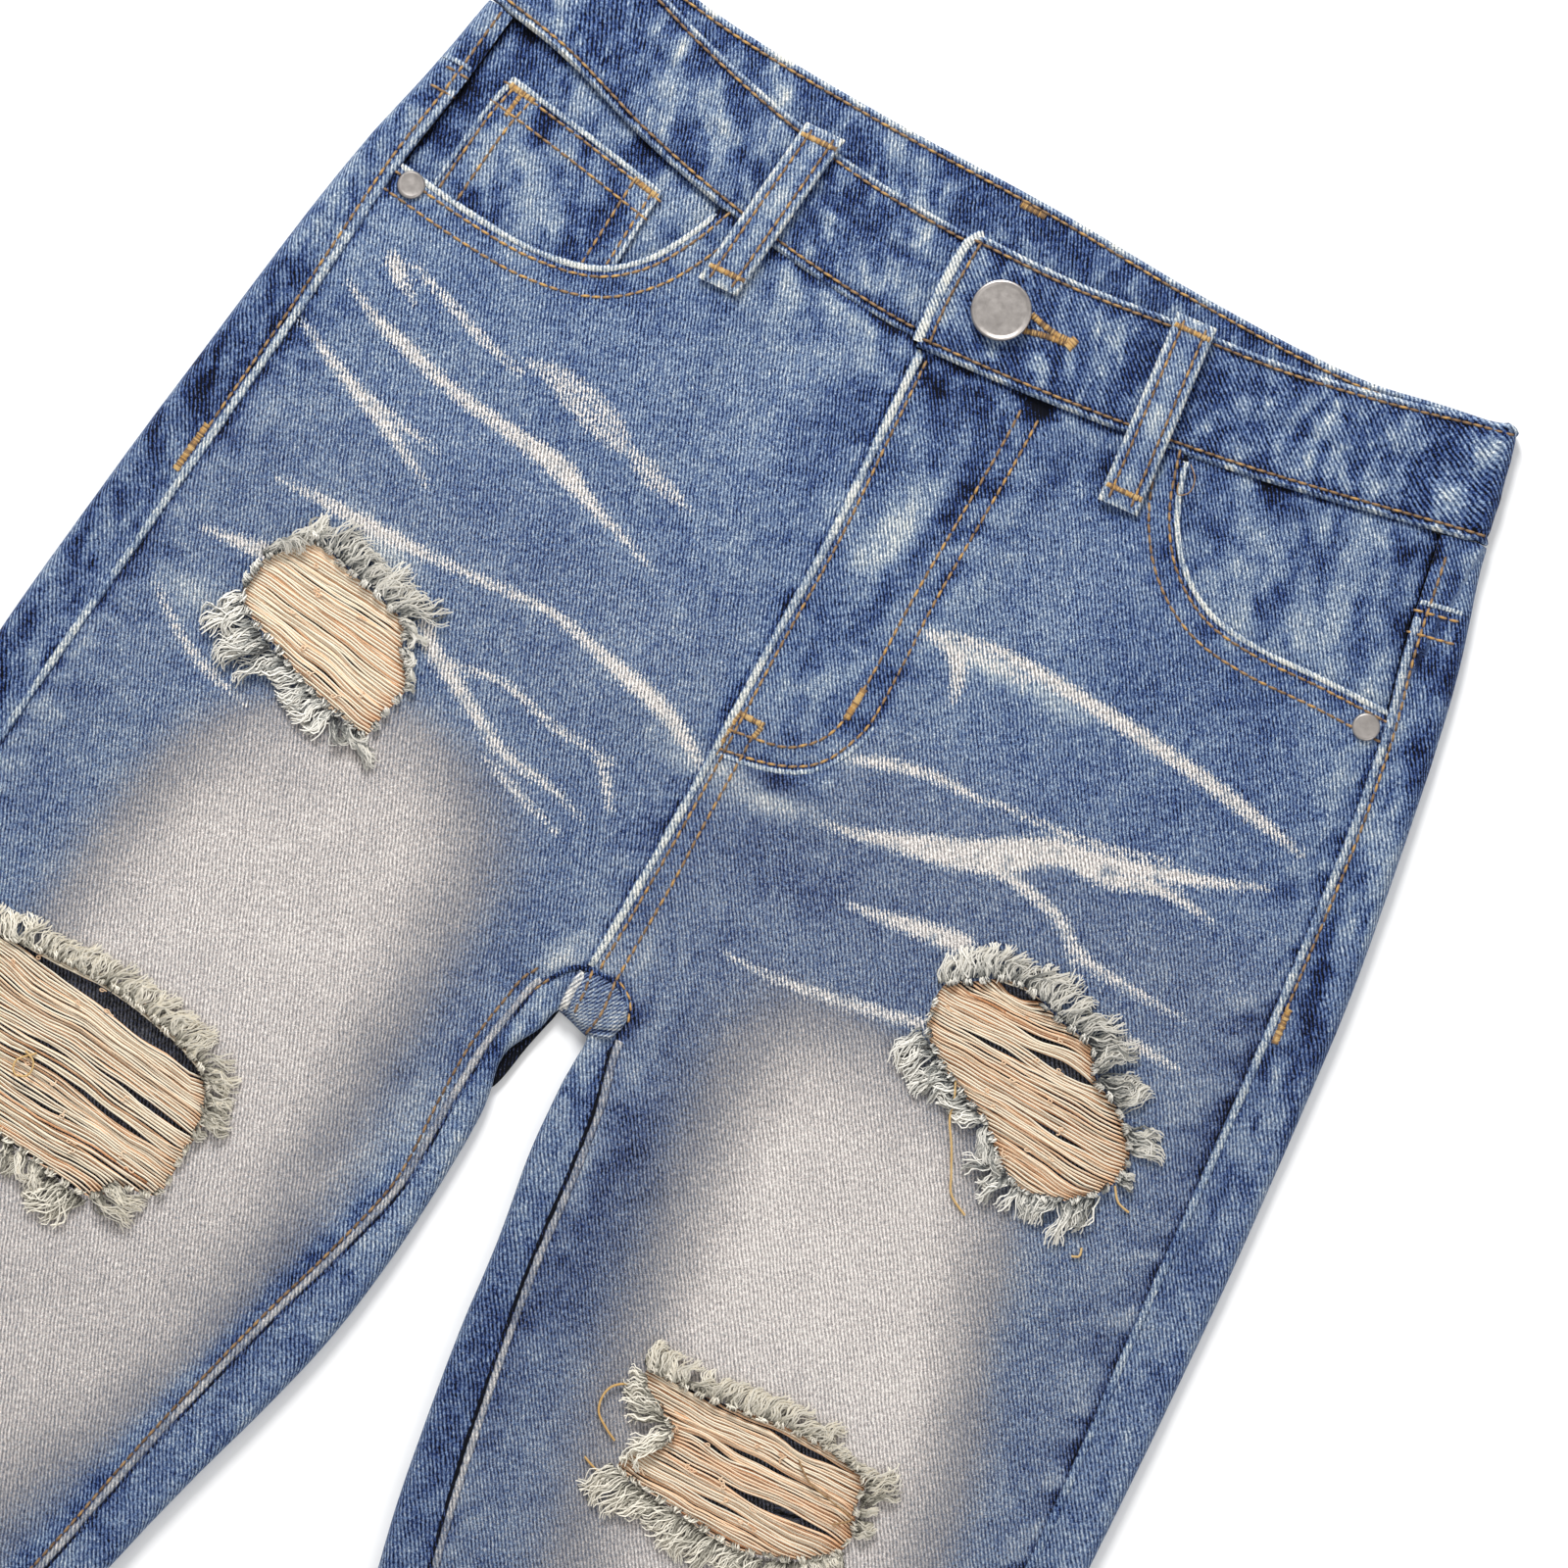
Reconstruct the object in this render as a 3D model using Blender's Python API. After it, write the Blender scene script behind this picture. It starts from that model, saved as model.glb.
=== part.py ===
"""Ripped straight-leg jeans in a child's size, laid flat on their back.

Sizes are in millimetres in the drafting frame: X across (the wearer's left is +X), Y up to the
waist, Z up from the surface they lie on. The drafting origin is just below the crotch.
At the end everything hangs on one empty that puts the part's origin at the bottom centre.
"""

import math
from collections import namedtuple

import bmesh
import bpy
from mathutils import Vector
from mathutils.geometry import delaunay_2d_cdt

MM = 0.001

# ---------------------------------------------------------------- driving sizes

DENIM = 1.1          # wall of one layer of cloth
HEM = 2.0            # wall of the turned-up hem
BAND = 2.2           # wall of the waistband, two layers
SEAM_GAP = 0.3       # between pieces that meet at a seam
CENTRE = -1.0        # x of the centre-back seam
HEM_Y = -630.0       # bottom of the legs
HEM_DEPTH = 14.0
CROTCH_Y = 11.0      # top of the cross seam between the legs
UNDER_RISE = 1.3     # how far the seat lifts over the back pockets and back belt loops
LEG_SPACING = 1.9    # between the middle surfaces of the front and back layers, in the legs
HIP_SPACING = 3.0    # the same at the hips
POCKET_EXTRA = 1.1   # more room where pocket facings lie between
FLY_EXTRA = 1.0      # more room over the fly shield and the zip
FOLD_LIFT = 3.2      # how much the front layer rises beside a side fold of a leg
WAIST_LIFT = 1.6     # the same at the waist
FOLD_REACH = 18.0    # how fast that rise dies away
LATTICE_X = 24.0     # spacing of the points inside a flat panel

Side = namedtuple("Side", "y fold seam")
Inner = namedtuple("Inner", "y seam fold")
Band = namedtuple("Band", "low_x low_y high_x high_y")
Crease = namedtuple("Crease", "x0 y0 x1 y1 width height")
Rip = namedtuple("Rip", "side outline reach_right reach_up reach_left reach_down")

# outer edge of each leg: distance of the side fold and of the outseam from x = 0
RIGHT_SIDE = [Side(*row) for row in (
    (240, 163.7, 155.6), (232, 165.5, 157.0), (205, 170.5, 160.0), (180, 176.0, 163.5), (150, 180.5, 165.5),
    (110, 185.5, 168.5), (60, 191.3, 173.0), (10, 196.0, 177.5), (-60, 200.0, 183.0),
    (-130, 204.0, 187.5), (-200, 207.5, 191.0), (-330, 213.0, 198.0), (-480, 219.0, 205.5),
    (-630, 225.0, 213.0),
)]
LEFT_SIDE = [Side(*row) for row in (
    (240, 150.6, 136.4), (232, 152.7, 138.5), (205, 161.3, 144.2), (180, 167.5, 151.0), (150, 173.5, 156.7),
    (110, 180.8, 162.0), (60, 187.0, 168.0), (10, 192.0, 173.0), (-60, 197.0, 180.5),
    (-130, 201.5, 185.0), (-200, 205.5, 189.0), (-330, 212.0, 197.0), (-480, 218.5, 205.0),
    (-630, 225.0, 213.0),
)]
# inner edge of each leg, from the crotch down: distance of the inseam and of the inner fold
RIGHT_INNER = [Inner(*row) for row in (
    (11, 8.0, 1.15), (8, 11.5, 1.15), (3, 15.5, 1.3), (-3, 17.0, 4.5), (-6, 17.6, 8.5),
    (-12, 18.3, 12.0), (-20, 18.9, 13.0), (-40, 19.8, 12.5), (-66, 20.8, 12.8), (-90, 26.2, 14.5),
    (-115, 33.4, 18.0), (-140, 39.8, 24.0), (-165, 45.6, 31.0), (-200, 52.5, 39.5),
    (-260, 66.0, 53.0), (-330, 80.0, 66.0), (-450, 95.0, 82.0), (-630, 108.0, 95.0),
)]
LEFT_INNER = [Inner(*row) for row in (
    (11, 3.0, -0.85), (8, 7.8, -0.85), (3, 8.9, -0.6), (-3, 9.5, 1.5), (-6, 10.0, 2.6),
    (-12, 11.8, 2.6), (-20, 14.0, 2.7), (-40, 17.0, 4.5), (-66, 20.0, 9.0), (-90, 24.0, 12.0),
    (-115, 28.9, 16.0), (-140, 34.4, 20.6), (-165, 41.0, 26.5), (-200, 50.0, 35.5),
    (-260, 63.0, 49.0), (-330, 76.5, 62.0), (-450, 93.0, 79.0), (-630, 108.0, 95.0),
)]
SIDES = {-1: (RIGHT_SIDE, RIGHT_INNER), 1: (LEFT_SIDE, LEFT_INNER)}

# waistband: its lower and upper edge at stations along each stretch
BAND_RIGHT = [Band(*row) for row in (
    (-165.5, 232, -157.5, 266), (-140, 228, -134, 260), (-110, 219.5, -107, 252),
    (-80, 213.5, -79, 246), (-50, 210, -50, 242.3), (-17, 209, -17, 241.8), (14, 212.5, 14, 243.3),
)]
BAND_LEFT = [Band(*row) for row in (
    (-15.2, 207.2, -17, 243), (15, 210.5, 15, 245.2), (45, 215, 44, 249.7), (80, 221.5, 77, 254.5),
    (110, 228.5, 105, 261), (140, 236, 133, 269), (151, 238.5, 142.3, 271.3),
)]
BAND_BACK = [Band(*row) for row in (
    (-165.5, 232, -157.5, 266), (-135, 229.5, -130, 262.5), (-100, 226.5, -98, 259.3),
    (-50, 225, -50, 258.8), (0, 225, 0, 260), (50, 225.5, 50, 259.5), (100, 229, 96, 261.5),
    (130, 234, 122, 267), (151, 238.5, 142.3, 271.3),
)]
TAB_END = -17.0      # the tab of the waistband ends here, over the other end
BAND_FOLD = {-1: 165.5, 1: 151.0}    # how far each side fold of the band lies from x = 0

# the fly: folded edge of the wearer's left front, from waist to crotch
FLY_EDGE = ((-13.5, 207), (-11.5, 180), (-9.4, 150), (-8.8, 115), (-7.4, 70), (-7.2, 30), (-7.6, 11))

# front pocket openings, from the waistband seam to the outseam
RIGHT_OPENING = ((-81, 213.5), (-85, 203), (-92, 191), (-103, 182), (-120, 178), (-140, 178), (-163.5, 180))
LEFT_OPENING = ((66.5, 219), (72, 204), (81, 192), (94, 184.4), (110, 182.8), (130, 184.3), (151, 185.2))

CREASES = [Crease(*row) for row in (
    (-16, -2, -62, -30, 15, 1.2), (12, -8, 48, -36, 15, 1.0), (-150, 120, -60, 96, 18, 0.8),
    (50, 120, 150, 104, 18, 0.8), (-190, -300, -90, -280, 22, 1.4), (90, -310, 190, -285, 22, 1.3),
)]

RIPS = [Rip(*row) for row in (
    (-1, ((-134, 78), (-112, 73), (-98, 69), (-89, 55), (-93, 36), (-115, 41), (-139, 50), (-144, 61)),
     5, 9, 7, 13),
    (-1, ((-158, -66), (-132, -64), (-98, -69), (-79, -76), (-79, -104), (-96, -112), (-128, -110),
          (-152, -104), (-162, -86)), 7, 12, 8, 14),
    (1, ((81, 60), (105, 67), (128, 60), (150, 44), (146, 28), (128, 18), (110, 30), (84, 42)),
     8, 14, 7, 10),
    (1, ((64, -76), (100, -73), (131, -72), (136, -92), (120, -104), (92, -107), (68, -105), (67, -90)),
     4, 9, 8, 10),
)]

# ---------------------------------------------------------------- curves and heights


def smooth(t):
    """0 to 1 with soft ends."""
    t = min(max(t, 0.0), 1.0)
    return t * t * (3 - 2 * t)


def through(xs, ys, x):
    """A smooth curve through stations, whose slopes come from the neighbours."""
    if xs[0] > xs[-1]:
        xs, ys = xs[::-1], ys[::-1]
    last = len(xs) - 1
    if x <= xs[0] or x >= xs[-1]:
        return ys[0] if x <= xs[0] else ys[-1]
    i = max(k for k in range(last) if xs[k] <= x)

    def slope(k):
        a, b = max(k - 1, 0), min(k + 1, last)
        return (ys[b] - ys[a]) / (xs[b] - xs[a])

    span = xs[i + 1] - xs[i]
    t = (x - xs[i]) / span
    blend = ys[i] * (1 + 2 * t) * (1 - t) ** 2 + ys[i + 1] * t * t * (3 - 2 * t)
    return blend + span * (slope(i) * t * (1 - t) ** 2 - slope(i + 1) * t * t * (1 - t))


def read(table, y, column, key="y"):
    """One column of a table at a station."""
    return through([getattr(r, key) for r in table], [getattr(r, column) for r in table], y)


def side_fold(side, y):
    return read(SIDES[side][0], y, "fold")


def outseam(side, y):
    return read(SIDES[side][0], y, "seam")


def inseam(side, y):
    return read(SIDES[side][1], y, "seam")


def inner_fold(side, y):
    return read(SIDES[side][1], y, "fold")


def wall(y):
    """Thickness of a leg panel: denim, and the turned-up hem at the bottom."""
    return DENIM + (HEM - DENIM) * min(max((HEM_Y + HEM_DEPTH + 3 - y) / 3, 0), 1)


def rise(x, y):
    """How far the back layer is off the surface, over the back pockets and back loops."""
    side = -1 if x < CENTRE else 1
    near_fold = smooth((side_fold(side, y) - abs(x) - 8) / 20)
    return UNDER_RISE * near_fold * smooth((y + 20) / 38)


def back_mid(x, y):
    return rise(x, y) + wall(y) / 2


def crease_height(x, y):
    total = 0.0
    for c in CREASES:
        along = Vector((c.x1 - c.x0, c.y1 - c.y0))
        away = Vector((x - c.x0, y - c.y0))
        t = min(max(away.dot(along) / along.length_squared, 0), 1)
        gap = (away - along * t).length
        total += c.height * math.sin(math.pi * min(max(t, 0.08), 0.92)) * math.exp(-(gap / c.width) ** 2)
    return total


def spacing(x, y):
    """Between the middle surfaces of the two layers, away from the side folds."""
    gap = LEG_SPACING + (HIP_SPACING - LEG_SPACING) * smooth((y - 50) / 45)
    gap += POCKET_EXTRA * smooth((y - 125) / 25) * smooth((abs(x) - 55) / 12)
    gap += FLY_EXTRA * smooth((y - 70) / 18) * smooth((44 - abs(x + 1)) / 12)
    return gap + 0.8 * smooth((HEM_Y + 45 - y) / 25)


def front_mid(x, y):
    """Middle surface of the front layer."""
    side = -1 if x < CENTRE else 1
    out_gap = max(side_fold(side, y) - abs(x), 0)
    lift = WAIST_LIFT + (FOLD_LIFT - WAIST_LIFT) * smooth((200 - y) / 80)
    height = back_mid(x, y) + spacing(x, y) + lift * math.exp(-out_gap / FOLD_REACH)
    if y < CROTCH_Y:
        in_gap = max(x * side - inner_fold(side, y), 0)
        height += FOLD_LIFT * smooth((5 - y) / 40) * math.exp(-in_gap / FOLD_REACH)
    return height + crease_height(x, y)


# ---------------------------------------------------------------- meshes


def closed_object(name, outer, inner, faces, material):
    """One solid from two matching surfaces, closed along every free edge."""
    mesh = bpy.data.meshes.new(name)
    bm = bmesh.new()
    used = sorted({i for face in faces for i in face})
    top = {i: bm.verts.new(Vector(outer[i]) * MM) for i in used}
    bottom = {i: bm.verts.new(Vector(inner[i]) * MM) for i in used}
    edges = {}
    for face in faces:
        bm.faces.new([top[i] for i in face])
        bm.faces.new([bottom[i] for i in reversed(face)])
        for a, b in zip(face, face[1:] + face[:1]):
            key = (min(a, b), max(a, b))
            edges[key] = None if key in edges else (a, b)
    for edge in filter(None, edges.values()):
        a, b = edge
        bm.faces.new([top[b], top[a], bottom[a], bottom[b]])
    bmesh.ops.triangulate(bm, faces=bm.faces[:])
    bmesh.ops.recalc_face_normals(bm, faces=bm.faces[:])
    bm.to_mesh(mesh)
    bm.free()
    return finished(name, mesh, material)


def finished(name, mesh, material):
    mesh.shade_smooth()
    mesh.set_sharp_from_angle(angle=math.radians(40))
    mesh.materials.append(material)
    piece = bpy.data.objects.new(name, mesh)
    bpy.context.scene.collection.objects.link(piece)
    return piece


def inside(outline, x, y):
    """Even-odd test of a point against a closed outline."""
    odd = False
    for (x0, y0), (x1, y1) in zip(outline, outline[1:] + outline[:1]):
        if (y0 > y) != (y1 > y) and x < (x1 - x0) * (y - y0) / (y1 - y0) + x0:
            odd = not odd
    return odd


def clearance(outline, x, y):
    nearest = 1e9
    for (x0, y0), (x1, y1) in zip(outline, outline[1:] + outline[:1]):
        edge = Vector((x1 - x0, y1 - y0))
        away = Vector((x - x0, y - y0))
        t = min(max(away.dot(edge) / max(edge.length_squared, 1e-9), 0), 1)
        nearest = min(nearest, (away - edge * t).length)
    return nearest


def flat_piece(name, outline, height, thickness, material, holes=(), lattice=LATTICE_X):
    """A wall over an outline, with holes; height and thickness are functions of x and y."""
    loops = [list(outline)] + [list(hole) for hole in holes]
    points = []
    edges = []
    for loop in loops:
        first = len(points)
        points += loop
        edges += [(first + i, first + (i + 1) % len(loop)) for i in range(len(loop))]
    xs = [p[0] for p in loops[0]]
    rows = [y for y in ROWS + list(range(30, 260, 16)) if min(p[1] for p in loops[0]) < y]
    for y in rows:
        for k in range(math.ceil(min(xs) / lattice), math.floor(max(xs) / lattice) + 1):
            x = k * lattice
            if not inside(loops[0], x, y) or any(inside(hole, x, y) for hole in loops[1:]):
                continue
            if min(clearance(loop, x, y) for loop in loops) > 0.3 * lattice:
                points.append((x, y))
    flat, _, triangles = delaunay_2d_cdt([Vector(p) for p in points], edges, [], 1, 1e-4)[:3]
    faces = []
    for triangle in triangles:
        middle = sum((flat[i] for i in triangle), Vector((0, 0))) / 3
        if inside(loops[0], *middle) and not any(inside(hole, *middle) for hole in loops[1:]):
            faces.append(list(triangle))
    outer = [(p.x, p.y, height(p.x, p.y) + thickness(p.x, p.y) / 2) for p in flat]
    inner = [(p.x, p.y, height(p.x, p.y) - thickness(p.x, p.y) / 2) for p in flat]
    return closed_object(name, outer, inner, faces, material)


def grid_piece(name, rows, thickness, material, kept=None):
    """A wall through rows of (x, y, z, out_x, out_z); kept says how many columns a row has."""
    count = len(rows[0])
    outer = []
    inner = []
    for row in rows:
        for x, y, z, out_x, out_z in row:
            half = thickness(x, y) / 2
            outer.append((x + out_x * half, y, z + out_z * half))
            inner.append((x - out_x * half, y, z - out_z * half))
    faces = []
    for r in range(len(rows) - 1):
        for c in range(min(kept[r + 1], count) - 1 if kept else count - 1):
            a = r * count + c
            faces.append([a, a + 1, a + 1 + count, a + count])
    return closed_object(name, outer, inner, faces, material)


def spun(name, profile, place, tilt, material, sides=24):
    """A turned piece from a closed-off profile of (radius, height), placed and tilted."""
    bm = bmesh.new()
    rings = []
    for radius, height in profile:
        if radius == 0:
            rings.append([bm.verts.new((0, 0, height * MM))])
            continue
        turn = [2 * math.pi * k / sides for k in range(sides)]
        rings.append([bm.verts.new((radius * math.cos(a) * MM, radius * math.sin(a) * MM, height * MM))
                      for a in turn])
    for low, high in zip(rings, rings[1:]):
        for k in range(sides):
            corners = [low[k % len(low)], low[(k + 1) % len(low)], high[(k + 1) % len(high)], high[k % len(high)]]
            bm.faces.new(list(dict.fromkeys(corners)))
    bmesh.ops.recalc_face_normals(bm, faces=bm.faces[:])
    mesh = bpy.data.meshes.new(name)
    bm.to_mesh(mesh)
    bm.free()
    piece = finished(name, mesh, material)
    piece.location = Vector(place) * MM
    piece.rotation_euler = tilt
    return piece


def material(name, colour, roughness, metallic=0.0):
    made = bpy.data.materials.new(name)
    made.use_nodes = True
    shader = made.node_tree.nodes["Principled BSDF"]
    shader.inputs["Base Color"].default_value = (*colour, 1)
    shader.inputs["Roughness"].default_value = roughness
    shader.inputs["Metallic"].default_value = metallic
    made.diffuse_color = (*colour, 1)
    return made


# ---------------------------------------------------------------- legs

ROWS = [-630, -616, -613, -580, -535, -490, -445, -400, -360, -320, -285, -255, -225, -200, -175,
        -150, -130, -113, -97, -80, -66, -52, -38, -26, -16, -8, -3, 3, 8, 11]
UPPER_SHARES = [0.07, 0.16, 0.28, 0.42, 0.58, 0.72, 0.85, 1.0]   # rows from crotch to yoke; the openings end on the last but one
UNDER_COLUMNS = 5
YOKE_DROP = 33.0
YOKE_TILT = {-1: 0.0, 1: 0.25}     # slope of the yoke seam where it shows on top
FOLD_STEPS = 4


def fold_arc(side, edge_x, y, outward, thickness, from_top):
    """Points round one fold, between the bottom layer and the front layer."""
    x_sign = side * outward
    inset = 3.0
    for _ in range(3):
        tangent = (edge_x - outward * inset) * side
        low = back_mid(tangent, y)
        high = front_mid(tangent, y)
        radius = (high - low) / 2
        inset = radius + thickness / 2
    points = []
    for k in range(FOLD_STEPS + 1):
        angle = math.pi * (0.5 - k / FOLD_STEPS)
        out_x, out_z = math.cos(angle) * x_sign, math.sin(angle)
        points.append((tangent + radius * out_x, y, (low + high) / 2 + radius * out_z, out_x, out_z))
    return points if from_top else points[::-1]


def back_row(side, y, wraps_inside, edge=None):
    """A section of the back layer, from the outseam on top, round the fold, to its inner end.

    Its y is one height for a whole leg section, or edge(x, on_top) where a seam slants.
    """
    if edge is None:
        def edge(x, on_top):
            return y

    fold_y = y
    for _ in range(3):
        fold_y = edge(side * side_fold(side, fold_y), True)
    seam_y = fold_y
    for _ in range(3):
        seam_y = edge(outseam(side, seam_y) * side, True)
    seam_x = (outseam(side, seam_y) + SEAM_GAP / 2) * side
    row = [(seam_x, seam_y, front_mid(seam_x, seam_y), 0, 1)]
    row += fold_arc(side, side_fold(side, fold_y), fold_y, 1, wall(fold_y), True)
    start = row[-1][0]
    inner_arc = []
    if wraps_inside:
        inner_arc = fold_arc(side, inner_fold(side, y), y, -1, wall(y), False)
        end = inner_arc[0][0]
    else:
        end = CENTRE + side * SEAM_GAP / 2
    for k in range(1, UNDER_COLUMNS + (0 if wraps_inside else 1)):
        x = start + (end - start) * k / UNDER_COLUMNS
        row.append((x, edge(x, False), back_mid(x, edge(x, False)), 0, -1))
    if wraps_inside:
        front_edge = (inseam(side, y) - SEAM_GAP / 2) * side
        row += inner_arc + [(front_edge, y, front_mid(front_edge, y), 0, 1)]
    return row


def yoke_seam(side, x, on_top):
    """y of the seam under the yoke: nearly level at the side, dropping to the centre back."""
    at_fold = 211.3 if side < 0 else 218.8
    fold = side_fold(side, at_fold)
    if on_top:
        return at_fold - YOKE_TILT[side] * (fold - abs(x))
    return at_fold - YOKE_DROP * (1 - abs(x) / fold)


def waist_seam(side, x, on_top):
    """y of the waistband's lower edge above the back layer."""
    table = (BAND_RIGHT if side < 0 else BAND_LEFT) if on_top else BAND_BACK
    return read(table, x, "low_y", "low_x")


def upper_edge(side, share):
    """A row of the back panel above the crotch, as a share of the way up to the yoke."""
    return lambda x, on_top: CROTCH_Y + (yoke_seam(side, x, on_top) - SEAM_GAP / 2 - CROTCH_Y) * share


def build_back(side, name, denim):
    rows = [back_row(side, y, True) for y in ROWS]
    wide = len(rows[0])
    narrow = 1 + FOLD_STEPS + 1 + UNDER_COLUMNS
    kept = [wide] * len(rows)
    for share in UPPER_SHARES:
        row = back_row(side, CROTCH_Y + 200 * share, False, upper_edge(side, share))
        rows.append(row + [row[-1]] * (wide - narrow))
        kept.append(narrow)
    return grid_piece(name, rows, lambda x, y: wall(y), denim, kept)


def build_yoke(side, name, denim):
    rows = []
    for share in (0.0, 0.5, 1.0):
        def edge(x, on_top, share=share):
            low = yoke_seam(side, x, on_top) + SEAM_GAP / 2
            return low + (waist_seam(side, x, on_top) - 2.5 * SEAM_GAP - low) * share
        rows.append(back_row(side, 215, False, edge))
    return grid_piece(name, rows, lambda x, y: DENIM, denim)


# ---------------------------------------------------------------- front panels


def push(points, distance):
    """A closed outline moved out by a distance, or by a function of its outward direction."""
    turning = sum(x0 * y1 - x1 * y0 for (x0, y0), (x1, y1) in zip(points, points[1:] + points[:1]))
    sign = 1 if turning > 0 else -1
    moved = []
    for i, (x, y) in enumerate(points):
        before, after = points[i - 1], points[(i + 1) % len(points)]
        out = Vector((after[1] - before[1], before[0] - after[0])).normalized() * sign
        far = distance(out) if callable(distance) else distance
        moved.append((x + out.x * far, y + out.y * far))
    return moved


def rounded(points, steps=3):
    """A closed outline with curved stretches between its points."""
    made = []
    count = len(points)
    for i in range(count):
        p0, p1, p2, p3 = (points[(i + k) % count] for k in (-1, 0, 1, 2))
        for s in range(steps):
            t = s / steps
            made.append(tuple(
                0.5 * (2 * b + (c - a) * t + (2 * a - 5 * b + 4 * c - d) * t * t
                       + (3 * b - a - 3 * c + d) * t ** 3)
                for a, b, c, d in zip(p0, p1, p2, p3)))
    return made


def fly_x(y):
    return through([p[1] for p in FLY_EDGE], [p[0] for p in FLY_EDGE], y)


def opened(points, steps=2):
    """An open curve through points, with curved stretches between them."""
    made = []
    for i in range(len(points) - 1):
        p0, p1, p2, p3 = (points[min(max(i + k, 0), len(points) - 1)] for k in (-1, 0, 1, 2))
        for s in range(steps):
            t = s / steps
            made.append(tuple(
                0.5 * (2 * b + (c - a) * t + (2 * a - 5 * b + 4 * c - d) * t * t
                       + (3 * b - a - 3 * c + d) * t ** 3)
                for a, b, c, d in zip(p0, p1, p2, p3)))
    return made + [points[-1]]


def front_outline(side):
    """From the fly along the waist, down the pocket opening and outseam, and up the inseam."""
    opening = RIGHT_OPENING if side < 0 else LEFT_OPENING
    band = BAND_RIGHT if side < 0 else BAND_LEFT
    half = SEAM_GAP / 2
    fly_gap = -half if side < 0 else half
    start = opening[0][0]
    waist_x = [-17.6, -35, -55, start] if side < 0 else [-11, 10, 30, 48, start]
    waist = [(x, read(band, x, "low_y", "low_x") - SEAM_GAP) for x in waist_x[:-1]]
    corner = (start, read(band, start, "low_y", "low_x") - SEAM_GAP)
    scoop = opened(opening)[1:]
    above = []
    for share in UPPER_SHARES[::-1]:
        y = CROTCH_Y
        for _ in range(3):
            y = upper_edge(side, share)(outseam(side, y) * side, True)
        above.append(y)
    lowest = above[1]
    scoop[-1] = ((outseam(side, lowest) - half) * side, lowest)
    outer = above[2:] + ROWS[::-1]
    down = [((outseam(side, y) - half) * side, y) for y in outer]
    up = [((inseam(side, y) + half) * side, y) for y in ROWS[:-1]]
    up.append(((inseam(side, CROTCH_Y) + half) * side, CROTCH_Y + SEAM_GAP))
    crotch = (fly_x(CROTCH_Y) + fly_gap, CROTCH_Y + 2 * SEAM_GAP)
    fly = [(fly_x(y) + fly_gap, y) for y in (30, 60, 90, 115, 140, 165, 190, 206.5)]
    return waist + [corner] + scoop + down + up + [crotch] + fly


def build_front(side, name, denim):
    holes = [rounded(list(rip.outline), 2) for rip in RIPS if rip.side == side]
    return flat_piece(name, front_outline(side), front_mid, lambda x, y: wall(y), denim, holes)


def build_rip(number, rip, thread, fray):
    hole = rounded(list(rip.outline), 2)

    def reach(out):
        across = rip.reach_right if out.x > 0 else rip.reach_left
        up = rip.reach_up if out.y > 0 else rip.reach_down
        return math.hypot(out.x * across, out.y * up)

    flat_piece(f"rip_threads_{number}", push(hole, -0.5), lambda x, y: front_mid(x, y) - 0.1,
               lambda x, y: 0.7, thread)
    flat_piece(f"rip_fringe_{number}", push(hole, reach), lambda x, y: front_mid(x, y) + DENIM / 2 + 1.1,
               lambda x, y: 1.4, fray, [push(hole, -1.2)])


# ---------------------------------------------------------------- pockets and fly

FACING_WALL = 1.0
COIN_WALL = 0.9
RIGHT_FACING_DROP = 2.7      # middle of the facing under the middle of the front layer
LEFT_FACING_DROP = 1.5


def build_facings(denim):
    right = [(x, read(BAND_RIGHT, x, "low_y", "low_x") - SEAM_GAP) for x in (-74, -95, -115, -135, -156.5)]
    right += [(-(outseam(-1, y) - SEAM_GAP), y) for y in (218, 205, 192, 180, 168)]
    right += opened([(-160, 163), (-130, 157.5), (-104, 161), (-84, 175), (-75, 196)])
    left = [(x, read(BAND_LEFT, x, "low_y", "low_x") - SEAM_GAP) for x in (60, 80, 100, 120, 137.8)]
    left += [(outseam(1, y) - SEAM_GAP, y) for y in (222, 210, 197, 185, 172)]
    left += opened([(147, 167), (118, 162), (92, 165), (72, 178), (61, 200)])
    for name, outline, drop in (
        ("pocket_facing_right", right, RIGHT_FACING_DROP), ("pocket_facing_left", left, LEFT_FACING_DROP),
    ):
        flat_piece(name, outline, lambda x, y, drop=drop: front_mid(x, y) - drop,
                   lambda x, y: FACING_WALL, denim, lattice=LATTICE_X)


def build_coin_pocket(denim):
    outline = [(-149, 216.5), (-123, 213.3), (-97, 209.5), (-97.8, 190), (-98.5, 172), (-127, 168),
               (-154.2, 172), (-153, 190), (-151.5, 205)]
    above = RIGHT_FACING_DROP - FACING_WALL / 2 - 0.4 - COIN_WALL / 2
    flat_piece("coin_pocket", outline, lambda x, y: front_mid(x, y) - above, lambda x, y: COIN_WALL, denim)


def build_fly(denim, tape):
    """The shield and the zip between the two layers, behind the overlapping front."""
    shield_up = DENIM / 2 + 0.35 + 0.45
    zip_up = shield_up + 0.45 + 0.3 + 0.35
    shield = [(-27, 206), (-27, 110), (-20, 96), (-4, 92), (16, 97), (21, 110), (21, 206)]
    zipped = [(-11, 205), (-11, 102), (13, 102), (13, 205)]
    flat_piece("fly_shield", shield, lambda x, y: back_mid(x, y) + shield_up, lambda x, y: 0.9, denim)
    flat_piece("zip", zipped, lambda x, y: back_mid(x, y) + zip_up, lambda x, y: 0.7, tape)


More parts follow.
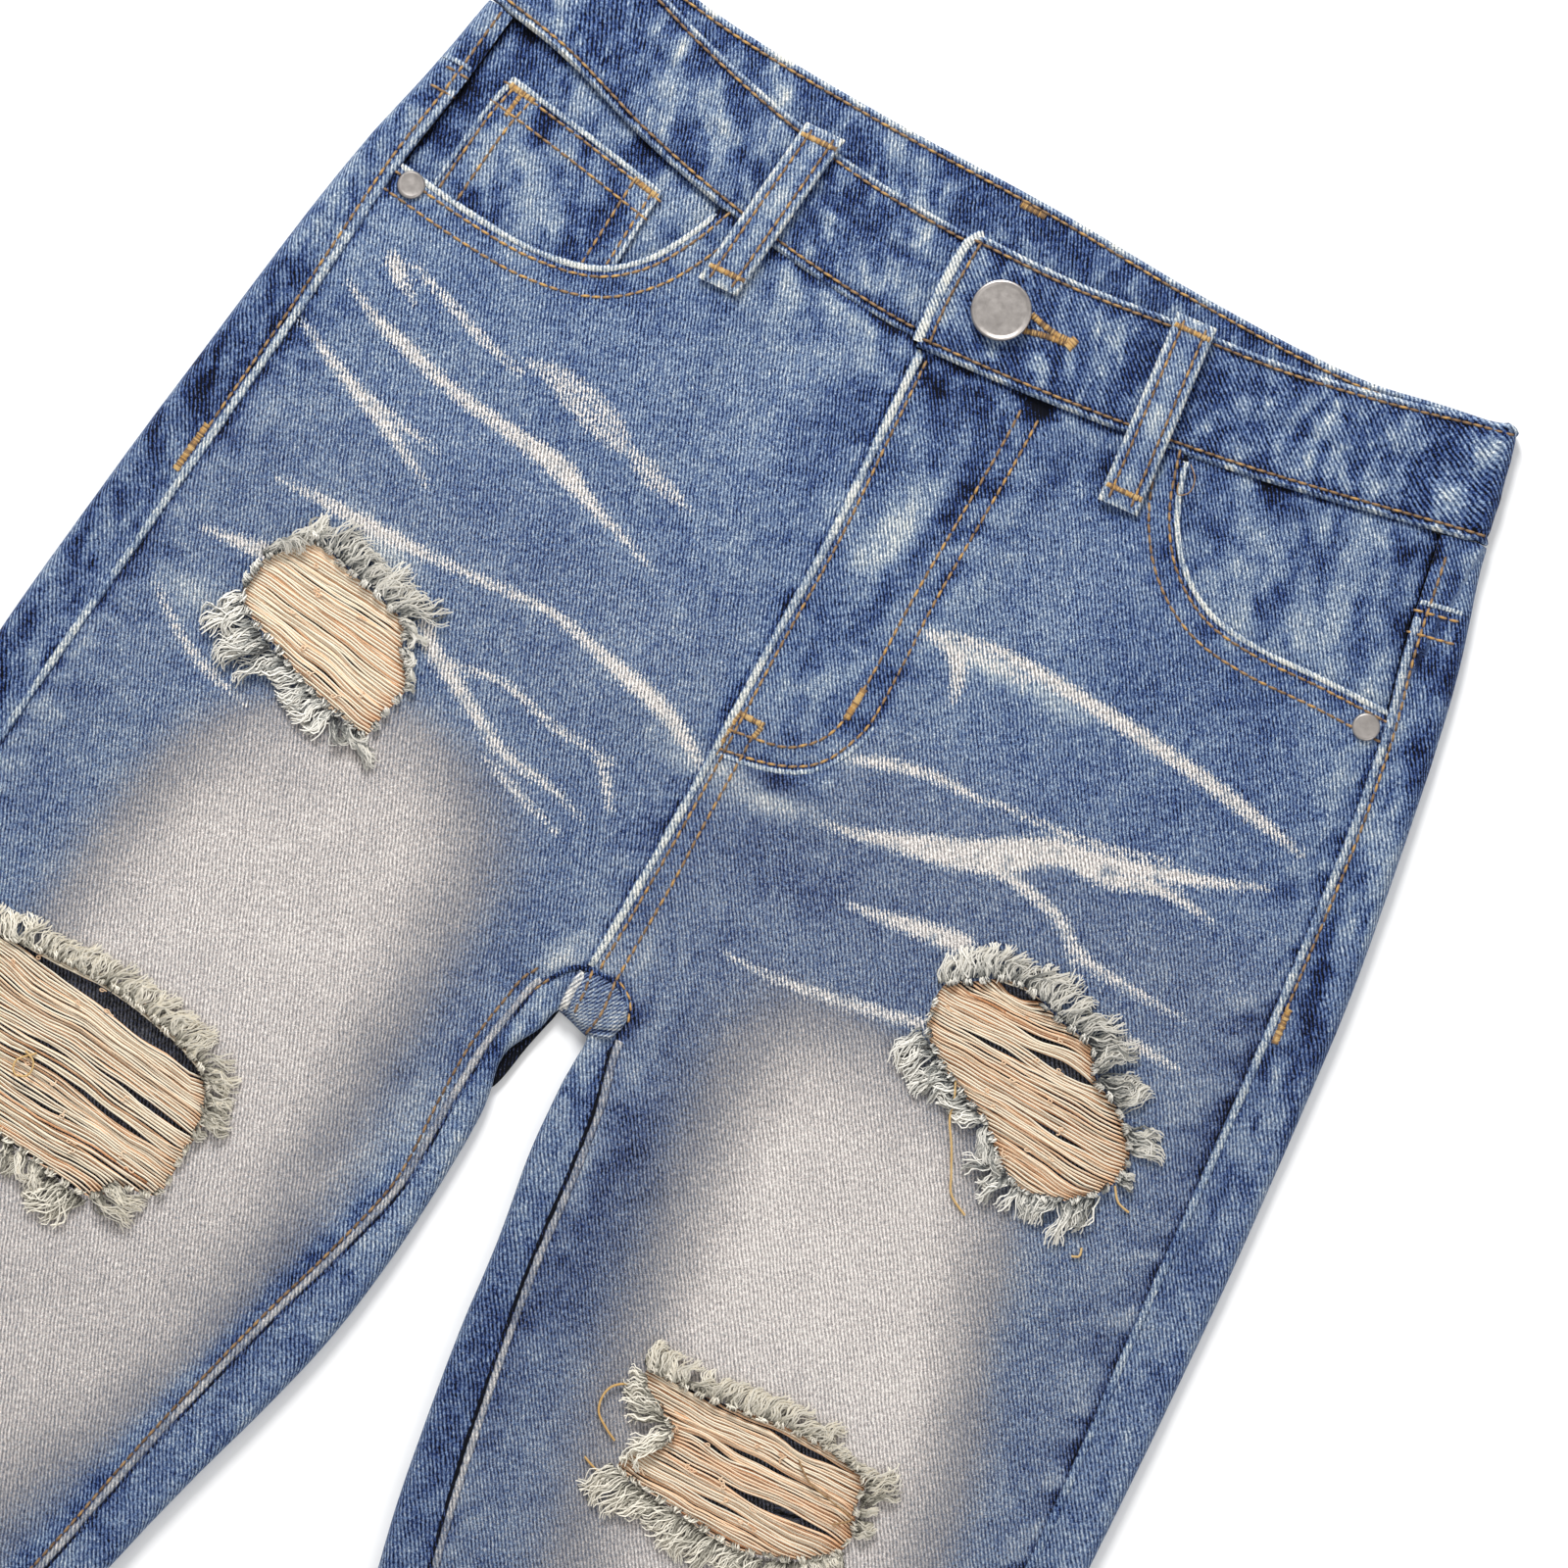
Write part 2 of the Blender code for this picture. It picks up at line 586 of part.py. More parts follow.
def build_back_pockets(denim):
    """Patch pockets on the seat; the jeans lie on them."""
    half = [(34, 150), (136, 156), (130, 62), (84, 40), (34, 56)]
    for side, name in ((-1, "back_pocket_right"), (1, "back_pocket_left")):
        outline = [(CENTRE + side * x, y) for x, y in half]
        flat_piece(name, outline, lambda x, y: 0.5, lambda x, y: 1.0, denim, lattice=200)


# ---------------------------------------------------------------- waistband and loops

BAND_LOW = UNDER_RISE + BAND / 2                 # middle of the band at the centre back
BAND_FRONT = BAND_LOW + BAND + SEAM_GAP          # middle of the band at the front
TAB_MID = BAND_FRONT + BAND + SEAM_GAP           # middle of the tab, over the other end


def band_front_mid(x, left_part):
    fold = BAND_FOLD[1 if x > 0 else -1]
    height = BAND_FRONT + WAIST_LIFT * math.exp(-max(fold - abs(x), 0) / 15)
    if left_part:
        height += (TAB_MID - BAND_FRONT) * smooth((62 - x) / 40)
    return height


def band_back_mid(x):
    fold = BAND_FOLD[1 if x > 0 else -1]
    return BAND / 2 + UNDER_RISE * smooth((fold - abs(x) - 5) / 18)


def band_column(table, x, z, out_x, out_z, shift=0.0):
    """One cut through the band at a station, moved across by shift: its lower, middle and upper point."""
    low_y, high_x, high_y = (read(table, x, column, "low_x") for column in ("low_y", "high_x", "high_y"))
    column = []
    for share in (0.0, 0.5, 1.0):
        column.append((x + shift + (high_x - x) * share, low_y + (high_y - low_y) * share, z, out_x, out_z))
    return column


def build_waistband(denim):
    """One strip: from the end under the tab, round the back, to the tab on top."""
    columns = []
    for x in (14, 0, -17, -35, -55, -80, -105, -125, -143, -153):
        columns.append(band_column(BAND_RIGHT, x, band_front_mid(x, False), 0, 1))
    columns += band_fold(-1, BAND_RIGHT)
    for x in (-150, -130, -100, -70, -35, 0, 35, 70, 95, 118, 136):
        columns.append(band_column(BAND_BACK, x, band_back_mid(x), 0, -1))
    columns += band_fold(1, BAND_LEFT)[::-1]
    for x in (140, 125, 105, 85, 62, 48, 35, 22, 8, -6, TAB_END + 1.8):
        columns.append(band_column(BAND_LEFT, x, band_front_mid(x, True), 0, 1))
    rows = [[column[k] for column in columns] for k in range(3)]
    grid_piece("waistband", rows, lambda x, y: BAND, denim)


def band_fold(side, table):
    edge = BAND_FOLD[side]
    tangent = edge - 3.4
    low, high = band_back_mid(tangent * side), band_front_mid(tangent * side, side > 0)
    radius = (high - low) / 2
    tangent = edge - radius - BAND / 2
    made = []
    for k in range(FOLD_STEPS + 1):
        angle = math.pi * (0.5 - k / FOLD_STEPS)
        out_x, out_z = math.cos(angle) * side, math.sin(angle)
        shift = radius * out_x - (edge - tangent) * side
        made.append(band_column(table, edge * side, (low + high) / 2 + radius * out_z, out_x, out_z, shift))
    return made


def build_loops(denim):
    """Two loops on the front of the band and three under the back of it."""
    front = (("loop_front_right", -66, -70.5, 246.5, 194), ("loop_front_left", 49.5, 56.3, 252.5, 196.5))
    for name, top_x, low_x, top_y, low_y in front:
        rows = []
        for share in (0, 0.12, 0.3, 0.5, 0.75, 0.93, 1.0):
            y = low_y + (top_y - low_y) * share
            x = low_x + (top_x - low_x) * share
            band_top = max(band_front_mid(x + half, x > 0) for half in (-6, 6)) + BAND / 2
            panel_top = max(front_mid(x + half, y) for half in (-6, 0, 6)) + DENIM / 2
            z = (panel_top if share == 0 else max(band_top, panel_top)) + SEAM_GAP + 0.8
            rows.append([(x + half, y, z, 0, 1) for half in (-6, 0, 6)])
        grid_piece(name, rows, lambda x, y: 1.5, denim)
    for name, x in (("loop_back_right", -80), ("loop_back_middle", CENTRE), ("loop_back_left", 80)):
        low, high = 214, read(BAND_BACK, x, "high_y", "low_x") + 1
        outline = [(x - 6, low), (x + 6, low), (x + 6, high), (x - 6, high)]
        flat_piece(name, outline, lambda x, y: 0.5, lambda x, y: 1.0, denim, lattice=200)


# ---------------------------------------------------------------- metal


def build_metal(nickel):
    button = [(0, 0), (4.6, 0), (4.6, 1.0), (7.6, 1.1), (8.4, 1.5), (8.5, 2.3), (8.1, 2.8), (7.2, 2.75),
              (6.6, 2.6), (0, 2.8)]
    tab_top = band_front_mid(1, True) + BAND / 2
    spun("button", button, (1, 227.5, tab_top + 0.45), (math.radians(2), math.radians(-1.5), 0), nickel, 28)
    rivet = [(0, 0), (3.4, 0), (3.9, 0.35), (3.7, 1.0), (3.0, 1.3), (0, 1.35)]
    for name, x, y in (("rivet_right", -158.3, 176), ("rivet_left", 146.5, 178.2)):
        side = 1 if x > 0 else -1
        slope = math.atan((front_mid(x + 4 * side, y) - front_mid(x - 4 * side, y)) / 8)
        height = front_mid(x, y) + DENIM / 2 + 0.4
        spun(name, rivet, (x, y, height), (0, -slope * side, 0), nickel, 16)


# ---------------------------------------------------------------- the part


def hang_on_origin():
    """Every piece hangs on one empty, which puts the origin at the bottom centre."""
    bpy.context.view_layer.update()
    pieces = list(bpy.context.scene.collection.objects)
    corners = [piece.matrix_world @ Vector(c) for piece in pieces for c in piece.bound_box]
    low = [min(c[i] for c in corners) for i in range(3)]
    high = [max(c[i] for c in corners) for i in range(3)]
    origin = bpy.data.objects.new("jeans", None)
    bpy.context.scene.collection.objects.link(origin)
    origin.location = (-(low[0] + high[0]) / 2, -(low[1] + high[1]) / 2, -low[2])
    for piece in pieces:
        piece.parent = origin


def main():
    for old in list(bpy.data.objects):
        bpy.data.objects.remove(old)
    denim = material("denim", (0.16, 0.27, 0.47), 0.85)
    inside_denim = material("denim_reverse", (0.36, 0.42, 0.52), 0.9)
    thread = material("weft_thread", (0.80, 0.62, 0.42), 0.9)
    fray = material("fray", (0.33, 0.40, 0.48), 0.95)
    tape = material("zip_tape", (0.09, 0.13, 0.24), 0.8)
    nickel = material("nickel", (0.62, 0.58, 0.56), 0.35, 1.0)

    for side, name in ((-1, "right"), (1, "left")):
        build_back(side, "back_" + name, denim)
        build_yoke(side, "yoke_" + name, denim)
        build_front(side, "front_" + name, denim)
    build_facings(denim)
    build_coin_pocket(denim)
    build_fly(inside_denim, tape)
    build_back_pockets(denim)
    build_waistband(denim)
    build_loops(denim)
    for number, rip in enumerate(RIPS, 1):
        build_rip(number, rip, thread, fray)
    build_metal(nickel)
    hang_on_origin()


main()
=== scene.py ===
import math

import bpy
import numpy as np
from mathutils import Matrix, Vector


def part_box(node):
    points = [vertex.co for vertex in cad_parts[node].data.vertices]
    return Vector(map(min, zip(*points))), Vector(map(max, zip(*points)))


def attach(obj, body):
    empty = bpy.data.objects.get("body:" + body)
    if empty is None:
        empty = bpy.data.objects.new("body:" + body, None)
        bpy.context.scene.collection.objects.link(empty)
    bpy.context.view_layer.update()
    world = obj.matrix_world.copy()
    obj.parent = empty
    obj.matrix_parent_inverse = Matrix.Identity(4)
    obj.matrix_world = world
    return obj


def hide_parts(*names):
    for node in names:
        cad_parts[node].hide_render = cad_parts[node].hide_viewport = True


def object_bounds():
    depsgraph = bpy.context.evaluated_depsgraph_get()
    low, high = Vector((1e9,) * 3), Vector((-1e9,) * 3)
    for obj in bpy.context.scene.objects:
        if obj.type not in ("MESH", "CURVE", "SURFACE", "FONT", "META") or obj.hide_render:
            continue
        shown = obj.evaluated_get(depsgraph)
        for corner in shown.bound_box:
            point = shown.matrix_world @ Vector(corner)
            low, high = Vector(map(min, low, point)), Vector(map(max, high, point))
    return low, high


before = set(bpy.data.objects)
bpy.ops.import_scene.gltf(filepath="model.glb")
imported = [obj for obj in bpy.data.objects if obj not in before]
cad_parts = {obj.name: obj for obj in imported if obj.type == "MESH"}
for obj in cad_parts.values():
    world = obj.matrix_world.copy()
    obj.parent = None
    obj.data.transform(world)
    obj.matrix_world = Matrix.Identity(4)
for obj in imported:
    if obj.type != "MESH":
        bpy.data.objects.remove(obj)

# Looks of a child's ripped jeans, laid flat. Lengths below are millimetres in the drafting frame:
# X to the wearer's left, Y up to the waist, Z up from the floor; the origin is just below the crotch.

MM = 0.001
CAD_LOW, CAD_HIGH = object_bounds()
HEM_Y = -630.0
HEM_OUT = 225.0
SHIFT = np.array([CAD_LOW[0] + HEM_OUT * MM, CAD_LOW[1] - HEM_Y * MM, 0.0])

DENIM = 1.1            # thickness of the cloth
BAND = 2.2             # thickness of the waistband
CENTRE = -1.0          # x of the centre line
CROTCH_Y = 11.0
UNDER_RISE = 1.3       # how far the seat is raised by the pockets under it
PITCH = 1.85           # spacing of the points in a panel, where the camera is close
FAR_PITCH = 6.0        # the same down the legs
CLOTH_CLEAR = 0.00004  # metres between the lowest cloth and the floor
NEAR_Y = {-1: -222.0, 1: -165.0}        # the close part of each leg ends here
# In every table by side, -1 is the wearer's right and 1 the left.
SIDE_NAME = {-1: "right", 1: "left"}


# ---------------------------------------------------------------- tables


class Table:
    """Rows of named columns, read between rows on a smooth curve."""

    def __init__(self, names, rows):
        rows = sorted(rows)
        self.at = np.array([row[0] for row in rows], float)
        self.columns = {n: np.array([row[i] for row in rows], float) for i, n in enumerate(names)}

    def read(self, name, at):
        values, xs = self.columns[name], self.at
        slopes = np.empty(len(xs))
        slopes[1:-1] = (values[2:] - values[:-2]) / (xs[2:] - xs[:-2])
        slopes[0] = (values[1] - values[0]) / (xs[1] - xs[0])
        slopes[-1] = (values[-1] - values[-2]) / (xs[-1] - xs[-2])
        at = np.clip(np.asarray(at, float), xs[0], xs[-1])
        i = np.clip(np.searchsorted(xs, at, side="right") - 1, 0, len(xs) - 2)
        span = xs[i + 1] - xs[i]
        t = (at - xs[i]) / span
        blend = values[i] * (1 + 2 * t) * (1 - t) ** 2 + values[i + 1] * t * t * (3 - 2 * t)
        return blend + span * (slopes[i] * t * (1 - t) ** 2 - slopes[i + 1] * t * t * (1 - t))


# distance of each leg's outer fold and outseam from x = 0
OUTER = {
    -1: Table(("y", "fold", "seam"), (
        (240, 163.7, 155.6), (232, 165.5, 157.0), (205, 170.5, 160.0), (180, 176.0, 163.5),
        (150, 180.5, 165.5), (110, 185.5, 168.5), (60, 191.3, 173.0), (10, 196.0, 177.5),
        (-60, 200.0, 183.0), (-130, 204.0, 187.5), (-200, 207.5, 191.0), (-330, 213.0, 198.0),
        (-480, 219.0, 205.5), (-630, 225.0, 213.0),
    )),
    1: Table(("y", "fold", "seam"), (
        (240, 150.6, 136.4), (232, 152.7, 138.5), (205, 161.3, 144.2), (180, 167.5, 151.0),
        (150, 173.5, 156.7), (110, 180.8, 162.0), (60, 187.0, 168.0), (10, 192.0, 173.0),
        (-60, 197.0, 180.5), (-130, 201.5, 185.0), (-200, 205.5, 189.0), (-330, 212.0, 197.0),
        (-480, 218.5, 205.0), (-630, 225.0, 213.0),
    )),
}
# distance of each leg's inseam and inner fold, from the crotch down
INNER = {
    -1: Table(("y", "seam", "fold"), (
        (11, 8.0, 1.15), (8, 11.5, 1.15), (3, 15.5, 1.3), (-1, 17.0, 7.4), (-4, 17.4, 9.2),
        (-9, 18.2, 10.2), (-14, 19.0, 12.8), (-19, 19.6, 15.0), (-24, 20.0, 15.2), (-31, 20.2, 13.6),
        (-40, 20.4, 12.5), (-66, 20.8, 12.8), (-90, 26.2, 14.5), (-115, 33.4, 18.0), (-140, 39.8, 24.0),
        (-165, 45.6, 31.0), (-200, 52.5, 39.5), (-260, 66.0, 53.0), (-330, 80.0, 66.0), (-450, 95.0, 82.0),
        (-630, 108.0, 95.0),
    )),
    1: Table(("y", "seam", "fold"), (
        (11, 3.0, -0.85), (8, 7.8, -0.85), (3, 8.9, -0.6), (-3, 9.5, 1.5), (-6, 10.0, 2.6),
        (-12, 11.8, 2.6), (-20, 14.0, 2.7), (-40, 17.0, 4.5), (-66, 20.0, 9.0), (-90, 24.0, 12.0),
        (-115, 28.9, 16.0), (-140, 34.4, 20.6), (-165, 41.0, 26.5), (-200, 50.0, 35.5),
        (-260, 63.0, 49.0), (-330, 76.5, 62.0), (-450, 93.0, 79.0), (-630, 108.0, 95.0),
    )),
}
BAND_COLUMNS = ("low_x", "low_y", "high_x", "high_y")
BAND_RIGHT = Table(BAND_COLUMNS, (
    (-165.5, 232, -157.5, 266), (-140, 228, -134, 260), (-110, 219.5, -107, 252),
    (-80, 213.5, -79, 246), (-50, 210, -50, 242.3), (-17, 209, -17, 241.8), (14, 212.5, 14, 243.3),
))
BAND_LEFT = Table(BAND_COLUMNS, (
    (-15.2, 207.2, -17, 243), (15, 210.5, 15, 245.2), (45, 215, 44, 249.7), (80, 221.5, 77, 254.5),
    (110, 228.5, 105, 261), (140, 236, 133, 269), (151, 238.5, 142.3, 271.3),
))
BAND_BACK = Table(BAND_COLUMNS, (
    (-165.5, 232, -157.5, 266), (-135, 229.5, -130, 262.5), (-100, 226.5, -98, 259.3),
    (-50, 225, -50, 258.8), (0, 225, 0, 260), (50, 225.5, 50, 259.5), (100, 229, 96, 261.5),
    (130, 234, 122, 267), (151, 238.5, 142.3, 271.3),
))
BAND_FOLD = {-1: 165.5, 1: 151.0}
BAND_OF = {-1: BAND_RIGHT, 1: BAND_LEFT}
FLY = Table(("y", "x"), (
    (207, -13.5), (180, -11.5), (150, -9.4), (115, -8.8), (70, -7.4), (30, -7.2), (11, -7.6),
))
OPENING = {
    -1: ((-81, 213.5), (-85, 203), (-92, 191), (-103, 182), (-120, 178), (-140, 178), (-163.5, 180)),
    1: ((66.5, 219), (72, 204), (81, 192), (94, 184.4), (110, 182.8), (130, 184.3), (151, 185.2)),
}
# soft ridges (or troughs, where the height is below zero) of the front: from, to, width, height
CREASES = (
    (-16, -2, -62, -30, 15, 1.2), (12, -8, 48, -36, 15, 1.0), (-150, 120, -60, 96, 18, 0.8),
    (50, 120, 150, 104, 18, 0.8), (-190, -300, -90, -280, 22, 1.4), (90, -310, 190, -285, 22, 1.3),
)


# ---------------------------------------------------------------- small maths


def smooth(t):
    """0 below 0, 1 above 1, and an even bend between."""
    t = np.clip(t, 0, 1)
    return t * t * (3 - 2 * t)


def hump(value, middle=0.0, reach=1.0):
    """1 where the value is at the middle, falling to 0 beyond this reach."""
    return np.exp(-((value - middle) / reach) ** 2)


def speck(i, j, seed):
    """A fixed value from 0 to 1 for each pair of whole numbers."""
    n = np.sin(i * 127.1 + j * 311.7 + seed * 74.7) * 43758.5453
    return n - np.floor(n)


def noise(x, y, size, seed=0):
    """Soft uneven patches of about this size, from 0 to 1."""
    gx, gy = np.asarray(x) / size, np.asarray(y) / size
    i, j = np.floor(gx), np.floor(gy)
    u, v = smooth(gx - i), smooth(gy - j)
    low = speck(i, j, seed) * (1 - u) + speck(i + 1, j, seed) * u
    high = speck(i, j + 1, seed) * (1 - u) + speck(i + 1, j + 1, seed) * u
    return low * (1 - v) + high * v


def uneven(x, y, size, seed=0):
    """The same in two sizes, from -1 to 1."""
    return (noise(x, y, size, seed) * 1.3 + noise(x, y, size * 0.43, seed + 5) * 0.7) - 1


def curve(points, step=3.0, closed=False):
    """A smooth line through given points, as rows of x, y (and more columns)."""
    p = np.array(points, float)
    count = len(p)
    made = []
    for i in range(count if closed else count - 1):
        if closed:
            a, b, c, d = p[i - 1], p[i], p[(i + 1) % count], p[(i + 2) % count]
        else:
            a, b, c, d = p[max(i - 1, 0)], p[i], p[i + 1], p[min(i + 2, count - 1)]
        many = max(2, int(math.hypot(*(c - b)[:2]) / step))
        t = (np.arange(many) / many)[:, None]
        made.append(0.5 * (2 * b + (c - a) * t + (2 * a - 5 * b + 4 * c - d) * t ** 2
                           + (3 * b - a - 3 * c + d) * t ** 3))
    if not closed:
        made.append(p[-1:])
    return np.vstack(made)


def along(line):
    """The run to each point of a line."""
    return np.concatenate([[0], np.cumsum(np.hypot(*np.diff(line[:, :2], axis=0).T))])


def even(line, step):
    """The same line with its points this far apart."""
    run = along(line)
    count = max(2, int(round(run[-1] / step)) + 1)
    at = np.linspace(0, run[-1], count)
    return np.stack([np.interp(at, run, line[:, k]) for k in range(line.shape[1])], 1)


def closed(line):
    """The line with its first point again at its end."""
    return np.vstack([line, line[:1]])


def ring(corners, step):
    """A closed outline with its points this far apart."""
    return even(closed(np.array(corners, float)), step)[:-1]


def headings(line):
    """The way a line runs at each point."""
    way = np.gradient(line[:, :2], axis=0)
    return way / np.maximum(np.hypot(*way.T), 1e-9)[:, None]


def normals(line):
    """To the left of the way the line runs."""
    way = headings(line)
    return np.stack([-way[:, 1], way[:, 0]], 1)


def offset(line, distance):
    """The line moved this far to its left."""
    return line[:, :2] + normals(line) * distance


AT_ONCE = 4000         # points measured together, to keep the memory small


def nearest(x, y, line, closed=False):
    """Distance to a line, signed + to its left, the run along it, and the nearest point."""
    start = line[:, :2]
    end = np.roll(start, -1, axis=0)
    if not closed:
        start, end = start[:-1], end[:-1]
    edge = end - start
    length = np.maximum(np.hypot(*edge.T), 1e-9)
    run = np.concatenate([[0], np.cumsum(length)[:-1]])
    flat_x, flat_y = np.ravel(x), np.ravel(y)
    best = [np.empty(flat_x.size) for _ in range(4)]
    for first in range(0, flat_x.size, AT_ONCE):
        part = slice(first, first + AT_ONCE)
        dx = flat_x[part, None] - start[None, :, 0]
        dy = flat_y[part, None] - start[None, :, 1]
        t = np.clip((dx * edge[:, 0] + dy * edge[:, 1]) / length ** 2, 0, 1)
        gap = (dx - t * edge[:, 0]) ** 2 + (dy - t * edge[:, 1]) ** 2
        k = gap.argmin(1)
        rows = np.arange(len(k))
        side = edge[k, 0] * dy[rows, k] - edge[k, 1] * dx[rows, k]
        best[0][part] = np.sqrt(gap[rows, k]) * np.where(side >= 0, 1, -1)
        best[1][part] = run[k] + t[rows, k] * length[k]
        best[2][part] = start[k, 0] + t[rows, k] * edge[k, 0]
        best[3][part] = start[k, 1] + t[rows, k] * edge[k, 1]
    return [b.reshape(np.shape(x)) for b in best]


def inside(x, y, outline):
    """Even-odd test against a closed outline."""
    flat_x, flat_y = np.ravel(x), np.ravel(y)
    odd = np.zeros(flat_x.size, bool)
    for (x0, y0), (x1, y1) in zip(outline, np.roll(outline, -1, axis=0)):
        if y0 == y1:
            continue
        crosses = (y0 > flat_y) != (y1 > flat_y)
        odd ^= crosses & (flat_x < (x1 - x0) * (flat_y - y0) / (y1 - y0) + x0)
    return odd.reshape(np.shape(x))


# ---------------------------------------------------------------- the form of the garment


def side_of(x):
    """-1 on the wearer's right and 1 on the left."""
    return np.where(np.asarray(x) < CENTRE, -1, 1)


def both(tables, column, x, y):
    """A column of the right or the left table, by the side a point is on."""
    return np.where(side_of(x) < 0, tables[-1].read(column, y), tables[1].read(column, y))


def rise(x, y):
    """How far the cloth is lifted by what lies under the seat."""
    near_fold = smooth((both(OUTER, "fold", x, y) - np.abs(x) - 8) / 20)
    return UNDER_RISE * near_fold * smooth((y + 20) / 38)


def crease_height(x, y):
    """The soft ridges and troughs of CREASES together."""
    total = 0.0
    for x0, y0, x1, y1, width, height in CREASES:
        along_x, along_y = x1 - x0, y1 - y0
        t = np.clip(((x - x0) * along_x + (y - y0) * along_y) / (along_x ** 2 + along_y ** 2), 0, 1)
        gap = np.hypot(x - x0 - t * along_x, y - y0 - t * along_y)
        total = total + height * np.sin(math.pi * np.clip(t, 0.08, 0.92)) * hump(gap, 0, width)
    return total


def spacing(x, y):
    """Distance between the middles of the two layers away from the folds."""
    gap = 1.9 + 1.1 * smooth((y - 50) / 45)
    gap = gap + 1.1 * smooth((y - 125) / 25) * smooth((np.abs(x) - 55) / 12)
    gap = gap + 1.0 * smooth((y - 70) / 18) * smooth((44 - np.abs(x + 1)) / 12)
    return gap + 0.8 * smooth((HEM_Y + 45 - y) / 25)


def front_mid(x, y):
    """Middle surface of the front layer, as in the part's source."""
    x, y = np.asarray(x, float), np.asarray(y, float)
    out_gap = np.maximum(both(OUTER, "fold", x, y) - np.abs(x), 0)
    lift = 1.6 + 1.6 * smooth((200 - y) / 80)
    height = rise(x, y) + DENIM / 2 + spacing(x, y) + lift * np.exp(-out_gap / 18)
    in_gap = np.maximum(x * side_of(x) - both(INNER, "fold", x, y), 0)
    height += np.where(y < CROTCH_Y, 3.2 * smooth((5 - y) / 40) * np.exp(-in_gap / 18), 0)
    return height + crease_height(x, y)


def seam_line(tables, side, top, bottom, outward=0.0, step=3.0):
    """A line beside a leg seam, moved away from the middle of the garment by outward."""
    ys = np.arange(top, bottom, -step)
    return np.stack([(tables[side].read("seam", ys) + outward) * side, ys], 1)


FLY_YS = np.arange(207, 10, -3.0)
FLY_LINE = np.stack([FLY.read("x", FLY_YS), FLY_YS], 1)
OPENING_LINE = {side: curve(points, 2.5) for side, points in OPENING.items()}
OUTSEAM = {side: seam_line(OUTER, side, top, HEM_Y, step=4.0) for side, top in ((-1, 231), (1, 235.5))}
INSEAM = {side: seam_line(INNER, side, CROTCH_Y, HEM_Y, step=4.0) for side in (-1, 1)}


def low_edge(table, x):
    """Points of the waistband's lower edge."""
    return np.stack([x, table.read("low_y", x)], 1)


BAND_EDGE = {-1: low_edge(BAND_RIGHT, np.linspace(-165, -17, 50)),
             1: low_edge(BAND_LEFT, np.linspace(-15, 151, 55))}
CROSS_SEAM = curve(((-17.6, -2), (-15.8, 2.4), (-13, 7), (-10.4, 10.6), (-5.3, 12), (1.4, 12.4), (5.2, 11),
                    (7.9, 8.6), (9, 6)), 1.5)
# the small puffed fold under the cross seam: its upper and its lower edge
POINT_TOP = curve(((-8.9, 9.8), (-5, 11.6), (0.5, 11.8), (5, 10.4), (7.8, 8.2), (9.5, 5.2)), 1.0)
POINT_LOW = curve(((-8.9, -2.2), (-4, -3.2), (1, -4.5), (5, -4.7), (8.2, -2.0), (9.5, 2.4)), 1.0)
J_OUTER = curve(((25, 209.5), (25.5, 190), (25.5, 150), (26.4, 132), (27, 115), (26.3, 107), (22.5, 97),
                 (18, 91.5), (12, 88), (5, 85.6), (-6, 83.2)))
J_INNER = curve(((19.5, 209.5), (20, 190), (19.8, 150), (20.6, 122), (19.8, 106), (17, 99), (13, 95),
                 (8, 92), (-6, 89.2)))

# every seam that puckers the cloth beside it: line, pucker height, strength of the marbling, its reach
PUCKERS = (
    (OUTSEAM[-1], 0.55, 0.20, 12), (OUTSEAM[1], 0.55, 0.20, 12),
    (INSEAM[-1], 0.45, 0.17, 9), (INSEAM[1], 0.45, 0.17, 9),
    (OPENING_LINE[-1], 0.45, 0.20, 10), (OPENING_LINE[1], 0.45, 0.20, 10),
    (FLY_LINE, 0.30, 0.16, 7), (BAND_EDGE[-1], 0.65, 0.28, 13), (BAND_EDGE[1], 0.65, 0.28, 13),
    (J_OUTER, 0.40, 0.20, 8), (CROSS_SEAM, 0.3, 0.18, 6),
)


def marble(run, across, seed):
    """Streaks of pale and deep blue that lean across a seam, from -1 to 1."""
    streaks = uneven(run + across * 0.5, across * 0.42, 6.5, seed)
    return np.tanh(1.9 * (streaks + 0.6 * uneven(run * 0.9, across * 0.8, 3.3, seed + 20)))


def seam_effects(x, y, puckers):
    """Relief in mm and change of wash beside seams, with a painted shade line along each seam."""
    relief, wash_and_shade = np.zeros(np.shape(x)), np.zeros(np.shape(x))
    for number, (line, height, strength, reach) in enumerate(puckers):
        gap, run = nearest(x, y, line)[:2]
        away = np.abs(gap)
        fall = np.exp(-(away / reach) ** 1.5)
        streaks = marble(run, gap, 11 + number)
        relief += height * fall * streaks * 0.55 - 0.35 * hump(away, 0, 1.3)
        # the last term is a dark line right along the seam: painted shade, with the unfaded indigo of the
        # seam's trough
        wash_and_shade += strength * fall * (streaks - 0.2) - 0.22 * hump(away, 0, 1.1)
    return relief, wash_and_shade


# ---------------------------------------------------------------- washes, whiskers and fades

